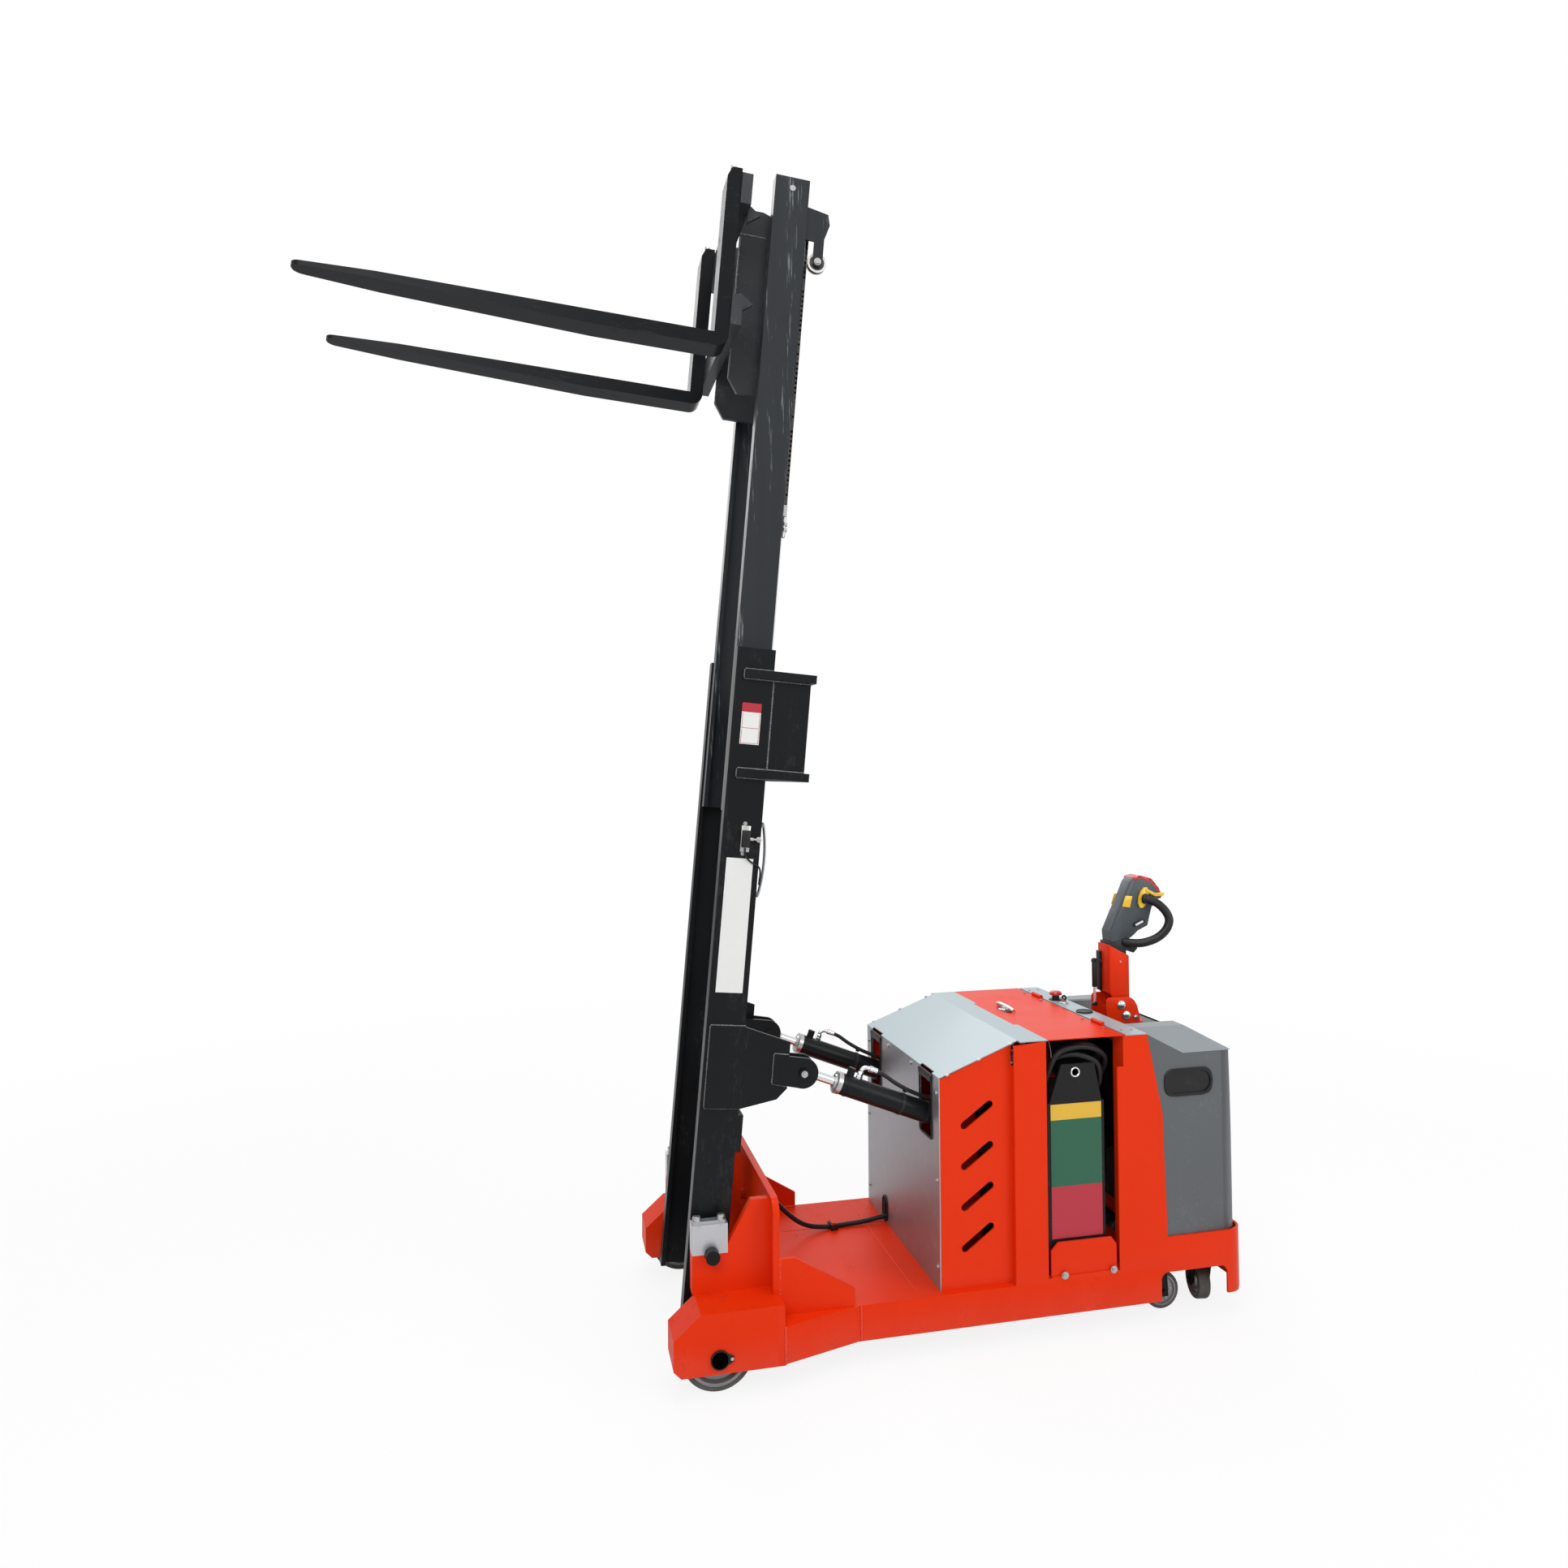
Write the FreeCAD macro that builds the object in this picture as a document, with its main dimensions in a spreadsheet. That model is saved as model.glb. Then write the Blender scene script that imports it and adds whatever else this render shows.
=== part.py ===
"""Counterbalanced pallet stacker: walk-behind, tiller steered, duplex mast raised.

Millimetres, +Z up, the forks point to -X, the tiller is at +X and the machine's
left side is at -Y. The origin is on the floor, under the middle of the machine.
The mast's own frame has U to the rear, W up along the channels and its origin on
the tilt pivot, and is turned back by the tilt angle.
"""
import FreeCAD, Part
import math
import os

import Sketcher

from FreeCAD import Placement, Rotation, Vector

doc = FreeCAD.newDocument("PalletStacker")

# Driving sizes. Columns: name, value.
SIZES = (
    # chassis, measured back from the front face of the bulkhead
    ("bulkhead_x", -109.6),
    ("bulkhead_thick", 20.0),
    ("bulkhead_top", 505.0),
    ("bulkhead_round", 42.0),
    ("body_half", 400.0),
    ("leg_half", 471.0),
    ("leg_width", 136.0),
    ("leg_plate", 12.0),
    ("leg_top", 235.0),
    ("leg_bottom", 65.0),
    ("leg_reach", 300.0),
    ("leg_slope_run", 77.0),
    ("leg_slope_drop", 66.0),
    ("leg_toe", 22.0),
    ("deck_top", 173.0),
    ("deck_plate", 6.0),
    ("rail_bottom", 68.0),
    ("rail_plate", 8.0),
    ("flare_length", 260.0),
    ("gusset_length", 229.0),
    ("gusset_top", 334.0),
    ("gusset_end", 224.0),
    ("gusset_flat", 46.0),
    ("gusset_plate", 12.0),
    # body
    ("body_front", 527.0),
    ("panel_half", 370.0),
    ("panel_top", 816.0),
    ("ridge_x", 788.0),
    ("hood_top", 918.0),
    ("hood_flat_end", 868.0),
    ("sheet_thick", 3.0),
    ("side_thick", 6.0),
    ("post_front", 767.0),
    ("post_rear", 876.0),
    ("opening_rear", 1143.0),
    ("opening_bottom", 182.0),
    ("opening_step", 818.0),
    ("step_width", 22.0),
    ("column_top_rear", 1228.0),
    ("column_knee_rear", 1279.0),
    ("column_knee_z", 664.0),
    ("column_rear", 1291.0),
    ("body_rear", 1577.0),
    ("skirt_top", 268.0),
    ("skirt_thick", 8.0),
    ("skirt_round", 62.0),
    ("skirt_toe", 30.0),
    ("arch_front", 1267.0),
    ("arch_rear", 1506.0),
    ("arch_top", 157.0),
    ("arch_round", 24.0),
    ("seam_gap", 0.4),
    # slots in the side panels
    ("slot_length", 126.0),
    ("slot_width", 24.0),
    ("slot_slope", 35.0),
    ("slot_x", 610.0),
    ("slot_low_z", 294.0),
    ("slot_pitch", 124.5),
    # slots in the front panel
    ("tilt_slot_width", 110.0),
    ("tilt_slot_bottom", 614.0),
    ("cable_slot_width", 46.0),
    ("cable_slot_y", 170.0),
    ("cable_slot_low", 183.0),
    ("cable_slot_high", 261.0),
    # lid and console
    ("lid_rear", 1146.0),
    ("lid_notch", 112.0),
    ("lid_step", 14.0),
    ("lid_thick", 3.0),
    ("hinge_radius", 7.0),
    ("hinge_y", 230.0),
    ("hinge_length", 70.0),
    ("running_gap", 5.0),
    # counterweight cover
    ("cover_half", 394.0),
    ("cover_side_top", 846.0),
    ("cover_step_run", 66.0),
    ("cover_rear_top", 1536.0),
    ("cover_rear_low", 1562.0),
    ("cover_crown", 905.0),
    ("cover_crown_half", 270.0),
    ("cover_crown_rear", 1440.0),
    ("cover_round", 66.0),
    ("cover_wall", 6.0),
    ("grip_front", 1298.0),
    ("grip_rear", 1457.0),
    ("grip_low", 717.0),
    ("grip_high", 789.0),
    ("grip_rim", 8.0),
    ("grip_proud", 5.0),
    # battery
    ("battery_front", 888.0),
    ("battery_rear", 1084.0),
    ("battery_half", 378.0),
    ("battery_top", 712.0),
    ("lug_top", 832.0),
    ("lug_thick", 8.0),
    ("lug_bore", 11.0),
    ("lug_z", 806.0),
    ("retainer_top", 287.0),
    # wheels
    ("front_wheel_radius", 106.0),
    ("front_wheel_width", 84.0),
    ("front_wheel_x", -169.0),
    ("tread_thick", 16.0),
    ("axle_radius", 20.0),
    ("axle_cap_radius", 27.0),
    ("drive_x", 1380.0),
    ("drive_wheel_radius", 115.0),
    ("drive_wheel_width", 75.0),
    ("drive_top", 248.0),
    ("drive_leg", 42.0),
    ("drive_half", 70.0),
    ("drive_disc", 130.0),
    ("motor_radius", 75.0),
    ("motor_top", 400.0),
    ("bridge_plate", 12.0),
    ("column_radius", 32.0),
    ("caster_radius", 60.0),
    ("caster_width", 40.0),
    ("caster_trail", 26.0),
    ("caster_front_x", 1293.0),
    ("caster_rear_x", 1475.0),
    ("caster_y", 296.0),
    ("caster_plate", 10.0),
    ("caster_turn", 80.0),
    # mast
    ("pivot_x", -172.0),
    ("pivot_z", 346.0),
    ("pivot_radius", 21.0),
    ("pivot_reach", 372.0),
    ("tilt", 5.0),
    ("mast_half", 280.0),
    ("mast_front", 62.0),
    ("mast_depth", 120.0),
    ("mast_foot", 275.0),
    ("outer_length", 2080.0),
    ("inner_length", 2036.0),
    ("inner_front", 57.0),
    ("inner_depth", 112.0),
    ("inner_seat", 57.0),
    ("lift", 1517.0),
    ("channel_web", 14.0),
    ("channel_flange", 45.0),
    ("channel_lip", 14.0),
    ("mast_gap", 5.0),
    ("roller_gap", 1.0),
    ("bearing_thick", 50.0),
    ("bearing_outer", 342.0),
    ("bearing_front", 58.0),
    ("bearing_rear", 48.0),
    ("bearing_cap_top", 432.0),
    ("fit_gap", 0.5),
    # pieces on the outer mast
    ("cross_low", 90.0),
    ("cross_height", 110.0),
    ("cross_thick", 16.0),
    ("foot_plate", 20.0),
    ("bracket_low", 1405.0),
    ("bracket_high", 1737.0),
    ("bracket_plate", 26.0),
    ("bracket_front", 33.0),
    ("bracket_rear", 190.0),
    ("bracket_out", 302.0),
    ("bracket_wall", 12.0),
    ("tilt_plate", 12.0),
    ("tilt_plate_low", 407.0),
    ("tilt_plate_high", 651.0),
    ("tilt_plate_rear", 200.0),
    ("tilt_plate_heel", 470.0),
    ("tilt_plate_brow", 610.0),
    ("tilt_plate_round", 30.0),
    ("eye_u", 247.0),
    ("eye_w", 519.0),
    ("eye_lug_radius", 46.0),
    ("eye_pin_radius", 15.0),
    ("clevis_plate", 10.0),
    ("clevis_root", 153.0),
    ("clevis_high", 573.0),
    ("clevis_low", 485.0),
    # tilt cylinders
    ("tilt_y", 262.0),
    ("tilt_barrel_radius", 33.0),
    ("tilt_rod_radius", 14.0),
    ("tilt_eye_radius", 29.0),
    ("tilt_eye_half", 15.0),
    ("tilt_eye_play", 1.3),
    ("tilt_root_x", 640.0),
    ("tilt_root_z", 637.0),
    ("tilt_barrel_length", 443.0),
    ("tilt_barrel_end", 40.0),
    ("anchor_plate", 12.0),
    ("anchor_half", 56.0),
    # lift cylinders, pulleys and chains
    ("lift_u", 82.0),
    ("lift_y", 42.0),
    ("lift_barrel_radius", 22.0),
    ("lift_barrel_top", 1690.0),
    ("lift_rod_radius", 14.0),
    ("head_beam", 60.0),
    ("head_lug", 25.0),
    ("pulley_radius", 45.0),
    ("pulley_width", 30.0),
    ("pulley_y", 166.0),
    ("pulley_u", 22.0),
    ("pulley_drop", 122.0),
    ("chain_width", 20.0),
    ("chain_thick", 10.0),
    ("chain_run", 930.0),
    ("anchor_block", 98.0),
    ("sheave_u", 104.0),
    ("sheave_drop", 250.0),
    ("sheave_radius", 32.0),
    ("sheave_width", 18.0),
    ("sheave_y", 195.0),
    ("sheave_plate", 8.0),
    # rollers
    ("roller_width", 24.0),
    ("roller_low", 60.0),
    # carriage and forks, heights above the top of the blades
    ("fork_clear", 7.0),
    ("fork_y", 274.0),
    ("fork_width", 100.0),
    ("fork_thick", 42.0),
    ("fork_front", 223.0),
    ("shank_thick", 45.0),
    ("shank_top", 523.0),
    ("shank_round", 30.0),
    ("fork_length", 1207.0),
    ("tip_thick", 12.0),
    ("tip_width", 62.0),
    ("tip_length", 230.0),
    ("heel_round", 38.0),
    ("bar_thick", 34.0),
    ("bar_half", 330.0),
    ("bar_high", 508.0),
    ("bar_height", 96.0),
    ("bar_low", 30.0),
    ("carriage_plate", 16.0),
    ("carriage_half", 140.0),
    ("carriage_rear", 30.0),
    ("carriage_low", 112.0),
    ("carriage_high", 497.0),
    ("carriage_roller_low", 20.0),
    ("carriage_roller_high", 380.0),
    # tiller, measured from the steering axis and the floor
    ("clevis_half", 58.0),
    ("cheek_thick", 8.0),
    ("cheek_front", 92.0),
    ("cheek_rear", 52.0),
    ("cheek_top", 955.0),
    ("cheek_base", 925.0),
    ("tiller_pin_x", 49.0),
    ("tiller_pin_radius", 10.0),
    ("stop_pin_x", 8.0),
    ("arm_half", 40.0),
    ("arm_low", 968.0),
    ("arm_high", 1152.0),
    ("arm_front", 96.0),
    ("arm_rear", 20.0),
    ("arm_slope", 38.0),
    ("arm_wall", 6.0),
    ("head_top", 1378.0),
    ("head_half", 34.0),
    ("loop_reach", 104.0),
    ("loop_radius", 15.0),
    ("spring_radius", 10.0),
    ("spring_rod_radius", 5.0),
    # hose
    ("hose_radius", 8.0),
    ("union_y", 55.0),
    ("union_z", 362.0),
    ("clamp_x", 331.0),
    ("clamp_y", 161.0),
)


class Size:
    """A size worked out from the sheet: its expression and its present value."""

    def __init__(self, text, value):
        self.text = text
        self.value = value

    def joined(self, sign, other, value):
        return Size("(%s %s %s)" % (self.text, sign, other.text), value)

    def __add__(self, other):
        other = as_size(other)
        return self.joined("+", other, self.value + other.value)

    def __sub__(self, other):
        other = as_size(other)
        return self.joined("-", other, self.value - other.value)

    def __mul__(self, other):
        other = as_size(other)
        return self.joined("*", other, self.value * other.value)

    def __truediv__(self, other):
        other = as_size(other)
        return self.joined("/", other, self.value / other.value)

    def __radd__(self, other):
        return as_size(other) + self

    def __rsub__(self, other):
        return as_size(other) - self

    def __rmul__(self, other):
        return as_size(other) * self

    def __neg__(self):
        return as_size(0) - self


def as_size(value):
    """Wrap a plain number, so that it can stand beside the sheet's sizes."""
    return value if isinstance(value, Size) else Size("%.9g" % value, float(value))


def sine(angle):
    return Size("sin(%s)" % angle.text, math.sin(math.radians(angle.value)))


def cosine(angle):
    return Size("cos(%s)" % angle.text, math.cos(math.radians(angle.value)))


def root(area):
    """Square root, for lengths found with Pythagoras."""
    return Size("sqrt(%s)" % area.text, math.sqrt(area.value))


def slope_of(rise, run):
    """The angle in degrees of a line with this rise and run."""
    return Size("atan2(%s; %s)" % (rise.text, run.text), math.degrees(math.atan2(rise.value, run.value)))


class Sheet:
    """Each row of the table as an attribute."""


sheet = doc.addObject("Spreadsheet::Sheet", "Sizes")
S = Sheet()
for row, (alias, number) in enumerate(SIZES, start=1):
    sheet.set("A%d" % row, alias)
    sheet.set("B%d" % row, str(number))
    sheet.setAlias("B%d" % row, alias)
    setattr(S, alias, Size("Sizes.%s" % alias, number))
doc.recompute()

ZERO = as_size(0)
AXES = {"X": Vector(1, 0, 0), "Y": Vector(0, 1, 0), "Z": Vector(0, 0, 1)}
TURNS = {
    "X": Rotation(Vector(0, 1, 0), 90),
    "Y": Rotation(Vector(1, 0, 0), -90),
    "Z": Rotation(),
}
PLANES = {"XZ": "XZ_Plane", "YZ": "YZ_Plane", "XY": "XY_Plane"}
pieces = {}


def bind(item, path, value):
    """Tie a property of an object to a size."""
    item.setExpression(path, as_size(value).text)


def place(item, x=ZERO, y=ZERO, z=ZERO):
    """Tie an object's place to sizes."""
    bind(item, "Placement.Base.x", x)
    bind(item, "Placement.Base.y", y)
    bind(item, "Placement.Base.z", z)
    return item


def box(x, y, z):
    """A block between two sizes on each axis."""
    item = doc.addObject("Part::Box", "Block")
    bind(item, "Length", x[1] - x[0])
    bind(item, "Width", y[1] - y[0])
    bind(item, "Height", z[1] - z[0])
    return place(item, x[0], y[0], z[0])


def rod(axis, radius, span, centre):
    """A round bar along an axis; centre holds its places on the two other axes."""
    item = doc.addObject("Part::Cylinder", "Bar")
    item.Placement = Placement(Vector(), TURNS[axis])
    bind(item, "Radius", radius)
    bind(item, "Height", span[1] - span[0])
    first, second = centre
    spots = {
        "X": (span[0], first, second),
        "Y": (first, span[0], second),
        "Z": (first, second, span[0]),
    }
    return place(item, *spots[axis])


def cone(axis, radii, span, centre):
    """A tapered round bar, with its radius at each end of its span."""
    item = doc.addObject("Part::Cone", "Taper")
    item.Placement = Placement(Vector(), TURNS[axis])
    bind(item, "Radius1", radii[0])
    bind(item, "Radius2", radii[1])
    bind(item, "Height", span[1] - span[0])
    first, second = centre
    spots = {
        "X": (span[0], first, second),
        "Y": (first, span[0], second),
        "Z": (first, second, span[0]),
    }
    return place(item, *spots[axis])


def fused(*items):
    """One solid out of several that touch or overlap."""
    joined = doc.addObject("Part::MultiFuse", "Joined")
    joined.Shapes = list(items)
    joined.Refine = True
    return joined


def cut(base, *tools):
    """The base with the tools taken out of it."""
    for tool in tools:
        less = doc.addObject("Part::Cut", "Less")
        less.Base = base
        less.Tool = tool
        less.Refine = True
        base = less
    return base


def mirrored(item):
    """The same piece on the other side of the machine's middle plane."""
    twin = doc.addObject("Part::Mirroring", "Twin")
    twin.Source = item
    twin.Normal = Vector(0, 1, 0)
    return twin


def both(item):
    """A piece and its twin on the other side, as one object."""
    return grouped(item, mirrored(item))


def grouped(*items):
    """Several solids of one node."""
    group = doc.addObject("Part::Compound", "Set")
    group.Links = list(items)
    return group


def draw(body, plane, points):
    """A closed sketch through the points, each held by two dimensions."""
    sketch = body.newObject("Sketcher::SketchObject", "Outline")
    wanted = PLANES[plane]
    for feature in body.Origin.OriginFeatures:
        if feature.Role == wanted:
            sketch.AttachmentSupport = [(feature, "")]
    sketch.MapMode = "FlatFace"
    corners = [Vector(point[0].value, point[1].value, 0) for point in points]
    count = len(corners)
    for index, corner in enumerate(corners):
        sketch.addGeometry(Part.LineSegment(corner, corners[(index + 1) % count]))
    for index in range(count):
        sketch.addConstraint(Sketcher.Constraint("Coincident", index, 2, (index + 1) % count, 1))
    for index, point in enumerate(points):
        for kind, value in (("DistanceX", point[0]), ("DistanceY", point[1])):
            number = sketch.addConstraint(Sketcher.Constraint(kind, -1, 1, index, 1, value.value))
            sketch.setExpression("Constraints[%d]" % number, value.text)
    return sketch


def plate(plane, span, outline):
    """A plate or block: an outline in a plane, drawn out between two sizes.

    Outline columns: first place, second place, corner radius if the corner is round.
    """
    points = [tuple(as_size(number) for number in row) for row in outline]
    body = doc.addObject("PartDesign::Body", "Plate")
    sketch = draw(body, plane, points)
    pad = body.newObject("PartDesign::Pad", "Pad")
    pad.Profile = sketch
    pad.Reversed = plane == "XZ"
    bind(pad, "Length", span[1] - span[0])
    normal = {"XZ": "Y", "YZ": "X", "XY": "Z"}[plane]
    bind(body, "Placement.Base.%s" % normal.lower(), span[0])
    radii = {}
    for point in points:
        if len(point) > 2:
            radii.setdefault(point[2].text, (point[2], []))[1].append(point)
    base = pad
    for radius, corners in radii.values():
        doc.recompute()
        names = [corner_edge(base.Shape, plane, row) for row in corners]
        fillet = body.newObject("PartDesign::Fillet", "Round")
        fillet.Base = (base, names)
        bind(fillet, "Radius", radius)
        body.Tip = fillet
        base = fillet
    return body


def corner_edge(shape, plane, corner):
    """The name of the edge that stands on a corner of a plate's outline."""
    first, second = {"XZ": ("x", "z"), "YZ": ("y", "z"), "XY": ("x", "y")}[plane]
    for index, edge in enumerate(shape.Edges, start=1):
        ends = [vertex.Point for vertex in edge.Vertexes]
        if len(ends) == 2 and all(
            abs(getattr(end, first) - corner[0].value) < 0.01
            and abs(getattr(end, second) - corner[1].value) < 0.01
            for end in ends
        ):
            return "Edge%d" % index
    raise ValueError("no edge stands on this corner")


def turned(axis, profile):
    """A turned piece: rows of radius and place along the axis, spun round Y or Z."""
    plane = {"Y": "XY", "Z": "XZ"}[axis]
    points = [tuple(as_size(number) for number in row) for row in profile]
    body = doc.addObject("PartDesign::Body", "Turned")
    sketch = draw(body, plane, points)
    spin = body.newObject("PartDesign::Revolution", "Spin")
    spin.Profile = sketch
    spin.ReferenceAxis = (sketch, ["V_Axis"])
    spin.Angle = 360
    return body


def node(name, item):
    """Name a sub-part."""
    item.Label = name
    pieces[name] = item
    return item


def on_mast(name, *items):
    """Name a sub-part drawn in the mast's frame and stand it on the tilt pivot."""
    item = grouped(*items)
    item.Placement = Placement(Vector(), Rotation(Vector(0, 1, 0), S.tilt.value))
    bind(item, "Placement.Rotation.Angle", S.tilt)
    place(item, pivot_x, ZERO, S.pivot_z)
    return node(name, item)


def back(distance):
    """A place measured back from the front face of the bulkhead."""
    return S.bulkhead_x + distance


pivot_x = back(S.pivot_x)


def write_frame():
    """Deck, side rails with their flares, the gussets and the hose clamp."""
    deck_low = S.deck_top - S.deck_plate
    start = back(S.bulkhead_thick)
    flare = back(S.flare_length)
    stop = back(S.arch_front)
    inner_leg = S.leg_half - S.rail_plate
    inner_body = S.body_half - S.rail_plate
    deck = plate("XY", (deck_low, S.deck_top), (
        (start, -inner_leg), (flare, -inner_body), (stop, -inner_body),
        (stop, inner_body), (flare, inner_body), (start, inner_leg)))
    rail = plate("XY", (S.rail_bottom, S.deck_top), (
        (start, -S.leg_half), (flare, -S.body_half), (stop, -S.body_half),
        (stop, -inner_body), (flare, -inner_body), (start, -inner_leg)))
    gusset = plate("XZ", (-S.body_half, -S.body_half + S.gusset_plate), (
        (start, S.deck_top), (start, S.gusset_top), (start + S.gusset_flat, S.gusset_top),
        (start + S.gusset_length, S.gusset_end), (start + S.gusset_length, S.deck_top)))
    radius = S.hose_radius
    rest = S.deck_top + radius + S.seam_gap
    clamp = box((back(S.clamp_x) - radius, back(S.clamp_x) + radius),
                (S.clamp_y - radius * 2.2, S.clamp_y + radius * 2.2), (S.deck_top, rest + radius * 2.2))
    groove = box((back(S.clamp_x) - radius * 2, back(S.clamp_x) + radius * 2),
                 (S.clamp_y - radius * 1.4, S.clamp_y + radius * 1.4), (S.deck_top, rest + radius * 1.4))
    node("base_frame", fused(deck, rail, mirrored(rail), gusset, mirrored(gusset), cut(clamp, groove)))


def write_bulkhead():
    """The cross plate that ties the legs to the deck, with round upper corners."""
    sheet_plate = plate("YZ", (back(ZERO), back(S.bulkhead_thick)), (
        (-S.leg_half, S.leg_bottom), (S.leg_half, S.leg_bottom),
        (S.leg_half, S.leg_top), (S.body_half, S.leg_top),
        (S.body_half, S.bulkhead_top, S.bulkhead_round),
        (-S.body_half, S.bulkhead_top, S.bulkhead_round),
        (-S.body_half, S.leg_top), (-S.leg_half, S.leg_top)))
    spot = (S.union_y, S.union_z)
    collar = rod("X", S.hose_radius * 2, (back(-S.hose_radius * 2),
        back(S.bulkhead_thick + S.hose_radius)), spot)
    socket = rod("X", S.hose_radius + S.seam_gap, (back(ZERO), back(S.bulkhead_thick * 3)), spot)
    node("bulkhead", cut(fused(sheet_plate, collar), socket))


def write_legs():
    """Box legs, open below, that straddle the front wheels."""
    tip = back(-S.leg_reach)
    brow = back(-S.leg_reach + S.leg_slope_run)
    low = S.leg_top - S.leg_slope_drop
    outline = (
        (tip, S.leg_bottom + S.leg_toe), (tip + S.leg_toe, S.leg_bottom), (back(ZERO), S.leg_bottom),
        (back(ZERO), S.leg_top), (brow, S.leg_top), (tip, low))
    wall = S.leg_plate
    inside = (
        (tip + wall, S.leg_bottom - wall), (back(-wall), S.leg_bottom - wall),
        (back(-wall), S.leg_top - wall), (brow + wall / 2, S.leg_top - wall),
        (tip + wall, low - wall / 2))
    side = S.leg_half - S.leg_width
    shell = plate("XZ", (-S.leg_half, -side), outline)
    room = plate("XZ", (-S.leg_half + wall, -side - wall), inside)
    hub = (back(S.front_wheel_x), S.front_wheel_radius)
    bore = rod("Y", S.axle_radius, (-S.leg_half - wall, -side + wall), hub)
    leg = cut(shell, room, bore)
    node("leg_left", leg)
    node("leg_right", mirrored(leg))

    axle = rod("Y", S.axle_radius, (-S.leg_half - S.fit_gap, -side), hub)
    cap = rod("Y", S.axle_cap_radius, (-S.leg_half - S.leg_plate / 2, -S.leg_half), hub)
    node("front_axles", both(fused(axle, cap)))


def wheel(radius, width, tread, bore, dish):
    """A turned wheel: hub, dished web, rim and a tyre with round shoulders."""
    half = width / 2
    shoulder = tread / 4
    rim = radius - tread
    tyre = turned("Y", (
        (rim, -half), (radius - shoulder, -half), (radius, -half + shoulder),
        (radius, half - shoulder), (radius - shoulder, half), (rim, half)))
    lip = dish / 2
    hub = bore * 1.7
    centre = turned("Y", (
        (bore, -half), (hub, -half), (hub, -half + dish), (rim - lip, -half + dish),
        (rim - lip, -half), (rim, -half), (rim, half), (rim - lip, half),
        (rim - lip, half - dish), (hub, half - dish), (hub, half), (bore, half)))
    return fused(tyre, centre)


def write_front_wheels():
    """The two load wheels inside the legs."""
    roller = wheel(
        S.front_wheel_radius, S.front_wheel_width, S.tread_thick, S.axle_radius + S.fit_gap,
        S.tread_thick)
    middle = S.leg_half - S.leg_width / 2
    for name, side in (("left", -1), ("right", 1)):
        turned_wheel = grouped(roller)
        place(turned_wheel, back(S.front_wheel_x), middle * side, S.front_wheel_radius)
        node("front_wheel_" + name, turned_wheel)


def write_pedestals():
    """Bearing pedestals on the legs, with their gussets, caps and cap bolts."""
    front = pivot_x - S.bearing_front
    rear = pivot_x + S.bearing_rear
    outer = -S.bearing_outer
    inner = outer + S.bearing_thick
    foot = box((front, rear), (outer, inner), (S.leg_top, S.pivot_z))
    gusset = plate("XZ", (outer, outer + S.leg_plate * 2), (
        (rear, S.leg_top), (back(ZERO), S.leg_top), (back(ZERO), S.bulkhead_top - S.leg_plate),
        (back(-S.leg_width * 0.4), S.bulkhead_top - S.leg_plate), (rear, S.pivot_z + S.leg_plate * 2)))
    bore = rod("Y", S.pivot_radius + S.fit_gap, (outer - S.leg_plate, inner + S.leg_plate),
        (pivot_x, S.pivot_z))
    node("mast_pedestals", both(cut(fused(foot, gusset), bore)))

    cap = plate("XZ", (outer, inner), (
        (front, S.pivot_z), (rear, S.pivot_z), (rear, S.bearing_cap_top), (front, S.bearing_cap_top)))
    edge = S.leg_plate
    bridge = box(
        (front + edge / 2, rear - edge / 2), (outer + edge, inner - edge),
        (S.bearing_cap_top, S.bearing_cap_top + edge / 2))
    bolts = [
        rod("Z", edge * 0.8, (S.bearing_cap_top + edge / 2, S.bearing_cap_top + edge * 1.5),
            (spot, (outer + inner) / 2))
        for spot in (front + edge * 1.5, rear - edge * 1.5)]
    node("bearing_caps", both(cut(fused(cap, bridge, *bolts), bore)))


def write_side_frames():
    """Side frames round the battery opening: post, sill, column and its stepped edge."""
    outer = -S.body_half
    inner = outer + S.side_thick
    sill = S.deck_top
    column = plate("XZ", (outer, inner), (
        (back(S.post_front), sill), (back(S.column_rear), sill), (back(S.column_rear), S.skirt_top),
        (back(S.column_knee_rear), S.column_knee_z), (back(S.column_top_rear), S.hood_top - S.lid_thick),
        (back(S.opening_rear), S.hood_top - S.lid_thick), (back(S.opening_rear), S.opening_step),
        (back(S.opening_rear - S.step_width), S.opening_step),
        (back(S.opening_rear - S.step_width), S.opening_bottom),
        (back(S.post_rear), S.opening_bottom), (back(S.post_rear), S.hood_top - S.lid_thick),
        (back(S.post_front), S.hood_top - S.lid_thick - (S.ridge_x - S.post_front) * 0.5)))
    depth = outer + S.cover_round
    front_web = box(
        (back(S.post_front), back(S.post_front) + S.side_thick), (inner, depth),
        (sill, S.panel_top + S.sheet_thick * 8))
    post_web = box(
        (back(S.post_rear) - S.side_thick, back(S.post_rear)), (inner, depth),
        (sill, S.hood_top - S.lid_thick))
    column_web = box(
        (back(S.opening_rear), back(S.opening_rear) + S.side_thick), (inner, depth),
        (sill, S.hood_top - S.lid_thick))
    ledge = box((back(S.post_rear), back(S.opening_rear)), (inner, depth), (sill, S.opening_bottom))
    frame = fused(column, front_web, post_web, column_web, ledge)
    node("side_frame_left", frame)
    node("side_frame_right", mirrored(frame))


def slope_z(distance):
    """Height of the hood's slope above the floor, at a distance behind the bulkhead."""
    rise = (S.hood_top - S.panel_top) / (S.ridge_x - S.body_front)
    return S.panel_top + (distance - S.body_front) * rise


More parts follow.
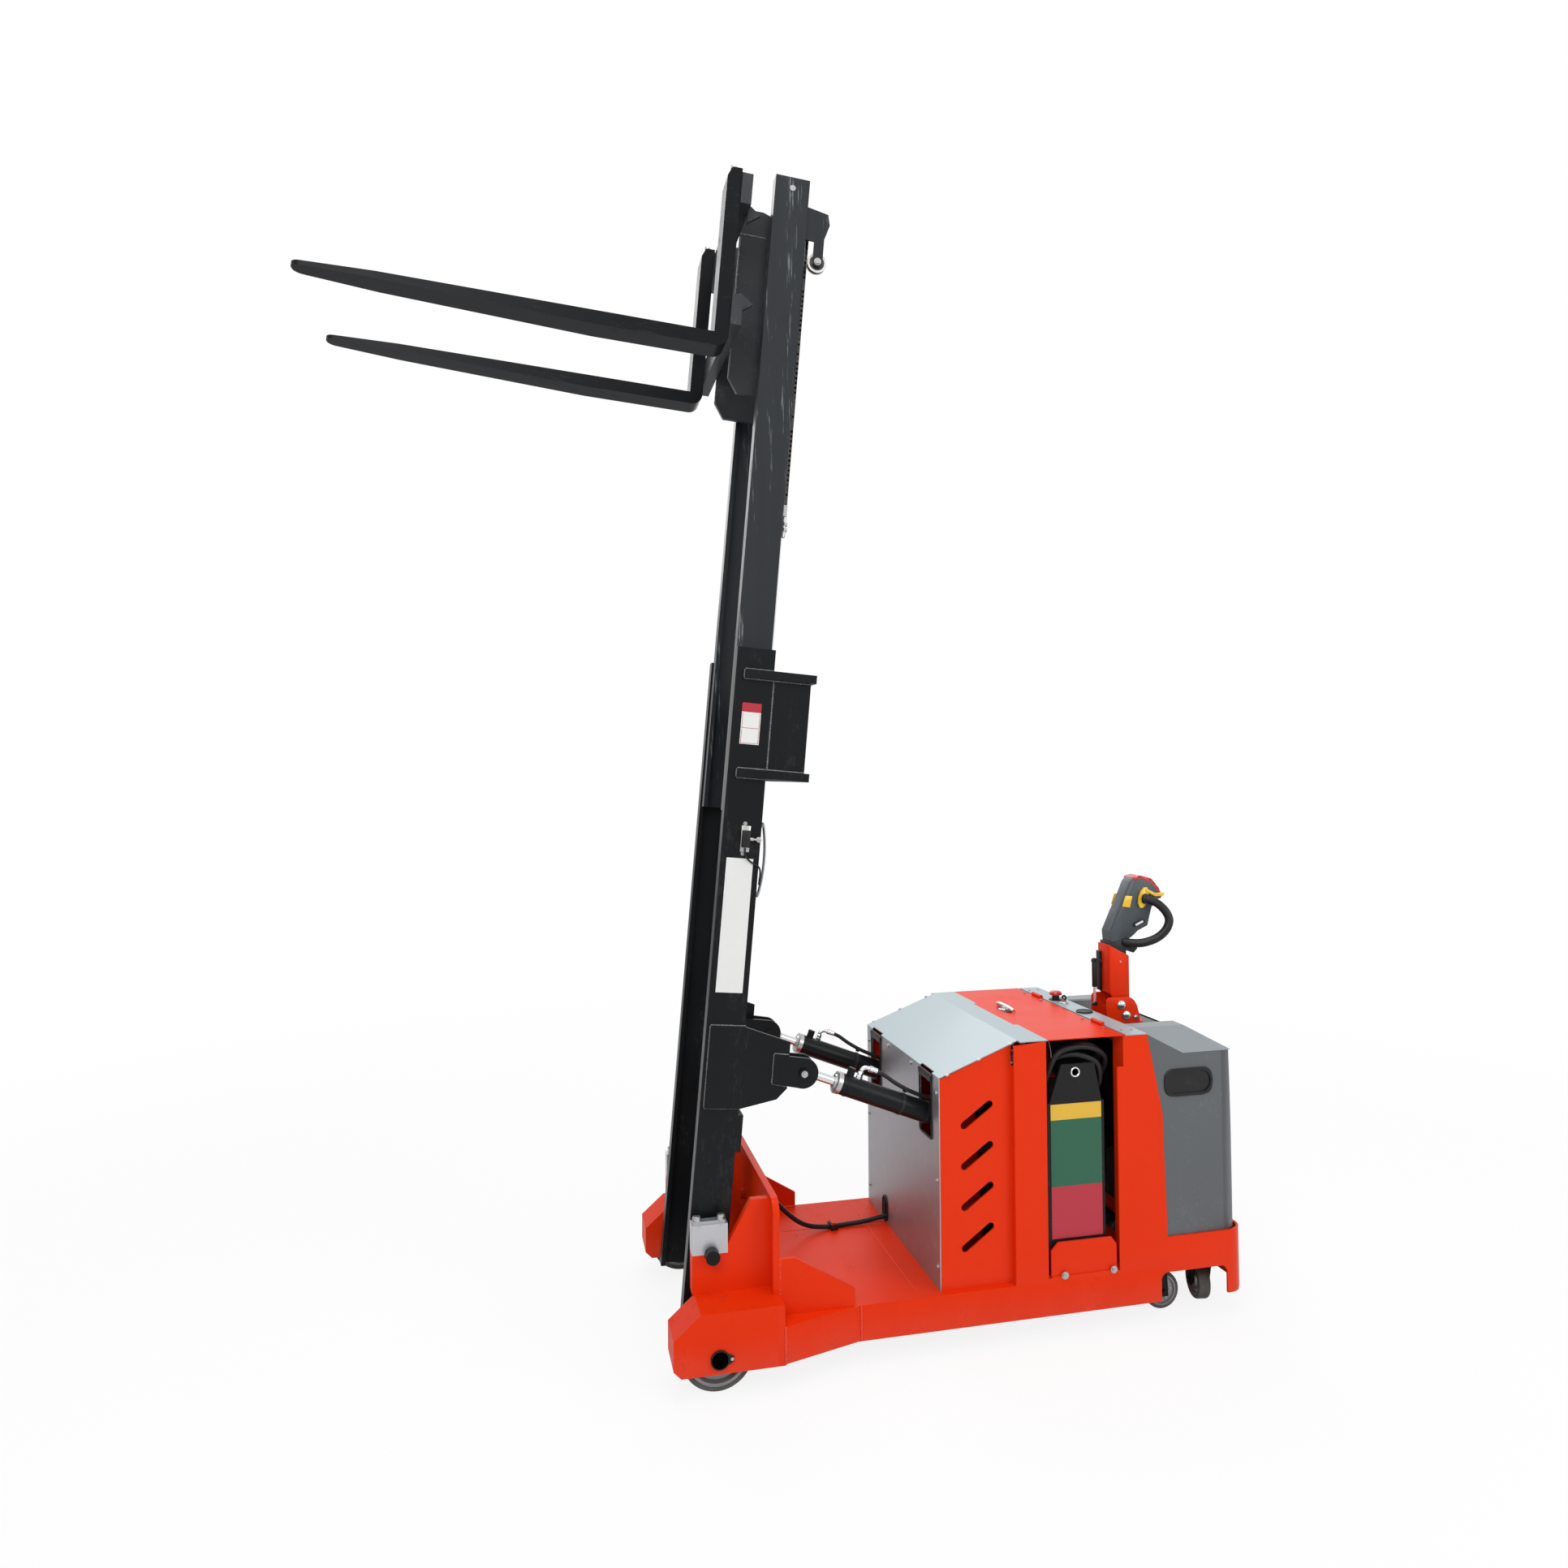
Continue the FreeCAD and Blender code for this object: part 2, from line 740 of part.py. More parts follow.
def write_side_panels():
    """Slotted side panels beside the pump bay, set in from the posts."""
    outer = -S.panel_half - S.side_thick
    top_gap = S.sheet_thick + S.seam_gap
    panel = plate("XZ", (outer, -S.panel_half), (
        (back(S.body_front + S.sheet_thick), S.deck_top), (back(S.post_front), S.deck_top),
        (back(S.post_front), slope_z(S.post_front) - top_gap),
        (back(S.body_front + S.sheet_thick), slope_z(S.body_front + S.sheet_thick) - top_gap)))
    radius = S.slot_width / 2
    run = S.slot_length - S.slot_width
    for index in range(4):
        slot = plate("XZ", (outer - radius, -S.panel_half + radius), (
            (ZERO, -radius), (run, -radius), (run, radius), (ZERO, radius)))
        ends = [
            rod("Y", radius, (outer - radius, -S.panel_half + radius),
            (spot, ZERO)) for spot in (ZERO, run)]
        tool = fused(slot, *ends)
        tool.Placement = Placement(Vector(), Rotation(Vector(0, 1, 0), -S.slot_slope.value))
        bind(tool, "Placement.Rotation.Angle", S.slot_slope)
        tool.Placement = Placement(Vector(), Rotation(Vector(0, -1, 0), S.slot_slope.value))
        place(tool, back(S.slot_x), ZERO, S.slot_low_z + S.slot_pitch * index)
        panel = cut(panel, tool)
    node("side_panel_left", panel)
    node("side_panel_right", mirrored(panel))


def write_front_panel():
    """Galvanised front panel with slots for the tilt cylinders and the cable."""
    front = back(S.body_front)
    panel = box((front, front + S.sheet_thick),
        (-S.panel_half - S.side_thick, S.panel_half + S.side_thick),
                (S.deck_top, S.panel_top))
    half = S.tilt_slot_width / 2
    reach = S.sheet_thick
    tools = [
        box((front - reach, front + reach * 2), (middle - half, middle + half),
            (S.tilt_slot_bottom, S.panel_top + reach))
        for middle in (-S.tilt_y, S.tilt_y)]
    half = S.cable_slot_width / 2
    tools.append(box((front - reach, front + reach * 2), (S.cable_slot_y - half, S.cable_slot_y + half),
                     (S.cable_slot_low, S.cable_slot_high - half)))
    tools.append(rod("X", half, (front - reach, front + reach * 2),
        (S.cable_slot_y, S.cable_slot_high - half)))
    node("front_panel", cut(panel, *tools))


def write_hood():
    """Folded hood sheet: a slope over the pump bay and a flat flange up to the lid."""
    top = S.hood_top
    thick = S.sheet_thick
    half = S.panel_half + S.side_thick + thick
    slope = plate("XZ", (-half, half), (
        (back(S.body_front), S.panel_top), (back(S.body_front), S.panel_top + thick),
        (back(S.ridge_x), top), (back(S.hood_flat_end), top),
        (back(S.hood_flat_end), top - thick), (back(S.ridge_x), top - thick)))
    wing = box((back(S.ridge_x), back(S.hood_flat_end + S.lid_step)),
        (-S.body_half, -S.body_half + S.lid_notch * 2),
               (top - thick, top))
    slot = S.tilt_slot_width / 2
    cutters = [
        box((back(S.body_front - thick), back(S.body_front + thick * 3)), (middle - slot, middle + slot),
            (S.panel_top - thick, S.panel_top + thick * 4))
        for middle in (-S.tilt_y, S.tilt_y)]
    node("hood_sheet", cut(fused(slope, wing, mirrored(wing)), *cutters))


def write_lid():
    """Battery lid, its two hinge barrels and the turn latch."""
    top = S.hood_top
    front = back(S.hood_flat_end) + S.seam_gap
    rear = back(S.lid_rear)
    notch = S.body_half - S.lid_notch * 2 - S.seam_gap
    step = S.lid_step
    lid = plate("XY", (top - S.lid_thick, top), (
        (front + step, -S.body_half), (rear, -S.body_half), (rear, S.body_half),
        (front + step, S.body_half), (front + step, notch), (front, notch),
        (front, -notch), (front + step, -notch)))
    barrels = [
        rod("Y", S.hinge_radius, (middle - S.hinge_length / 2, middle + S.hinge_length / 2),
            (rear, top + S.hinge_radius - S.lid_thick / 2))
        for middle in (-S.hinge_y, S.hinge_y)]
    node("battery_lid", fused(lid, *barrels))

    latch_x = back((S.post_rear + S.opening_rear) / 2 - S.hinge_length)
    latch_y = S.body_half * 0.14
    disc = rod("Z", S.hinge_length * 0.4, (top, top + S.lid_thick * 2), (latch_x, latch_y))
    grip = box((latch_x - S.hinge_radius, latch_x + S.hinge_radius),
               (latch_y - S.hinge_length, latch_y + S.hinge_length),
               (top + S.lid_thick * 2, top + S.hinge_radius * 3))
    node("lid_latch", fused(disc, grip))


def write_console():
    """Console strip across the body behind the lid, with its red stop and key."""
    top = S.hood_top
    front = back(S.lid_rear) + S.hinge_radius + S.seam_gap
    rear = back(S.column_top_rear)
    node("console_panel", box((front, rear), (-S.body_half, S.body_half), (top - S.lid_thick, top)))

    middle = (front + rear) / 2
    stop_y = S.body_half * 0.37
    collar = rod("Z", S.hinge_radius * 2.6, (top, top + S.hinge_radius), (middle, stop_y))
    stem = rod("Z", S.hinge_radius * 1.4, (top + S.hinge_radius, top + S.hinge_radius * 3),
        (middle, stop_y))
    cap = cone("Z", (S.hinge_radius * 2.8, S.hinge_radius * 2.2),
               (top + S.hinge_radius * 3, top + S.hinge_radius * 5), (middle, stop_y))
    key_y = S.body_half * 0.18
    key = rod("Z", S.hinge_radius * 1.6, (top, top + S.hinge_radius * 1.4), (middle, key_y))
    blade = box((middle - S.hinge_radius, middle + S.hinge_radius),
        (key_y - S.lid_thick / 2, key_y + S.lid_thick / 2),
                (top + S.hinge_radius * 1.4, top + S.hinge_radius * 4))
    node("console_controls", grouped(fused(collar, stem, cap), fused(key, blade)))


bridge_low = S.drive_top + S.fit_gap
bridge_top = bridge_low + S.bridge_plate


def write_skirt():
    """Rear skirt with round corners and a wheel arch in each side."""
    front = back(S.column_rear)
    rear = back(S.body_rear)
    low = S.rail_bottom
    outer = S.body_half
    whole = plate("XY", (low, S.skirt_top), (
        (front, -outer), (rear, -outer, S.skirt_round), (rear, outer, S.skirt_round), (front, outer)))
    wall = S.skirt_thick
    inside = plate("XY", (low - wall, S.skirt_top + wall), (
        (front - wall, -outer + wall), (rear - wall, -outer + wall, S.skirt_round - wall),
        (rear - wall, outer - wall, S.skirt_round - wall), (front - wall, outer - wall)))
    side = plate("XZ", (-outer, -outer + wall), (
        (back(S.arch_front) + S.seam_gap, low), (front, low), (front, S.deck_top),
        (back(S.arch_front) + S.seam_gap, S.deck_top)))
    arch = plate("XZ", (-outer - wall, outer + wall), (
        (back(S.arch_front), low - wall), (back(S.arch_rear), low - wall),
        (back(S.arch_rear), S.arch_top, S.arch_round), (back(S.arch_front), S.arch_top, S.arch_round)))
    toe = plate("XZ", (-outer - wall, outer + wall), (
        (rear + wall, low - wall), (rear + wall, low + S.skirt_toe), (rear - S.skirt_toe, low - wall)))
    roof = box((front, back(S.arch_rear)), (-outer + wall, -outer + wall * 2), (S.deck_top, S.skirt_top))
    shell = cut(fused(cut(whole, inside), side, mirrored(side), roof, mirrored(roof)), arch, toe)
    node("rear_skirt", shell)

    deck_front = back(S.arch_front)
    shelf = plate("XY", (S.deck_top - S.deck_plate, S.deck_top), (
        (deck_front, -outer + wall * 2), (rear - wall, -outer + wall * 2, S.skirt_round),
        (rear - wall, outer - wall * 2, S.skirt_round), (deck_front, outer - wall * 2)))
    reach = S.drive_disc + S.running_gap * 2
    drive = box((back(S.drive_x) - reach, back(S.drive_x) + reach), (-reach, reach),
        (S.rail_bottom, bridge_low))
    span = (back(S.drive_x) - S.drive_disc, rear - wall * 2)
    web = box(span, (-outer + wall * 6, -outer + wall * 7), (S.deck_top, bridge_top))
    bridge = box(span, (-outer + wall * 6, outer - wall * 6), (bridge_low, bridge_top))
    reach = S.motor_radius + S.running_gap
    motor = box((back(S.drive_x) - reach, back(S.drive_x) + reach), (-reach, reach),
        (S.deck_top, S.motor_top))
    node("rear_shelf", cut(fused(shelf, bridge, web, mirrored(web)), drive, motor))


def write_cover():
    """Counterweight cover: upright sides, a stepped shoulder, a sloped crown and two hand holes."""
    front_top = back(S.column_top_rear)
    gap = S.seam_gap
    half = S.cover_half

    def hull(inset, drop):
        low = S.skirt_top + gap - drop
        sides = plate("XZ", (-half + inset, half - inset), (
            (back(S.column_rear) + gap - inset * 2, low), (back(S.cover_rear_low) - inset, low),
            (back(S.cover_rear_top) - inset, S.cover_side_top - inset),
            (front_top + S.cover_step_run * 2 - inset, S.cover_side_top - inset),
            (front_top + gap - inset * 2, S.hood_top - S.lid_thick - gap - inset),
            (back(S.column_knee_rear) + gap - inset * 2, S.column_knee_z)))
        corner = plate("XY", (low - inset, S.hood_top + S.cover_round), (
            (front_top - S.cover_round, -half + inset),
            (back(S.cover_rear_low) - inset, -half + inset, S.cover_round),
            (back(S.cover_rear_low) - inset, half - inset, S.cover_round),
            (front_top - S.cover_round, half - inset)))
        common = doc.addObject("Part::MultiCommon", "Shared")
        common.Shapes = [sides, corner]
        crown = doc.addObject("Part::Wedge", "Crown")
        bind(crown, "Xmin", front_top + gap)
        bind(crown, "Xmax", back(S.cover_rear_top) - inset)
        bind(crown, "Zmin", -half + inset)
        bind(crown, "Zmax", half - inset)
        bind(crown, "Ymin", S.cover_side_top - inset)
        bind(crown, "Ymax", S.cover_crown - inset)
        bind(crown, "X2min", front_top + gap)
        bind(crown, "X2max", back(S.cover_crown_rear))
        bind(crown, "Z2min", -S.cover_crown_half)
        bind(crown, "Z2max", S.cover_crown_half)
        crown.Placement = Placement(Vector(), Rotation(Vector(1, 0, 0), 90))
        return fused(common, crown)

    hollow = hull(S.cover_wall, S.cover_wall * 2)
    shell = cut(hull(ZERO, ZERO), hollow)
    middle = (S.grip_low + S.grip_high) / 2

    def slot(grow, span):
        radius = (S.grip_high - S.grip_low) / 2 + grow
        first = back(S.grip_front) + radius - grow
        last = back(S.grip_rear) - radius + grow
        bar = box((first, last), span, (middle - radius, middle + radius))
        return fused(bar, rod("Y", radius, span, (first, middle)),
            rod("Y", radius, span, (last, middle)))

    through = (-half - S.cover_round, half + S.cover_round)
    rim_span = (-half - S.grip_proud, -half + S.cover_wall)
    hole = slot(ZERO, through)
    rim = cut(slot(S.grip_rim, rim_span), slot(ZERO, through))
    column = rod("Z", S.column_radius + S.running_gap,
                 (S.cover_side_top - S.cover_wall * 3, S.hood_top), (back(S.drive_x), ZERO))
    rims = (slot(S.grip_rim, rim_span), mirrored(slot(S.grip_rim, rim_span)))
    node("counterweight_cover", cut(shell, hole, column, *rims))
    node("grip_rims", both(rim))


def write_counterweight():
    """Cast counterweight: one plain block behind the drive unit, split round its column."""
    inset = S.cover_wall * 3
    front = back(S.drive_x) + S.column_radius + S.running_gap * 2
    rear = back(S.cover_rear_top) - inset
    half = S.cover_half - S.cover_round
    block = box((front, rear), (-half, half), (S.motor_top + inset, S.grip_low - inset))
    foot = [
        box((front, rear), (spot - inset, spot + inset), (bridge_top, S.motor_top + inset))
        for spot in (-half + inset, half - inset)]
    node("counterweight_block", fused(block, *foot))


def write_battery():
    """Traction battery with its lifting lugs, held down by a retainer on each ledge."""
    front = back(S.battery_front)
    rear = back(S.battery_rear)
    half = S.battery_half
    case = box((front, rear), (-half, half), (S.opening_bottom, S.battery_top))
    middle = back((S.battery_front + S.battery_rear) / 2)
    lug = plate("XZ", (-half, -half + S.lug_thick), (
        (front + S.lug_thick, S.battery_top), (rear - S.lug_thick, S.battery_top),
        (rear - S.lug_thick * 4, S.lug_top), (middle - S.lug_thick * 6, S.lug_top)))
    eye = rod("Y", S.lug_bore, (-half - S.lug_thick, half + S.lug_thick), (middle, S.lug_z))
    node("battery", cut(fused(case, lug, mirrored(lug)), eye))

    outer = -S.body_half + S.side_thick
    edge = S.gusset_plate
    shield = plate("XZ", (outer, outer + S.side_thick), (
        (back(S.post_rear) + edge, S.opening_bottom),
        (back(S.opening_rear) - edge * 2.5, S.opening_bottom),
        (back(S.opening_rear) - edge * 2.5, S.retainer_top - edge * 2),
        (back(S.opening_rear) - edge * 4, S.retainer_top),
        (back(S.post_rear) + edge * 3, S.retainer_top),
        (back(S.post_rear) + edge, S.retainer_top - edge * 2)))
    bolts = [
        rod("Z", S.side_thick, (S.opening_bottom, S.opening_bottom + S.side_thick * 2),
        (spot, outer - S.side_thick * 0.4))
        for spot in (back(S.post_rear) + edge * 4, back(S.opening_rear) - edge * 4)]
    tab = box((back(S.post_rear) + edge, back(S.opening_rear) - edge * 2.5), (-S.body_half, outer),
              (S.opening_bottom, S.opening_bottom + S.side_thick / 2))
    node("battery_retainers", both(fused(shield, tab, *bolts)))


def write_pump_bay():
    """Pump motor and tank as plain masses, and the anchors of the tilt cylinders."""
    front = back(S.tilt_root_x) + S.anchor_half * 1.6
    wall = S.anchor_plate
    tank = box((front, back(S.post_front) + wall * 4), (-S.tilt_y * 0.9, S.tilt_y * 0.9),
               (S.deck_top, S.cable_slot_high * 2))
    node("pump_unit", tank)

    half = S.tilt_eye_half + S.fit_gap
    reach = S.tilt_eye_radius + wall
    cheeks = []
    for near in (-S.tilt_y - half - wall, -S.tilt_y + half):
        cheeks.append(plate("XZ", (near, near + wall), (
            (back(S.tilt_root_x) - wall, S.deck_top),
            (back(S.tilt_root_x) + S.anchor_half + wall, S.deck_top),
            (back(S.tilt_root_x) + reach, S.tilt_root_z + reach, wall),
            (back(S.tilt_root_x) - wall * 2, S.tilt_root_z + reach, wall),
            (back(S.tilt_root_x) - wall * 2, S.tilt_root_z - reach))))
    tie = box((back(S.tilt_root_x) - wall, back(S.tilt_root_x) + S.anchor_half + wall),
              (-S.tilt_y - half, -S.tilt_y + half), (S.deck_top, S.deck_top + wall))
    pin = rod("Y", S.eye_pin_radius, (-S.tilt_y - half - wall * 2, -S.tilt_y + half + wall * 2),
              (back(S.tilt_root_x), S.tilt_root_z))
    node("tilt_anchors", both(fused(*cheeks, tie, pin)))


def strip(front, rear, side, span):
    """A channel of the mast: web outside, two flanges turned in."""
    lip = S.channel_lip
    web = S.channel_web
    flange = S.channel_flange
    return plate("XY", span, (
        (front, -side), (rear, -side), (rear, -side + flange), (rear - lip, -side + flange),
        (rear - lip, -side + web), (front + lip, -side + web), (front + lip, -side + flange),
        (front, -side + flange)))


outer_front = -S.mast_front
outer_rear = outer_front + S.mast_depth
outer_low = -S.mast_foot
outer_high = outer_low + S.outer_length
inner_front = -S.inner_front
inner_rear = inner_front + S.inner_depth
inner_low = outer_low + S.inner_seat + S.lift
inner_high = inner_low + S.inner_length
inner_side = S.mast_half - S.channel_flange - S.mast_gap
blade_top = outer_low - S.fork_clear + S.lift * 2


def write_outer_mast():
    """Outer mast: two channels, the cross members behind them and the pivot stubs."""
    channel = strip(outer_front, outer_rear, S.mast_half, (outer_low, outer_high))
    behind = outer_rear + S.cross_thick
    low = box((outer_rear, behind), (-S.mast_half, S.mast_half),
              (outer_low + S.cross_low, outer_low + S.cross_low + S.cross_height))
    high = box((outer_rear, behind), (-S.mast_half, S.mast_half),
               (S.tilt_plate_low - S.cross_height * 1.2, S.tilt_plate_low - S.cross_height * 0.2))
    barrels = [
        rod("Z", S.lift_barrel_radius + S.fit_gap, (outer_low, S.tilt_plate_low), (S.lift_u, side))
        for side in (-S.lift_y, S.lift_y)]
    foot = box((S.carriage_rear + S.foot_plate, S.lift_u + S.lift_barrel_radius),
        (-S.mast_half, S.mast_half),
               (outer_low - S.foot_plate / 2, outer_low + S.foot_plate / 2))
    stub = rod("Y", S.pivot_radius, (-S.pivot_reach, -S.mast_half), (ZERO, ZERO))
    on_mast("outer_mast", fused(
        channel, mirrored(channel), cut(low, *barrels), cut(high, *barrels), foot, stub, mirrored(stub)))


def write_tilt_brackets():
    """Side plates welded on the channels, with the clevis of each tilt cylinder."""
    near = -S.mast_half - S.tilt_plate
    side = plate("XZ", (near, -S.mast_half), (
        (outer_front + S.channel_lip, S.tilt_plate_low), (outer_rear, S.tilt_plate_low),
        (S.tilt_plate_rear - S.tilt_plate_round, S.tilt_plate_low + S.tilt_plate_round),
        (S.tilt_plate_rear, S.tilt_plate_heel), (S.tilt_plate_rear, S.tilt_plate_brow),
        (outer_rear, S.tilt_plate_high), (outer_front + S.channel_lip, S.tilt_plate_high)))
    slope = S.eye_lug_radius
    outer = plate("XZ", (near - S.clevis_plate, near), (
        (S.clevis_root, S.clevis_low), (S.eye_u, S.eye_w - slope), (S.eye_u, S.eye_w + slope),
        (S.clevis_root, S.clevis_high)))
    tip = rod("Y", slope, (near - S.clevis_plate, near), (S.eye_u, S.eye_w))
    eye_in = -S.tilt_y + S.tilt_eye_half + S.fit_gap
    inner = plate("XZ", (eye_in, eye_in + S.clevis_plate), (
        (outer_rear, S.clevis_low - slope), (S.eye_u, S.eye_w - slope), (S.eye_u, S.eye_w + slope),
        (outer_rear, S.clevis_high)))
    tip_in = rod("Y", slope, (eye_in, eye_in + S.clevis_plate), (S.eye_u, S.eye_w))
    pin = rod("Y", S.eye_pin_radius, (near - S.clevis_plate * 2, eye_in + S.clevis_plate * 1.5),
        (S.eye_u, S.eye_w))
    bracket = fused(side, outer, tip, inner, tip_in, pin)
    on_mast("tilt_brackets", both(bracket))


def write_upper_bracket():
    """Box bracket behind the top of the outer mast, open for the rods and chains."""
    near = -S.mast_half
    wall = S.bracket_wall
    clear = S.sheave_u + S.sheave_radius + S.running_gap * 2
    pieces_here = []
    for low, high in ((S.bracket_low, S.bracket_low + S.bracket_plate),
        (S.bracket_high - S.bracket_plate, S.bracket_high)):
        strap = box((-S.bracket_front, S.bracket_rear - wall), (-S.bracket_out, near), (low, high))
        shelf = box((outer_rear, S.bracket_rear),
            (-S.bracket_out, near + S.channel_flange - wall / 2), (low, high))
        cross = box((clear, S.bracket_rear), (-S.mast_half, S.mast_half), (low, high))
        pieces_here += [strap, shelf, mirrored(strap), mirrored(shelf), cross]
    side = box((outer_rear, S.bracket_rear - wall), (near, near + wall), (S.bracket_low, S.bracket_high))
    rear = box((S.bracket_rear - wall * 2, S.bracket_rear - wall), (near, S.mast_half),
               (S.bracket_low, S.bracket_high))
    on_mast("upper_bracket", fused(*pieces_here, side, mirrored(side), rear))


def write_lift_cylinders():
    """Lift cylinder barrels on the outer mast, with their gland nuts."""
    foot = outer_low + S.foot_plate / 2
    bore = S.lift_rod_radius + S.roller_gap
    barrel = rod("Z", S.lift_barrel_radius, (foot, S.lift_barrel_top), (S.lift_u, -S.lift_y))
    room = rod("Z", bore, (foot + S.foot_plate, S.lift_barrel_top + S.foot_plate), (S.lift_u, -S.lift_y))
    on_mast("lift_cylinders", both(cut(barrel, room)))


def write_limit_switch():
    """Height switch on the left channel, with the curved cam beside it."""
    near = -S.mast_half
    body = box((ZERO, S.hinge_radius * 5), (near - S.hinge_radius * 3, near),
        (S.tilt_plate_high * 1.81, S.tilt_plate_high * 1.93))
    arm = rod("Y", S.hinge_radius * 0.6, (near - S.hinge_radius * 5, near - S.hinge_radius * 3),
              (S.hinge_radius * 3, S.tilt_plate_high * 1.87))
    on_mast("limit_switch", fused(body, arm))


def write_inner_mast():
    """Inner mast: two channels, head beam with rod lugs, lower tie and guide rollers."""
    channel = strip(inner_front, inner_rear, inner_side, (inner_low, inner_high))
    inside = inner_side - S.channel_web
    beam = box((ZERO, inner_rear), (-inside, inside),
        (inner_high - S.head_beam, inner_high - S.channel_lip))
    lug = box((inner_rear, S.lift_u + S.lift_barrel_radius),
              (-S.lift_y - S.lift_barrel_radius, -S.lift_y + S.lift_barrel_radius),
              (inner_high - S.head_beam, inner_high - S.head_beam + S.head_lug))
    tie = box((inner_rear - S.channel_lip, inner_rear), (-inside, inside),
              (inner_low, inner_low + S.head_beam))
    radius = (S.mast_depth - S.channel_lip * 2) / 2 - S.roller_gap
    roller = rod("Y", radius, (-inner_side - S.roller_gap - S.roller_width, -inner_side - S.roller_gap),
                 ((outer_front + outer_rear) / 2, inner_low + S.roller_low))
    hub = rod("Y", S.axle_radius, (-inner_side - S.roller_gap, -inside),
              ((outer_front + outer_rear) / 2, inner_low + S.roller_low))
    outside = -S.sheave_y - S.sheave_width / 2 - S.roller_gap * 2
    arm = S.sheave_radius / 2
    reach = S.sheave_u + S.sheave_radius - S.roller_gap
    hanger = plate("XZ", (outside - S.sheave_plate, outside), (
        (inner_rear - S.channel_lip, inner_high - S.head_lug * 3),
        (reach - S.sheave_plate, inner_high - S.head_lug * 3.6),
        (reach, inner_high - S.head_lug * 5), (S.sheave_u + arm, inner_high - S.head_lug * 7),
        (S.sheave_u + arm, inner_high - S.sheave_drop - arm, arm * 0.8),
        (S.sheave_u - arm, inner_high - S.sheave_drop - arm, arm * 0.8),
        (S.sheave_u - arm, inner_high - S.head_lug * 7.4),
        (inner_rear - S.channel_lip, inner_high - S.head_lug * 7.4)))
    on_mast("inner_mast", fused(channel, mirrored(channel), beam, lug, mirrored(lug), tie,
                                roller, mirrored(roller), hub, mirrored(hub), hanger, mirrored(hanger)))


def write_lift_rods():
    """Chrome rods from the lift cylinders up to the head beam."""
    foot = outer_low + S.foot_plate * 2 + S.lift
    rod_here = rod("Z", S.lift_rod_radius, (foot, inner_high - S.head_beam), (S.lift_u, -S.lift_y))
    on_mast("lift_rods", both(rod_here))


def write_chains():
    """Chain pulleys at the head of the inner mast and the chains over them."""
    axis = inner_high - S.pulley_drop
    half = S.pulley_width / 2
    lip = S.chain_thick
    near = -S.pulley_y
    pulley = turned("Y", (
        (S.eye_pin_radius, -half), (S.pulley_radius + lip, -half),
        (S.pulley_radius + lip, -half + lip / 2.5),
        (S.pulley_radius, -half + lip / 2.5), (S.pulley_radius, half - lip / 2.5),
        (S.pulley_radius + lip, half - lip / 2.5), (S.pulley_radius + lip, half),
        (S.eye_pin_radius, half)))
    place(pulley, S.pulley_u, near, axis)
    pin = rod("Y", S.eye_pin_radius, (near - half * 1.4, near + half * 1.4), (S.pulley_u, axis))
    hanger = []
    for spot in (near - half * 1.4, near + half * 1.04):
        hanger.append(box((S.pulley_u - half, S.pulley_u + half), (spot, spot + half * 0.36),
                          (axis - half, inner_high - S.head_beam)))
    wide = S.sheave_width / 2
    sheave = turned("Y", (
        (S.tiller_pin_radius, -wide), (S.sheave_radius, -wide), (S.sheave_radius - wide / 2, ZERO),
        (S.sheave_radius, wide), (S.tiller_pin_radius, wide)))
    place(sheave, S.sheave_u, -S.sheave_y, inner_high - S.sheave_drop)
    spindle = rod("Y", S.tiller_pin_radius, (-S.sheave_y - wide - S.roller_gap * 2 + S.fit_gap / 2,
        -S.sheave_y + wide * 1.4),
                  (S.sheave_u, inner_high - S.sheave_drop))
    on_mast("chain_pulleys", both(grouped(fused(pulley, pin, *hanger), fused(sheave, spindle))))

    width = S.chain_width / 2
    outside = S.pulley_radius + S.chain_thick
    loop = rod("Y", outside, (near - width, near + width), (S.pulley_u, axis))
    core = rod("Y", S.pulley_radius + S.fit_gap, (near - S.chain_width, near + S.chain_width),
        (S.pulley_u, axis))
    low_half = box((S.pulley_u - outside * 2, S.pulley_u + outside * 2),
        (near - S.chain_width, near + S.chain_width),
                   (axis - outside * 2, axis))
    over = cut(loop, core, low_half)
    behind = box((S.pulley_u + S.pulley_radius + S.fit_gap, S.pulley_u + outside),
        (near - width, near + width),
                 (axis - S.chain_run, axis))
    block = box((S.pulley_u + S.pulley_radius - S.chain_thick, S.pulley_u + outside + S.chain_thick),
                (near - width * 1.6, near + width * 1.6),
                (axis - S.chain_run - S.anchor_block, axis - S.chain_run))
    on_mast("chains", both(fused(over, behind, block)))


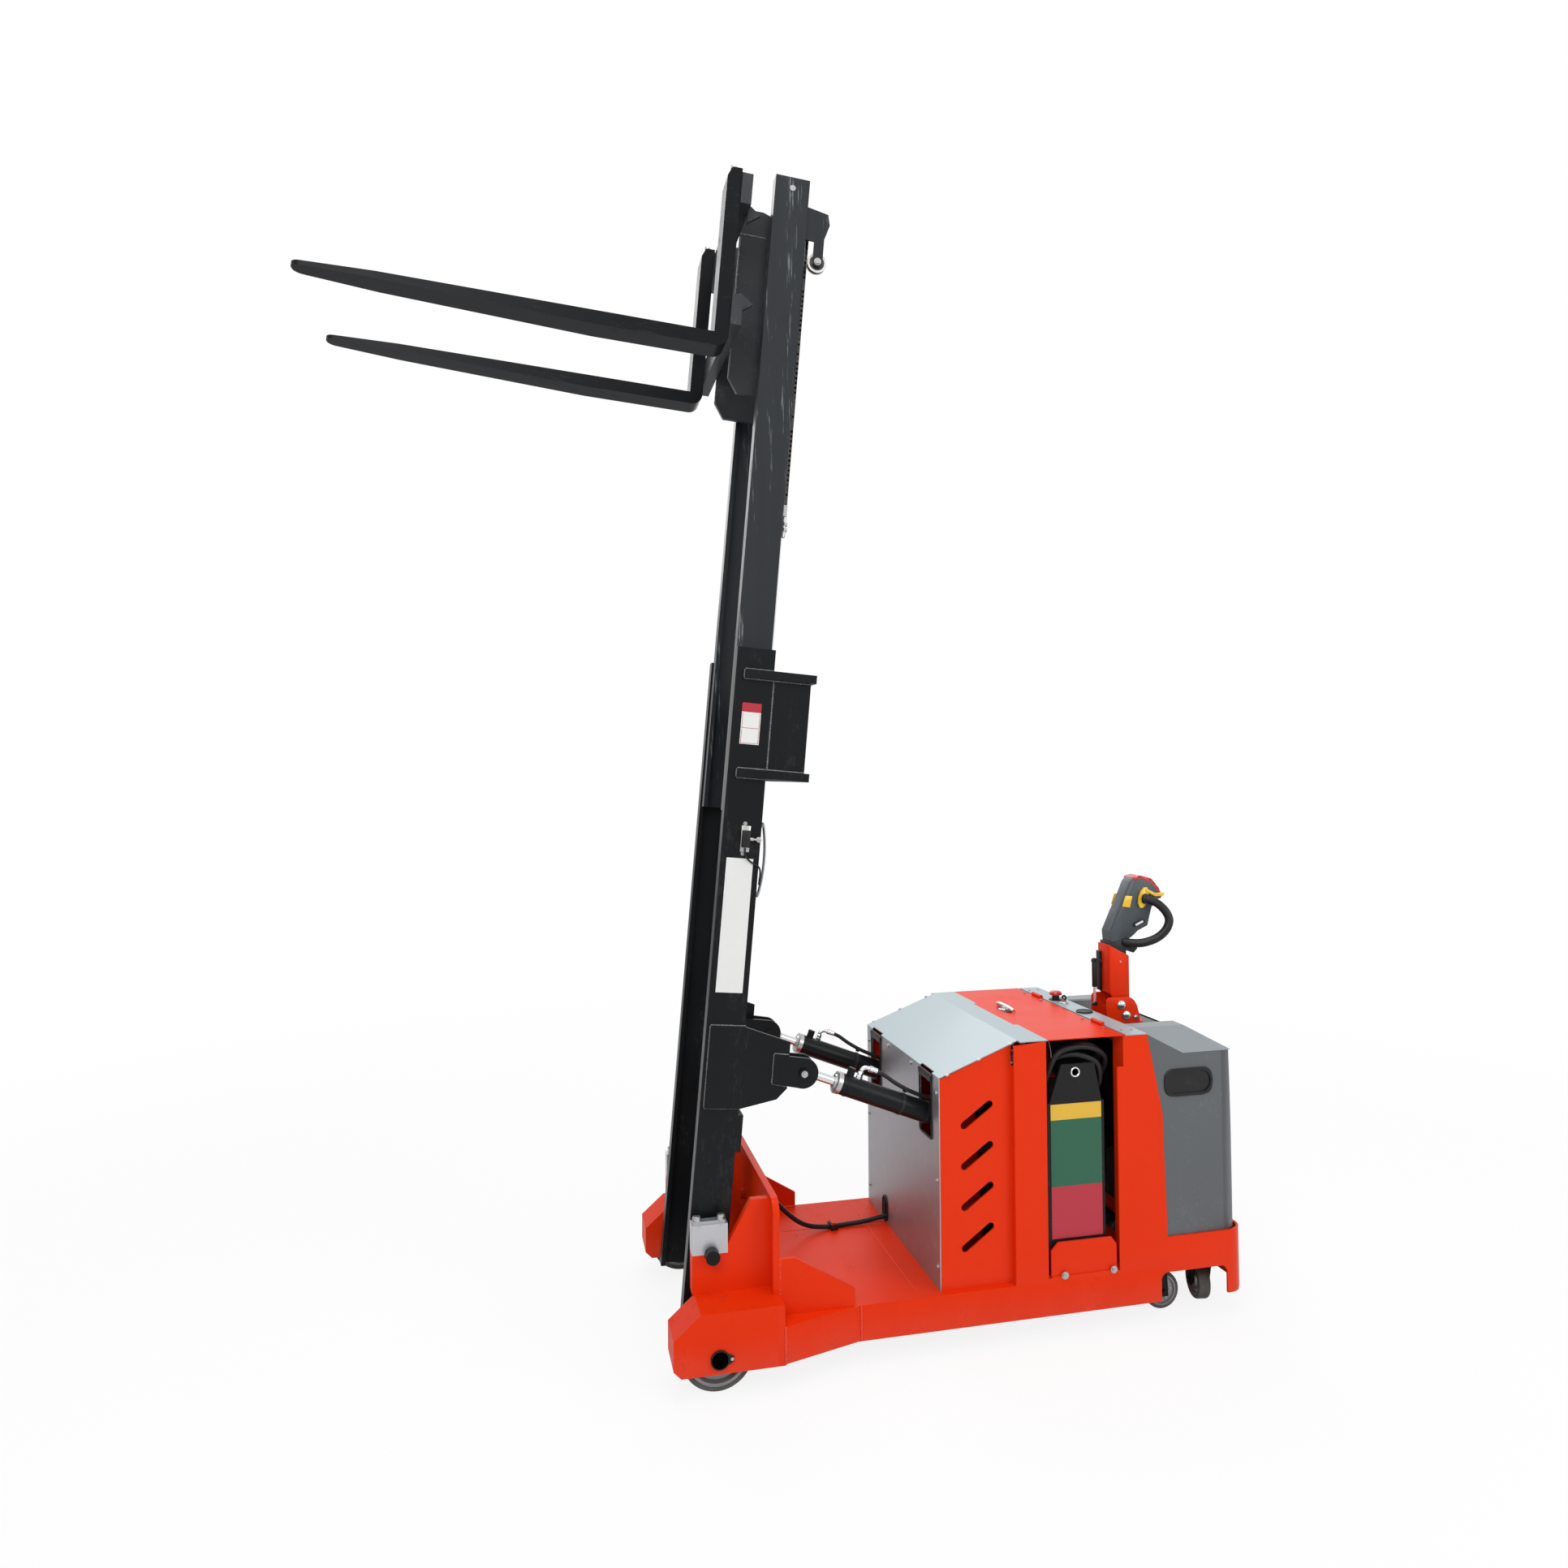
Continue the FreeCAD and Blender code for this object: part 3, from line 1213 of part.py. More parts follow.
def write_carriage():
    """Fork carriage: two bars, side plates inside the mast, gussets and rollers."""
    bar_rear = -S.fork_front + S.shank_thick + S.bar_thick
    bar_front = -S.fork_front + S.shank_thick + S.seam_gap
    high = blade_top + S.bar_high
    low = blade_top + S.bar_low
    bars = [
        box((bar_front, bar_rear), (-S.bar_half, S.bar_half), (high - S.bar_height, high)),
        box((bar_front, bar_rear), (-S.bar_half, S.bar_half), (low, low + S.bar_height))]
    side = S.carriage_half
    cheek = plate("XZ", (-side, -side + S.carriage_plate), (
        (bar_rear, blade_top - S.carriage_low + S.carriage_plate * 3),
        (bar_rear + S.carriage_plate * 2, blade_top - S.carriage_low),
        (S.carriage_rear, blade_top - S.carriage_low),
        (S.carriage_rear, blade_top + S.carriage_high * 0.93),
        (inner_front - S.carriage_plate, blade_top + S.carriage_high),
        (bar_rear, blade_top + S.carriage_high)))
    tie = box((inner_front, inner_front + S.carriage_plate), (-side, side),
              (blade_top + S.bar_low, blade_top + S.bar_low + S.bar_height))
    ribs = []
    for middle in (high - S.bar_height, low + S.bar_height):
        ribs.append(plate("XZ", (-S.fork_y, -S.fork_y + S.carriage_plate), (
            (bar_rear, middle - S.bar_low), (bar_rear + S.bar_thick * 1.2, middle),
            (bar_rear, middle + S.bar_low))))
    centre = (inner_front + inner_rear) / 2
    radius = (S.inner_depth - S.channel_lip * 2) / 2 - S.roller_gap
    inside = inner_side - S.channel_web - S.roller_gap
    rollers = []
    for height in (S.carriage_roller_low, S.carriage_roller_high):
        spot = (centre, blade_top + height)
        rollers.append(rod("Y", radius, (-inside, -inside + S.roller_width), spot))
        rollers.append(rod("Y", S.axle_radius, (-inside + S.roller_width, -side + S.carriage_plate),
            spot))
    half_side = fused(cheek, *ribs, *rollers)
    on_mast("carriage", fused(*bars, tie, half_side, mirrored(half_side)))


def write_forks():
    """Forks: a tapered blade with a narrowed tip and a shank hooked on the carriage bars."""
    front = -S.fork_front
    tip = front - S.fork_length
    heel = blade_top - S.fork_thick
    rear = front + S.shank_thick
    half = S.fork_width / 2
    profile = plate("XZ", (-S.fork_y - half, -S.fork_y + half), (
        (tip, blade_top - S.tip_thick), (front - S.fork_length * 0.3, heel), (rear, heel, S.heel_round),
        (rear, blade_top + S.shank_top), (front + S.shank_thick * 0.3, blade_top + S.shank_top,
        S.shank_round / 3),
        (front, blade_top + S.shank_top - S.shank_round, S.shank_round / 3), (front, blade_top),
        (tip, blade_top)))
    narrow = S.tip_width / 2
    plan = plate("XY", (heel - S.fork_thick, blade_top + S.shank_top + S.fork_thick), (
        (tip, -S.fork_y - narrow, narrow * 0.9), (tip + S.tip_length, -S.fork_y - half),
        (rear + half, -S.fork_y - half), (rear + half, -S.fork_y + half),
        (tip + S.tip_length, -S.fork_y + half), (tip, -S.fork_y + narrow, narrow * 0.9)))
    shaped = doc.addObject("Part::MultiCommon", "Shared")
    shaped.Shapes = [profile, plan]
    high = blade_top + S.bar_high
    hook = box((rear, rear + S.bar_thick + S.seam_gap * 2),
        (-S.fork_y - half * 0.6, -S.fork_y + half * 0.6),
               (high + S.seam_gap, blade_top + S.shank_top))
    fork = fused(shaped, hook)
    on_mast("fork_left", fork)
    on_mast("fork_right", mirrored(fork))


def write_tilt_cylinders():
    """Tilt cylinders: a barrel pinned in the pump bay and a rod pinned to the mast."""
    root_x = back(S.tilt_root_x)
    eye_x = pivot_x + S.eye_u * cosine(S.tilt) + S.eye_w * sine(S.tilt)
    eye_z = S.pivot_z + S.eye_w * cosine(S.tilt) - S.eye_u * sine(S.tilt)
    run = root_x - eye_x
    rise = eye_z - S.tilt_root_z
    reach = root(run * run + rise * rise)
    angle = slope_of(rise, run)
    half = S.tilt_eye_half
    pin = S.eye_pin_radius + S.fit_gap
    bore = S.tilt_rod_radius + S.roller_gap
    barrel = fused(
        rod("X", S.tilt_barrel_radius, (-S.tilt_barrel_length, -S.tilt_eye_radius * 1.2), (ZERO, ZERO)),
        rod("X", S.tilt_barrel_radius * 0.8, (-S.tilt_eye_radius * 1.4, ZERO), (ZERO, ZERO)),
        rod("Y", S.tilt_eye_radius, (-half, half), (ZERO, ZERO)))
    eye_span = (-S.tilt_eye_radius * 1.4, S.tilt_eye_radius)
    eye_height = (-S.tilt_eye_radius * 2, S.tilt_eye_radius * 2)
    trims = [box(eye_span, (half, half * 3), eye_height), box(eye_span, (-half * 3, -half), eye_height)]
    port = rod("Z", S.hose_radius * 1.5, (ZERO, S.tilt_barrel_radius + S.hose_radius * 3),
               (-S.tilt_barrel_length + S.tilt_barrel_end, ZERO))
    room = rod("X", bore, (-S.tilt_barrel_length - half, -S.tilt_eye_radius * 2), (ZERO, ZERO))
    tube = cut(fused(barrel, port), *trims, room, rod("Y", pin, (-half * 2, half * 2), (ZERO, ZERO)))
    rod_piece = fused(
        rod("X", S.tilt_rod_radius, (-reach, -S.tilt_eye_radius * 3 - S.tilt_barrel_end), (ZERO, ZERO)),
        rod("Y", S.tilt_eye_radius, (-half, half), (-reach, ZERO)))
    bush = S.eye_pin_radius + S.tilt_eye_play
    ram = cut(rod_piece, rod("Y", bush, (-half * 2, half * 2), (-reach, ZERO)))
    for name, side in (("left", -1), ("right", 1)):
        for part_name, shape in (("tilt_barrel_", tube), ("tilt_rod_", ram)):
            item = grouped(shape)
            item.Placement = Placement(Vector(), Rotation(Vector(0, 1, 0), angle.value))
            bind(item, "Placement.Rotation.Angle", angle)
            place(item, root_x, S.tilt_y * side, S.tilt_root_z)
            node(part_name + name, item)


def write_drive():
    """Steered drive unit: turning disc, motor, gearbox legs, column and drive wheel."""
    axis = (back(S.drive_x), ZERO)
    half = S.drive_wheel_width / 2
    leg = box((axis[0] - S.drive_half, axis[0] + S.drive_half),
              (-half - S.running_gap - S.drive_leg, -half - S.running_gap),
              (S.drive_wheel_radius - S.drive_leg, S.drive_top - S.bridge_plate))
    disc = rod("Z", S.drive_disc, (S.drive_top - S.bridge_plate, S.drive_top), axis)
    motor = rod("Z", S.motor_radius, (S.drive_top, S.motor_top), axis)
    column = rod("Z", S.column_radius, (S.motor_top, S.cheek_base - S.cheek_thick), axis)
    axle = rod("Y", S.axle_radius, (-half - S.running_gap * 2, half + S.running_gap * 2),
               (axis[0], S.drive_wheel_radius))
    node("drive_unit", fused(disc, motor, column, leg, mirrored(leg), axle))

    roller = grouped(wheel(
        S.drive_wheel_radius, S.drive_wheel_width, S.tread_thick, S.axle_radius + S.fit_gap,
        S.tread_thick))
    node("drive_wheel", place(roller, axis[0], ZERO, S.drive_wheel_radius))


def write_casters():
    """Two swivel casters at each rear corner; the rear one of each pair is turned across."""
    half = S.caster_width / 2
    top = S.deck_top - S.deck_plate - S.seam_gap
    cheek_near = -half - S.running_gap - S.side_thick
    tyre = wheel(S.caster_radius, S.caster_width, S.tread_thick / 2,
        S.eye_pin_radius / 2 + S.fit_gap, S.side_thick)
    plate_low = top - S.caster_plate
    arm = plate("XZ", (cheek_near, cheek_near + S.side_thick), (
        (-S.caster_radius * 0.4, plate_low), (S.caster_trail - S.eye_pin_radius,
        S.caster_radius - S.eye_pin_radius),
        (S.caster_trail + S.eye_pin_radius, S.caster_radius - S.eye_pin_radius),
        (S.caster_radius * 0.6, plate_low)))
    head = rod("Z", S.caster_radius * 0.62, (plate_low, top), (ZERO, ZERO))
    neck = box((-S.caster_radius * 0.4, S.caster_radius * 0.6), (cheek_near, -cheek_near),
               (plate_low - S.caster_plate / 2, plate_low))
    pin = rod("Y", S.eye_pin_radius / 2, (cheek_near - S.side_thick, -cheek_near + S.side_thick),
              (S.caster_trail, S.caster_radius))
    yoke = fused(arm, mirrored(arm), head, neck, pin)
    # Columns: name, place behind the bulkhead, turn of the yoke at rest.
    places = (("front", S.caster_front_x, ZERO), ("rear", S.caster_rear_x, S.caster_turn))
    for pair, distance, turn in places:
        for name, side in (("left", -1), ("right", 1)):
            fork = grouped(yoke)
            fork.Placement = Placement(Vector(), Rotation(Vector(0, 0, -side), turn.value))
            bind(fork, "Placement.Rotation.Angle", turn)
            place(fork, back(distance), S.caster_y * side, ZERO)
            node("caster_fork_%s_%s" % (pair, name), fork)

            tyre_here = place(grouped(tyre), S.caster_trail, ZERO, S.caster_radius)
            swung = grouped(tyre_here)
            swung.Placement = Placement(Vector(), Rotation(Vector(0, 0, -side), turn.value))
            bind(swung, "Placement.Rotation.Angle", turn)
            place(swung, back(distance), S.caster_y * side, ZERO)
            node("caster_wheel_%s_%s" % (pair, name), swung)


def write_tiller():
    """Tiller: clevis on the column, box arm, control head, two handle loops and gas spring."""
    axis = back(S.drive_x)
    outer = -S.clevis_half
    pin_x = axis - S.tiller_pin_x
    round_corner = S.cheek_thick * 3
    cheek = plate("XZ", (outer, outer + S.cheek_thick), (
        (axis - S.cheek_front, S.cheek_base - S.cheek_thick),
        (axis + S.cheek_rear, S.cheek_base - S.cheek_thick),
        (axis + S.cheek_rear, S.cheek_top - round_corner * 0.8, round_corner / 2),
        (axis + S.cheek_rear - round_corner, S.cheek_top, round_corner / 2),
        (axis - S.cheek_front, S.cheek_top, round_corner)))
    base = box((axis - S.cheek_front, axis + S.cheek_rear), (outer, -outer),
               (S.cheek_base - S.cheek_thick, S.cheek_base - S.cheek_thick / 2))
    pin_span = (outer - S.cheek_thick, -outer + S.cheek_thick)
    pin = rod("Y", S.tiller_pin_radius, pin_span, (pin_x, S.cheek_base + S.tiller_pin_radius))
    stop = rod("Y", S.tiller_pin_radius * 0.8, pin_span,
        (axis + S.stop_pin_x, S.cheek_base + S.tiller_pin_radius / 2))
    node("tiller_clevis", fused(cheek, mirrored(cheek), base, pin, stop))

    pin_z = S.cheek_base + S.tiller_pin_radius
    half = S.arm_half
    sides = plate("XZ", (-half, half), (
        (axis - S.arm_front, S.arm_low), (axis - S.arm_front * 0.3, S.arm_low),
        (axis + S.arm_rear, S.arm_low + S.arm_slope * 1.2),
        (axis + S.arm_rear, S.arm_high - S.arm_slope),
        (axis - S.arm_front, S.arm_high)))
    wall = S.arm_wall
    ear = plate("XZ", (-half, -half + wall), (
        (pin_x - S.tiller_pin_radius * 1.3, pin_z), (pin_x + S.tiller_pin_radius * 1.3, pin_z),
        (pin_x + S.tiller_pin_radius * 2, S.arm_low), (pin_x - S.tiller_pin_radius * 2, S.arm_low)))
    knuckle = rod("Y", S.tiller_pin_radius * 1.3, (-half, -half + wall), (pin_x, pin_z))
    bore = rod("Y", S.tiller_pin_radius + S.fit_gap, (-half * 2, half * 2), (pin_x, pin_z))
    room = box((axis - S.arm_front + wall, axis + S.arm_rear - wall), (-half + wall, half - wall),
               (S.arm_low - wall, S.arm_high))
    shell = cut(sides, room)
    node("tiller_arm", cut(fused(shell, ear, mirrored(ear), knuckle, mirrored(knuckle)), bore))

    wide = S.head_half
    top = S.head_top
    low = S.arm_high - S.arm_slope
    inset = wall + S.fit_gap
    outline = (
        (axis - S.arm_front + inset, low - wall), (axis + S.arm_rear - inset, low - wall * 4),
        (axis + S.arm_rear - inset, low + wall), (axis + S.arm_rear + wide * 0.5, low + wide * 1.5),
        (axis + S.arm_rear + wide * 2, top - wide * 2.6),
        (axis + S.arm_rear + wide * 2.4, top - wide * 0.6, wide * 0.4),
        (axis + S.arm_rear + wide * 1.4, top, wide * 0.4), (axis + wide * 0.2, top - wide * 0.8),
        (axis - S.arm_front + inset, low + wide * 1.5))
    head = plate("XZ", (-half + inset, half - inset), outline)
    node("tiller_head", head)

    loops = []
    out = S.loop_reach
    face = half - inset - S.fit_gap * 6
    for side in (-1, 1):
        points = [
            Vector(*(number.value for number in row)) for row in (
                (axis + wide * 1.9, side * face, top - wide * 1.5),
                (axis + wide * 1.9, side * (face + wide * 1.1), top - wide * 1.5),
                (axis + wide * 3.0, side * wide * 2.6, top - wide * 1.5),
                (axis + wide * 1.4 + out, side * wide * 3.1, top - wide * 2.6),
                (axis + wide * 1.6 + out, side * wide * 3.3, top - wide * 4.6),
                (axis + wide * 2.6, side * wide * 2.7, top - wide * 6.4),
                (axis + wide * 0.9, side * (face + wide * 1.2), top - wide * 6.6),
                (axis + wide * 0.6, side * face, top - wide * 6.6))]
        handle = doc.addObject("Part::Feature", "Loop")
        handle.Shape = bent_tube(points, S.loop_radius.value)
        loops.append(handle)
    node("tiller_handles", cut(grouped(*loops), head))

    spring_x = axis - S.arm_front - S.spring_radius * 2.4
    tube = rod("Z", S.spring_radius, (S.arm_low, S.arm_high - S.arm_slope * 2), (spring_x, ZERO))
    stem = rod("Z", S.spring_rod_radius, (S.cheek_base, S.arm_low + S.spring_radius), (spring_x, ZERO))
    link = box((spring_x - S.spring_radius, axis - S.arm_front),
        (-S.spring_radius * 1.5, S.spring_radius * 1.5),
               (S.arm_high - S.arm_slope * 2, S.arm_high - S.arm_slope * 1.6))
    node("gas_spring", fused(tube, stem, link))


def bent_tube(points, radius):
    """A round tube along straight runs joined by tangent arcs."""
    corners = []
    for before, here, after in zip(points, points[1:], points[2:]):
        coming = (here - before).normalize()
        going = (after - here).normalize()
        turn = coming.getAngle(going)
        trim = 0.45 * min((here - before).Length, (after - here).Length)
        bend = trim / math.tan(turn / 2)
        inward = (going - coming).normalize()
        centre = here + inward * (bend / math.cos(turn / 2))
        corners.append((here - coming * trim, centre - inward * bend, here + going * trim, bend))
    edges = []
    start = points[0]
    for first, middle, last, bend in corners:
        edges.append(Part.LineSegment(start, first).toShape())
        edges.append(Part.Arc(first, middle, last).toShape())
        start = last
    edges.append(Part.LineSegment(start, points[-1]).toShape())
    spine = Part.Wire(edges)
    ring = Part.Wire([Part.makeCircle(radius, points[0], points[1] - points[0])])
    tube = spine.makePipeShell([ring], True, False)
    area = math.pi * radius * radius
    print("tube", round(tube.Volume / (area * spine.Length), 4), "radii",
        [round(row[3]) for row in corners])
    return tube


def write_hose():
    """Hydraulic hose from the union in the bulkhead over the deck, under its clamp."""
    rest = S.deck_top + S.hose_radius + S.seam_gap
    # Columns: place behind the bulkhead, place across, height.
    rows = (
        (S.seam_gap, S.union_y, S.union_z),
        (62, S.union_y, S.union_z),
        (104, S.union_y + 18, S.union_z - 38),
        (150, S.union_y + 42, S.union_z - 92),
        (200, S.union_y + 70, S.union_z - 140),
        (246, 144, rest + 14),
        (S.clamp_x - 20, S.clamp_y - 2, rest),
        (S.clamp_x + 48, S.clamp_y + 6, rest),
        (S.clamp_x + 118, S.clamp_y + 8, rest + 2),
        (S.body_front - 16, S.cable_slot_y, rest + S.hose_radius * 1.6),
        (S.body_front + 40, S.cable_slot_y + 2, rest + S.hose_radius * 1.8))
    points = [
        Vector(back(as_size(x)).value, as_size(y).value, as_size(z).value) for x, y, z in rows]
    hose = doc.addObject("Part::Feature", "Hose")
    hose.Shape = bent_tube(points, S.hose_radius.value)
    node("deck_hose", hose)


def write_parts():
    """Recompute, check every object and every sub-part, then write the solids."""
    doc.recompute()
    failed = [item for item in doc.Objects if "Invalid" in item.State or "Error" in item.State]
    if failed:
        raise ValueError("failed: " + ", ".join("%s in %s" % (item.Name,
            item.InList[0].Name) for item in failed))
    os.makedirs("parts", exist_ok=True)
    for name, item in pieces.items():
        shape = item.Shape
        if shape.isNull() or not shape.isValid() or not shape.Solids:
            print(name, shape.isNull(), shape.isValid(), len(shape.Solids))
            raise ValueError("%s has no valid solid" % name)
        shape.exportStep("parts/%s.step" % name)


for write in (
        write_frame, write_bulkhead, write_legs, write_front_wheels, write_pedestals,
        write_side_frames, write_side_panels, write_front_panel, write_hood, write_lid,
        write_console, write_skirt, write_cover, write_counterweight, write_battery,
        write_pump_bay, write_hose, write_outer_mast, write_tilt_brackets, write_upper_bracket,
        write_lift_cylinders, write_limit_switch, write_inner_mast, write_lift_rods, write_chains,
        write_carriage, write_forks, write_tilt_cylinders, write_drive, write_casters, write_tiller):
    write()
write_parts()
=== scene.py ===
"""A walk-behind counterbalanced pallet stacker: finishes, fittings and stage around its solid model."""

import math

import bmesh
import bpy
from bpy.props import FloatProperty, FloatVectorProperty, IntProperty, PointerProperty
from bpy.types import Operator, Panel, PropertyGroup
from mathutils import Matrix, Vector


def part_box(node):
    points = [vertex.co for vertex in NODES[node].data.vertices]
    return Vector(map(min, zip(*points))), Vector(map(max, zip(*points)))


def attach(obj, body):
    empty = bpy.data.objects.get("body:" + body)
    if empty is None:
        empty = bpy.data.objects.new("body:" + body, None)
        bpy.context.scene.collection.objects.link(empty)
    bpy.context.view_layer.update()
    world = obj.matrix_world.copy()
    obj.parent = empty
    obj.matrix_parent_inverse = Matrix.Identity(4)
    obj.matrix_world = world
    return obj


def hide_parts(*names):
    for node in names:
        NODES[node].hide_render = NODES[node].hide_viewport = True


bl_info = {
    "name": "Counterbalanced Pallet Stacker",
    "version": (1, 0, 0),
    "blender": (4, 5, 0),
    "location": "3D View > Sidebar > Stacker",
    "description": "Builds the finishes and fittings of a walk-behind counterbalanced pallet stacker",
    "category": "Object",
}

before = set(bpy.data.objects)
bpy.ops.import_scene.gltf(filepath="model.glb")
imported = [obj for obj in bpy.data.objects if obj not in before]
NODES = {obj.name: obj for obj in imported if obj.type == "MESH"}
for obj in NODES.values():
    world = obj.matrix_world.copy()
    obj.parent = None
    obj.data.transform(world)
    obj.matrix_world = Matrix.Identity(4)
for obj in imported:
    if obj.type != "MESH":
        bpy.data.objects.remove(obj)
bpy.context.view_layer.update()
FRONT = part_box("console_panel")[1].x - 1.228
TILT = math.radians(5.0)
PIVOT = Vector((FRONT - 0.172, 0.0, 0.346))
MAST_TURN = Matrix.Rotation(TILT, 4, "Y")
ACROSS = Vector((0.0, 1.0, 0.0))
UPRIGHT = Vector((0.0, 0.0, 1.0))

# Travel of each lift, the rest height of the blades and the top of the inner mast, along the mast.
LIFT = 1.517
BLADE_LEVEL = -0.275 - 0.007 + 2 * LIFT
HEAD_TOP = 3.335
# Behind the bulkhead, the column that the tiller turns on.
COLUMN_BACK = 1.380
# Where the lift chains and the tilt cylinders stand across the machine.
CHAIN_SIDE = 0.166
TILT_SIDE = 0.262
# The outer face of the mast's channel, just clear of it, and of the plates welded on it.
CHANNEL_FACE = 0.2801
BRACKET_FACE = 0.2815
CLEVIS_FACE = 0.2930


def at(back, across, height):
    """A place behind the bulkhead's front face, across the machine and above the floor."""
    return Vector((FRONT + back, across, height))


def on_mast(rear, across, up):
    """A place on the leaning mast: behind its pivot line, across and up along the channels."""
    return PIVOT + Vector((
        rear * math.cos(TILT) + up * math.sin(TILT), across,
        up * math.cos(TILT) - rear * math.sin(TILT)))


def tilt_root(side):
    """The hidden pin on which a tilt cylinder swings."""
    return at(0.640, side * TILT_SIDE, 0.637)


def tilt_eye(side):
    """The pin on the mast that a tilt cylinder's rod pulls."""
    return on_mast(0.247, side * TILT_SIDE, 0.519)


# Sizes and colours that a user would change.

def size(label, text, value, low=0.0005, high=0.2):
    """A length in metres that the panel shows."""
    return FloatProperty(
        name=label, description=text, default=value, min=low, max=high, unit="LENGTH", precision=4)


def tint(label, text, value):
    """A colour that the panel shows."""
    return FloatVectorProperty(
        name=label, description=text, default=value, min=0.0, max=1.0, size=3, subtype="COLOR")


class StackerFinish(PropertyGroup):
    """Colours of the machine's paints, metals and plastics."""
    body: tint("Body paint", "Gloss paint of the chassis, lid and tiller", (0.72, 0.030, 0.002))
    hood: tint("Hood paint", "Pale silver paint of the sloping hood", (0.31, 0.39, 0.42))
    cover: tint("Cover paint", "Grey paint of the rear cover", (0.098, 0.108, 0.114))
    mast: tint("Mast paint", "Black paint of the mast and forks", (0.0055, 0.0062, 0.0072))
    zinc: tint("Zinc sheet", "Galvanised sheet of the front panel", (0.36, 0.37, 0.39))
    head: tint("Tiller head", "Moulded plastic of the tiller head", (0.050, 0.062, 0.072))
    wear: FloatProperty(
        name="Wear", description="How much of the paint is scuffed", default=0.35, min=0.0, max=1.0)


class StackerFittings(PropertyGroup):
    """Sizes of the small fittings."""
    bolt: size("Bolt head", "Radius of a panel bolt's head", 0.0085)
    weld: size("Weld bead", "Radius of a weld bead", 0.0035)
    cable: size("Battery cable", "Radius of a battery cable", 0.0085)
    link: size("Chain link", "Pitch of the lifting chain", 0.0159)
    leaves: IntProperty(name="Chain plates", description="Plates across the lifting chain", default=4, min=2)
    plate: size("Label plate", "Thickness of a bare plate", 0.0008)


class StackerStage(PropertyGroup):
    """Floor, lamps and camera."""
    floor: tint("Floor", "Pale floor colour", (0.86, 0.86, 0.86))
    lamp: FloatProperty(name="Lamp", description="Power of the key lamp in watts", default=200.0, min=0.0)
    lens: FloatProperty(name="Lens", description="Camera lens in millimetres", default=25.469, min=1.0)


# Materials.

def new_group(name, inputs, outputs):
    """An empty shader group with named sockets; inputs are (name, kind, default)."""
    group = bpy.data.node_groups.new(name, "ShaderNodeTree")
    for label, kind, default in inputs:
        socket = group.interface.new_socket(name=label, in_out="INPUT", socket_type=kind)
        socket.default_value = default
    for label, kind in outputs:
        group.interface.new_socket(name=label, in_out="OUTPUT", socket_type=kind)
    source = group.nodes.new("NodeGroupInput")
    sink = group.nodes.new("NodeGroupOutput")
    return group, source, sink


def wire(tree, start, end):
    """Links two sockets."""
    tree.links.new(start, end)


def adder(tree):
    """A short way to add a node with its settings and links to a tree."""
    def add(kind, links=(), **settings):
        item = tree.nodes.new(kind)
        for key, value in settings.items():
            if key.startswith("in_"):
                name = key[3:]
                target = item.inputs[int(name)] if name.isdigit() else item.inputs[name.replace("_", " ")]
                target.default_value = value
            else:
                setattr(item, key, value)
        for socket, key in links:
            tree.links.new(socket, item.inputs[key])
        return item
    return add


def ramp_between(add, socket, low, high):
    """A smooth mask that goes from 0 at low to 1 at high."""
    step = add("ShaderNodeMapRange", [(socket, 0)], interpolation_type="SMOOTHSTEP")
    step.inputs[1].default_value = low
    step.inputs[2].default_value = high
    return step.outputs[0]


def make_wear_group():
    """Scuffs, dust and small rubbed marks over a painted or moulded surface."""
    group, source, sink = new_group(
        "Scuffs and Dust",
        [("Scale", "NodeSocketFloat", 6.0), ("Amount", "NodeSocketFloat", 0.3),
         ("Stretch", "NodeSocketVector", (1.0, 1.0, 1.0)), ("Dust Height", "NodeSocketFloat", 0.25)],
        [("Scuff", "NodeSocketFloat"), ("Dust", "NodeSocketFloat"), ("Variation", "NodeSocketFloat")])
    add = adder(group)
    place = add("ShaderNodeTexCoord")
    spread = add("ShaderNodeVectorMath", [(place.outputs["Object"], 0), (source.outputs["Stretch"], 1)],
                 operation="MULTIPLY")
    broad = add("ShaderNodeTexNoise", [(spread.outputs[0], "Vector"), (source.outputs["Scale"], "Scale")],
                in_Detail=5.0, in_Roughness=0.62)
    finer = add("ShaderNodeMath", [(source.outputs["Scale"], 0)], operation="MULTIPLY", in_1=14.0)
    fine = add("ShaderNodeTexNoise", [(spread.outputs[0], "Vector"), (finer.outputs[0], "Scale")],
               in_Detail=3.0, in_Roughness=0.7)
    both_noises = add("ShaderNodeMath", [(broad.outputs[0], 0), (fine.outputs[0], 1)], operation="MULTIPLY")
    mark = ramp_between(add, both_noises.outputs[0], 0.31, 0.40)
    scuff = add("ShaderNodeMath", [(mark, 0), (source.outputs["Amount"], 1)], operation="MULTIPLY",
                use_clamp=True)
    wire(group, scuff.outputs[0], sink.inputs["Scuff"])
    height = add("ShaderNodeSeparateXYZ", [(place.outputs["Object"], 0)])
    low = add("ShaderNodeMath", [(height.outputs[2], 0), (source.outputs["Dust Height"], 1)],
              operation="DIVIDE")
    fall = add("ShaderNodeMath", [(low.outputs[0], 1)], operation="SUBTRACT", use_clamp=True, in_0=1.0)
    dust = add("ShaderNodeMath", [(fall.outputs[0], 0), (broad.outputs[0], 1)], operation="MULTIPLY")
    wire(group, dust.outputs[0], sink.inputs["Dust"])
    wire(group, broad.outputs[0], sink.inputs["Variation"])
    return group


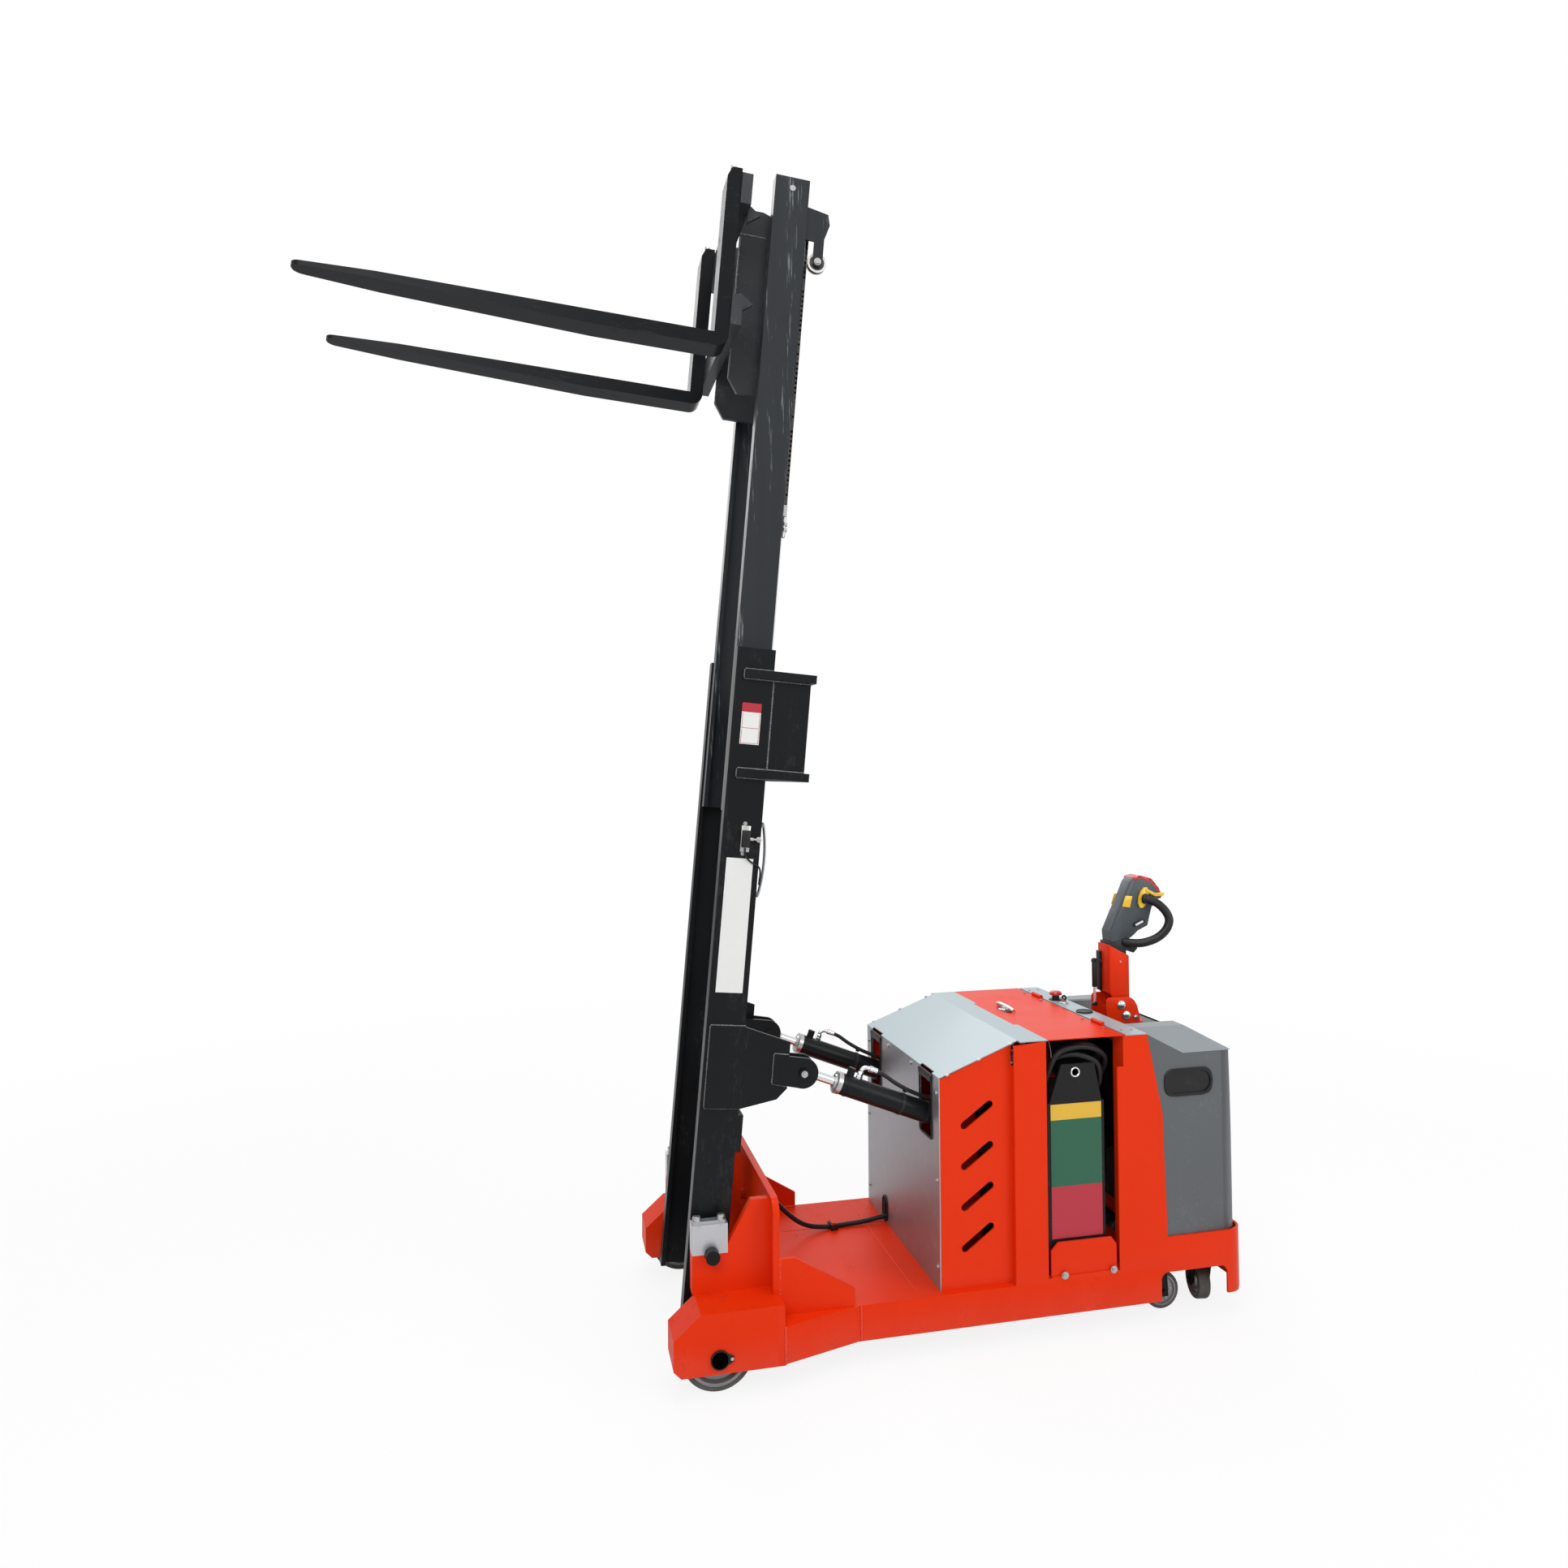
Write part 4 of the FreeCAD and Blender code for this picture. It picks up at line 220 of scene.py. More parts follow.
def make_grain_group():
    """A fine surface: orange peel in paint, rolling lines in sheet or texture in moulded plastic."""
    group, source, sink = new_group(
        "Fine Surface",
        [("Scale", "NodeSocketFloat", 300.0), ("Depth", "NodeSocketFloat", 0.2),
         ("Stretch", "NodeSocketVector", (1.0, 1.0, 1.0))],
        [("Height", "NodeSocketFloat"), ("Tone", "NodeSocketFloat")])
    add = adder(group)
    place = add("ShaderNodeTexCoord")
    spread = add("ShaderNodeVectorMath", [(place.outputs["Object"], 0), (source.outputs["Stretch"], 1)],
                 operation="MULTIPLY")
    grain = add("ShaderNodeTexNoise", [(spread.outputs[0], "Vector"), (source.outputs["Scale"], "Scale")],
                in_Detail=2.0, in_Roughness=0.5)
    height = add("ShaderNodeMath", [(grain.outputs[0], 0), (source.outputs["Depth"], 1)],
                 operation="MULTIPLY")
    wire(group, height.outputs[0], sink.inputs["Height"])
    wire(group, grain.outputs[0], sink.inputs["Tone"])
    return group


GROUPS = {}


def mixed(add, mask, low, high):
    """A colour mix of two colours or sockets by a mask."""
    blend = add("ShaderNodeMix", data_type="RGBA")
    blend.inputs[0].default_value = 0.5
    blend.id_data.links.new(mask, blend.inputs[0])
    for index, value in ((6, low), (7, high)):
        if isinstance(value, bpy.types.NodeSocket):
            blend.id_data.links.new(value, blend.inputs[index])
        else:
            blend.inputs[index].default_value = (*value, 1.0)
    return blend.outputs[2]


def finish(name, colour, rough=0.4, metal=0.0, coat=0.0, scuff=None, amount=0.0, scale=5.0, dust=0.0,
           dust_height=0.25, grain=300.0, depth=0.06, stretch=(1.0, 1.0, 1.0), spread=0.06,
           grain_stretch=(1.0, 1.0, 1.0), specular=0.5):
    """A procedural finish: base colour with variation, scuffs, dust, roughness and a fine bump."""
    material = bpy.data.materials.new(name)
    material.use_nodes = True
    tree = material.node_tree
    add = adder(tree)
    shader = tree.nodes["Principled BSDF"]
    shader.inputs["Metallic"].default_value = metal
    shader.inputs["Specular IOR Level"].default_value = specular
    shader.inputs["Coat Weight"].default_value = coat
    shader.inputs["Coat Roughness"].default_value = 0.12
    marks = add("ShaderNodeGroup")
    marks.node_tree = GROUPS["wear"]
    marks.inputs["Scale"].default_value = scale
    marks.inputs["Amount"].default_value = amount
    marks.inputs["Stretch"].default_value = stretch
    marks.inputs["Dust Height"].default_value = dust_height
    fine = add("ShaderNodeGroup")
    fine.node_tree = GROUPS["grain"]
    fine.inputs["Scale"].default_value = grain
    fine.inputs["Depth"].default_value = depth
    fine.inputs["Stretch"].default_value = grain_stretch
    dark = tuple(max(0.0, c * (1.0 - spread)) for c in colour)
    light = tuple(min(1.0, c * (1.0 + spread)) for c in colour)
    base = mixed(add, marks.outputs["Variation"], dark, light)
    worn = mixed(add, marks.outputs["Scuff"], base, scuff or light)
    dusty_mask = add("ShaderNodeMath", [(marks.outputs["Dust"], 0)], operation="MULTIPLY", in_1=dust,
                     use_clamp=True)
    dusty = mixed(add, dusty_mask.outputs[0], worn, (0.30, 0.28, 0.25))
    tree.links.new(dusty, shader.inputs["Base Color"])
    rougher = add("ShaderNodeMath", [(marks.outputs["Variation"], 0)], operation="MULTIPLY_ADD",
                  in_1=0.16, in_2=rough - 0.08)
    marked = add("ShaderNodeMath", [(marks.outputs["Scuff"], 0), (rougher.outputs[0], 2)],
                 operation="MULTIPLY_ADD", in_1=0.30, use_clamp=True)
    tree.links.new(marked.outputs[0], shader.inputs["Roughness"])
    bump = add("ShaderNodeBump", [(fine.outputs["Height"], "Height")], in_Strength=0.35, in_Distance=0.002)
    tree.links.new(bump.outputs[0], shader.inputs["Normal"])
    return material


MATERIALS = {}


def make_materials():
    """Every finish of the machine, by a plain name."""
    colours = bpy.context.scene.stacker_finish
    GROUPS["wear"] = make_wear_group()
    GROUPS["grain"] = make_grain_group()
    body, hood, cover = tuple(colours.body), tuple(colours.hood), tuple(colours.cover)
    mast, zinc, head = tuple(colours.mast), tuple(colours.zinc), tuple(colours.head)
    wear = colours.wear
    rows = {
        "body_paint": finish("Body Paint", body, 0.34, specular=0.12, scuff=(0.60, 0.05, 0.015),
            amount=wear * 0.5, dust=0.10, grain=420.0, spread=0.05),
        "edge_paint": finish("Rail Paint", body, 0.42, specular=0.10, scuff=(0.34, 0.03, 0.012),
            amount=wear, scale=9.0, dust=0.22, dust_height=0.16, spread=0.08),
        "hood_paint": finish("Hood Paint", hood, 0.38, coat=0.25, scuff=(0.42, 0.48, 0.52),
            amount=wear * 0.4, grain=520.0, spread=0.04),
        "zinc_sheet": finish("Zinc Sheet", zinc, 0.44, metal=0.75, scuff=(0.62, 0.64, 0.66), amount=0.35,
            scale=22.0, grain=90.0, depth=0.03, spread=0.14),
        "cap_steel": finish("Bearing Cap Steel", (0.50, 0.51, 0.53), 0.36, metal=0.85,
            scuff=(0.66, 0.66, 0.66), amount=0.4, scale=18.0, spread=0.10),
        "cover_paint": finish("Cover Paint", cover, 0.46, coat=0.05, specular=0.35,
            scuff=(0.20, 0.21, 0.22), amount=wear * 0.5, grain=380.0, spread=0.05),
        # A lighter copy of the cover paint for the cover's upward faces: painted light that stands for the lamp
        # light falling on its top, not a second paint.
        "cover_painted_top_light": finish("Cover Painted Top Light", tuple(min(1.0, c * 2.4) for c in cover), 0.42,
            specular=0.4, scuff=(0.34, 0.36, 0.38), amount=wear * 0.4, grain=380.0, spread=0.05),
        "cast_mass": finish("Cast Iron", (0.045, 0.045, 0.048), 0.7, scuff=(0.10, 0.09, 0.08), amount=0.4,
            grain=160.0, depth=0.35, spread=0.2),
        "mast_paint": finish("Mast Paint", mast, 0.34, specular=0.16, scuff=(0.030, 0.031, 0.034),
            amount=wear, scale=7.0, stretch=(1.0, 1.0, 0.35), spread=0.15),
        "slide_steel": finish("Rubbed Slide Steel", (0.014, 0.017, 0.020), 0.34, specular=0.30,
            scuff=(0.190, 0.210, 0.225), amount=0.95, scale=5.0, stretch=(3.0, 3.0, 0.12), spread=0.3,
            grain=260.0, depth=0.12, grain_stretch=(1.0, 1.0, 0.05)),
        "carriage_paint": finish("Carriage Paint", (0.026, 0.029, 0.032), 0.38, specular=0.3,
            scuff=(0.060, 0.062, 0.066), amount=0.5, scale=9.0, spread=0.2),
        "fork_paint": finish("Fork Paint", (0.0060, 0.0066, 0.0078), 0.36, specular=0.10,
            scuff=(0.024, 0.025, 0.027), amount=0.6, scale=8.0, stretch=(0.25, 1.0, 1.0), spread=0.2),
        "bright_steel": finish("Bright Steel", (0.68, 0.69, 0.70), 0.17, metal=1.0,
            scuff=(0.52, 0.52, 0.52), amount=0.3, scale=30.0, spread=0.04, depth=0.01),
        "bolt_steel": finish("Bolt Steel", (0.45, 0.45, 0.44), 0.33, metal=0.95, scuff=(0.30, 0.29, 0.26),
            amount=0.5, scale=60.0, spread=0.1),
        "chain_steel": finish("Oiled Chain Steel", (0.075, 0.072, 0.068), 0.30, metal=0.8,
            scuff=(0.30, 0.29, 0.27), amount=0.5, scale=40.0, spread=0.2),
        "weld_metal": finish("Weld Metal", (0.05, 0.052, 0.056), 0.26, specular=0.9,
            scuff=(0.50, 0.50, 0.50), amount=0.55, scale=50.0, spread=0.2, grain=200.0, depth=0.3),
        "weld_paint": finish("Painted Weld", body, 0.42, coat=0.2, grain=220.0, depth=0.3),
        "black_plastic": finish("Black Plastic", (0.010, 0.010, 0.011), 0.42, specular=0.28,
            scuff=(0.05, 0.05, 0.05), amount=0.3, scale=14.0, grain=900.0, depth=0.15, spread=0.1),
        "grey_plastic": finish("Grey Plastic", head, 0.44, scuff=(0.13, 0.14, 0.15), amount=0.25,
            scale=12.0, grain=900.0, depth=0.15),
        "red_plastic": finish("Red Plastic", (0.56, 0.014, 0.010), 0.28, coat=0.3, spread=0.04,
            depth=0.02),
        "yellow_plastic": finish("Yellow Plastic", (0.82, 0.50, 0.015), 0.32, coat=0.2, spread=0.04,
            depth=0.02),
        "hose_rubber": finish("Hose Rubber", (0.010, 0.010, 0.011), 0.48, specular=0.28,
            scuff=(0.05, 0.05, 0.05), amount=0.4, scale=30.0, grain=500.0, depth=0.3, spread=0.15),
        "tread": finish("Wheel Tread", (0.020, 0.019, 0.018), 0.58, scuff=(0.10, 0.095, 0.085),
            amount=0.8, scale=11.0, dust=0.5, dust_height=0.16, grain=240.0, depth=0.3, spread=0.2),
        "wheel_hub": finish("Wheel Hub", (0.26, 0.26, 0.27), 0.42, metal=0.6, scuff=(0.40, 0.40, 0.40),
            amount=0.4, scale=20.0, spread=0.15),
        "battery_black": finish("Battery Black", (0.008, 0.008, 0.009), 0.48, specular=0.2,
            scuff=(0.06, 0.06, 0.06), amount=0.4, scale=10.0, spread=0.12, grain=400.0, depth=0.2),
        "inner_dark": finish("Inner Dark Paint", (0.014, 0.012, 0.011), 0.55, specular=0.2, spread=0.2),
        "white_plate": finish("White Plate", (0.72, 0.72, 0.70), 0.34, scuff=(0.50, 0.50, 0.48),
            amount=0.25, scale=16.0, spread=0.03, depth=0.02),
        "red_plate": finish("Red Plate", (0.42, 0.016, 0.034), 0.34, spread=0.04, depth=0.02),
        "yellow_plate": finish("Yellow Plate", (0.70, 0.42, 0.03), 0.34, spread=0.03, depth=0.02),
        "green_plate": finish("Green Plate", (0.008, 0.098, 0.048), 0.34, spread=0.04, depth=0.02),
    }
    MATERIALS.update(rows)


# Mesh helpers. Every piece is built straight into a mesh with its place in it.

def face_outwards(mesh):
    """Turns every face of a closed mesh outwards."""
    mesh.normal_update()
    bmesh.ops.recalc_face_normals(mesh, faces=mesh.faces)


def piece(name, mesh, body, material, smooth=40.0, bevel=0.0, replaced=()):
    """Turns a bmesh or a mesh into a finished piece that rides on a body."""
    if isinstance(mesh, bmesh.types.BMesh):
        data = bpy.data.meshes.new(name)
        face_outwards(mesh)
        mesh.to_mesh(data)
        mesh.free()
    else:
        data = mesh
        data.name = name
    thing = bpy.data.objects.new(name, data)
    bpy.context.scene.collection.objects.link(thing)
    if bevel:
        soft = thing.modifiers.new("Edges", "BEVEL")
        soft.width = bevel
        soft.segments = 2
        soft.limit_method = "ANGLE"
        soft.angle_limit = math.radians(35)
        graph = bpy.context.evaluated_depsgraph_get()
        baked = bpy.data.meshes.new_from_object(thing.evaluated_get(graph))
        thing.modifiers.clear()
        thing.data = baked
        baked.name = name
    materials = material if isinstance(material, (list, tuple)) else [material]
    if not thing.data.materials or bevel:
        indices = [face.material_index for face in thing.data.polygons]
        thing.data.materials.clear()
        for key in materials:
            thing.data.materials.append(MATERIALS[key])
        thing.data.polygons.foreach_set("material_index", indices)
    thing.data.set_sharp_from_angle(angle=math.radians(smooth))
    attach(thing, body)
    if replaced:
        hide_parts(*replaced)
    return thing


def add_block(mesh, low, high, turn=None, material=0):
    """Adds a box between two corners; turn is a matrix put on it after."""
    corners = [
        Vector((x, y, z)) for x in (low[0], high[0]) for y in (low[1], high[1]) for z in (low[2], high[2])]
    spots = [mesh.verts.new(turn @ c if turn else c) for c in corners]
    for quad in ((0, 1, 3, 2), (4, 6, 7, 5), (0, 4, 5, 1), (2, 3, 7, 6), (0, 2, 6, 4), (1, 5, 7, 3)):
        mesh.faces.new([spots[i] for i in quad]).material_index = material
    return spots


def add_prism(mesh, outline, depth, material=0):
    """Adds a flat outline of points in space, thickened along the vector depth."""
    near = [mesh.verts.new(p) for p in outline]
    far = [mesh.verts.new(p + depth) for p in outline]
    count = len(outline)
    mesh.faces.new(near).material_index = material
    mesh.faces.new(list(reversed(far))).material_index = material
    for i in range(count):
        j = (i + 1) % count
        mesh.faces.new((near[i], near[j], far[j], far[i])).material_index = material


def across_axes(axis):
    """Two directions square to an axis."""
    axis = axis.normalized()
    helper = UPRIGHT if abs(axis.z) < 0.9 else Vector((1, 0, 0))
    first = axis.cross(helper).normalized()
    return first, axis.cross(first).normalized()


def add_turned(mesh, centre, axis, profile, around=28, material=0, closed=False):
    """Adds a turned shape: rows of (radius, along) round an axis; a radius of 0 closes to a point."""
    axis = axis.normalized()
    first, second = across_axes(axis)
    rings = []
    for radius, along in profile:
        middle = centre + axis * along
        if radius <= 1e-6:
            rings.append([mesh.verts.new(middle)])
            continue
        rings.append([
            mesh.verts.new(middle + first * (radius * math.cos(a)) + second * (radius * math.sin(a)))
            for a in (2 * math.pi * i / around for i in range(around))])
    pairs = list(zip(rings, rings[1:]))
    if closed:
        pairs.append((rings[-1], rings[0]))
    for low, high in pairs:
        for i in range(around):
            j = (i + 1) % around
            if len(low) == 1 and len(high) == 1:
                continue
            if len(low) == 1:
                face = mesh.faces.new((low[0], high[j], high[i]))
            elif len(high) == 1:
                face = mesh.faces.new((low[i], low[j], high[0]))
            else:
                face = mesh.faces.new((low[i], low[j], high[j], high[i]))
            face.material_index = material
    if not closed:
        for ring, flip in ((rings[0], True), (rings[-1], False)):
            if len(ring) > 1:
                mesh.faces.new(list(reversed(ring)) if flip else ring).material_index = material


def smooth_line(points, steps=8):
    """A smooth line of points through a few given ones."""
    points = [Vector(p) for p in points]
    line = []
    ends = [points[0] * 2 - points[1]] + points + [points[-1] * 2 - points[-2]]
    for i in range(1, len(ends) - 2):
        a, b, c, d = ends[i - 1:i + 3]
        for k in range(steps):
            t = k / steps
            line.append(0.5 * ((b * 2) + (c - a) * t + (a * 2 - b * 5 + c * 4 - d) * t * t
                               + (b * 3 - a - c * 3 + d) * t ** 3))
    line.append(points[-1])
    return line


def add_tube(mesh, line, radius, around=12, material=0, ripple=0.0, ripple_turns=0):
    """Adds a closed round tube along a line; ripple swells it along its length."""
    rings = []
    first = None
    for index, here in enumerate(line):
        ahead = line[min(index + 1, len(line) - 1)] - line[max(index - 1, 0)]
        ahead.normalize()
        if first is None:
            first, _ = across_axes(ahead)
        first = (first - ahead * first.dot(ahead)).normalized()
        second = ahead.cross(first)
        swell = radius * (1 + ripple * math.sin(2 * math.pi * ripple_turns * index / (len(line) - 1)))
        rings.append([
            mesh.verts.new(here + first * (swell * math.cos(a)) + second * (swell * math.sin(a)))
            for a in (2 * math.pi * i / around for i in range(around))])
    for low, high in zip(rings, rings[1:]):
        for i in range(around):
            j = (i + 1) % around
            mesh.faces.new((low[i], low[j], high[j], high[i])).material_index = material
    mesh.faces.new(list(reversed(rings[0]))).material_index = material
    mesh.faces.new(rings[-1]).material_index = material


# Geometry node trees for what repeats.

def new_tree(name, inputs):
    """An empty geometry tree with a geometry input, named sizes and a geometry output."""
    tree = bpy.data.node_groups.new(name, "GeometryNodeTree")
    tree.interface.new_socket(name="Geometry", in_out="INPUT", socket_type="NodeSocketGeometry")
    for label, kind, default in inputs:
        socket = tree.interface.new_socket(name=label, in_out="INPUT", socket_type=kind)
        if default is not None:
            socket.default_value = default
    tree.interface.new_socket(name="Geometry", in_out="OUTPUT", socket_type="NodeSocketGeometry")
    return tree, tree.nodes.new("NodeGroupInput"), tree.nodes.new("NodeGroupOutput")


def close_tree(tree, add, geometry, source, sink):
    """Every tree ends in Realize Instances and Set Material."""
    real = add("GeometryNodeRealizeInstances", [(geometry, 0)])
    coat = add("GeometryNodeSetMaterial", [(real.outputs[0], 0), (source.outputs["Material"], "Material")])
    tree.links.new(coat.outputs[0], sink.inputs[0])


def bolt_tree():
    """Places a hexagon or round head with a washer on each vertex, along its normal."""
    tree, source, sink = new_tree("Fasteners", [
        ("Head Radius", "NodeSocketFloat", 0.008), ("Head Height", "NodeSocketFloat", 0.005),
        ("Sides", "NodeSocketInt", 6), ("Washer", "NodeSocketFloat", 1.4),
        ("Material", "NodeSocketMaterial", None)])
    add = adder(tree)
    head = add("GeometryNodeMeshCylinder", [(source.outputs["Sides"], "Vertices"),
                                            (source.outputs["Head Radius"], "Radius"),
                                            (source.outputs["Head Height"], "Depth")])
    lift = add("ShaderNodeMath", [(source.outputs["Head Height"], 0)], operation="MULTIPLY", in_1=0.72)
    rise = add("ShaderNodeCombineXYZ", [(lift.outputs[0], 2)])
    head_up = add("GeometryNodeTransform", [(head.outputs[0], 0), (rise.outputs[0], "Translation")])
    wide = add("ShaderNodeMath", [(source.outputs["Head Radius"], 0), (source.outputs["Washer"], 1)],
               operation="MULTIPLY")
    thin = add("ShaderNodeMath", [(source.outputs["Head Height"], 0)], operation="MULTIPLY", in_1=0.45)
    washer = add("GeometryNodeMeshCylinder", [(wide.outputs[0], "Radius"), (thin.outputs[0], "Depth")],
                 in_Vertices=20)
    stack = add("GeometryNodeJoinGeometry", [(head_up.outputs[0], 0), (washer.outputs[0], 0)])
    outward = add("GeometryNodeInputNamedAttribute", data_type="FLOAT_VECTOR", in_Name="Facing")
    facing = add("FunctionNodeAlignRotationToVector", [(outward.outputs[0], "Vector")], axis="Z")
    points = add("GeometryNodeInstanceOnPoints", [
        (source.outputs["Geometry"], "Points"), (stack.outputs[0], "Instance"),
        (facing.outputs[0], "Rotation")])
    close_tree(tree, add, points.outputs[0], source, sink)
    return tree


def weld_tree():
    """Lays overlapping flattened drops along each edge, as a weld bead."""
    tree, source, sink = new_tree("Weld Bead", [
        ("Bead Radius", "NodeSocketFloat", 0.0035), ("Pitch", "NodeSocketFloat", 0.6),
        ("Seed", "NodeSocketInt", 7), ("Material", "NodeSocketMaterial", None)])
    add = adder(tree)
    line = add("GeometryNodeMeshToCurve", [(source.outputs["Geometry"], 0)])
    gap = add("ShaderNodeMath", [(source.outputs["Bead Radius"], 0), (source.outputs["Pitch"], 1)],
              operation="MULTIPLY")
    spots = add("GeometryNodeCurveToPoints", [(line.outputs[0], 0), (gap.outputs[0], "Length")],
                mode="LENGTH")
    drop = add("GeometryNodeMeshIcoSphere", [(source.outputs["Bead Radius"], "Radius")],
               in_Subdivisions=2)
    vary = add("FunctionNodeRandomValue", [(source.outputs["Seed"], "Seed")], data_type="FLOAT",
               in_2=0.8, in_3=1.1)
    drops = add("GeometryNodeInstanceOnPoints", [
        (spots.outputs[0], "Points"), (drop.outputs[0], "Instance"), (vary.outputs[1], "Scale")])
    close_tree(tree, add, drops.outputs[0], source, sink)
    return tree


def link_tree():
    """Places the plates and pins of a leaf chain along each edge, square to the Y direction."""
    tree, source, sink = new_tree("Leaf Chain", [
        ("Pitch", "NodeSocketFloat", 0.0159), ("Width", "NodeSocketFloat", 0.02),
        ("Material", "NodeSocketMaterial", None), ("Plate", "NodeSocketObject", None)])
    add = adder(tree)
    line = add("GeometryNodeMeshToCurve", [(source.outputs["Geometry"], 0)])
    spots = add("GeometryNodeCurveToPoints", [(line.outputs[0], 0), (source.outputs["Pitch"], "Length")],
                mode="LENGTH")
    model = add("GeometryNodeObjectInfo", [(source.outputs["Plate"], "Object")], transform_space="ORIGINAL")
    sideways = add("FunctionNodeAlignRotationToVector", [(spots.outputs["Tangent"], "Vector")], axis="Z")
    level = add("FunctionNodeAlignRotationToVector", [(sideways.outputs[0], "Rotation")], axis="Y",
                pivot_axis="Z")
    level.inputs["Vector"].default_value = (0.0, 1.0, 0.0)
    links = add("GeometryNodeInstanceOnPoints", [
        (spots.outputs[0], "Points"), (model.outputs["Geometry"], "Instance"),
        (level.outputs[0], "Rotation")])
    close_tree(tree, add, links.outputs[0], source, sink)
    return tree


TREES = {}


def grown(name, guide, tree, values, body, material, smooth=35.0):
    """Runs a geometry tree on a guide mesh and keeps the result as a plain piece on one body."""
    holder = bpy.data.objects.new(name + "_guide", guide)
    bpy.context.scene.collection.objects.link(holder)
    work = holder.modifiers.new("Grow", "NODES")
    work.node_group = TREES[tree]
    names = {
        item.name: item.identifier for item in TREES[tree].interface.items_tree
        if item.in_out == "INPUT" and item.name != "Geometry"}
    for key, value in {**values, "Material": MATERIALS[material]}.items():
        work[names[key]] = value
    graph = bpy.context.evaluated_depsgraph_get()
    mesh = bpy.data.meshes.new_from_object(holder.evaluated_get(graph))
    bpy.data.objects.remove(holder)
    thing = bpy.data.objects.new(name, mesh)
    mesh.name = name
    bpy.context.scene.collection.objects.link(thing)
    mesh.set_sharp_from_angle(angle=math.radians(smooth))
    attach(thing, body)
    return thing


def bolts(name, places, body, material="bolt_steel", radius=None, sides=6, washer=1.35, height=None):
    """Bolts or screws at (place, outward direction) pairs."""
    radius = radius or bpy.context.scene.stacker_fittings.bolt
    height = height or radius * 0.7
    guide = bpy.data.meshes.new(name)
    guide.from_pydata([tuple(spot) for spot, _ in places], [], [])
    facing = guide.attributes.new("Facing", "FLOAT_VECTOR", "POINT")
    for index, (_, direction) in enumerate(places):
        facing.data[index].vector = Vector(direction).normalized()
    return grown(name, guide, "bolts", {
        "Head Radius": radius, "Head Height": height, "Sides": sides, "Washer": washer},
        body, material)


def welds(name, lines, body, material="weld_metal", radius=None):
    """Weld beads along lines of points."""
    guide = bpy.data.meshes.new(name)
    points, edges = [], []
    for line in lines:
        start = len(points)
        points += [tuple(p) for p in line]
        edges += [(i, i + 1) for i in range(start, len(points) - 1)]
    guide.from_pydata(points, edges, [])
    return grown(name, guide, "welds", {
        "Bead Radius": radius or bpy.context.scene.stacker_fittings.weld}, body, material)


# Stage.

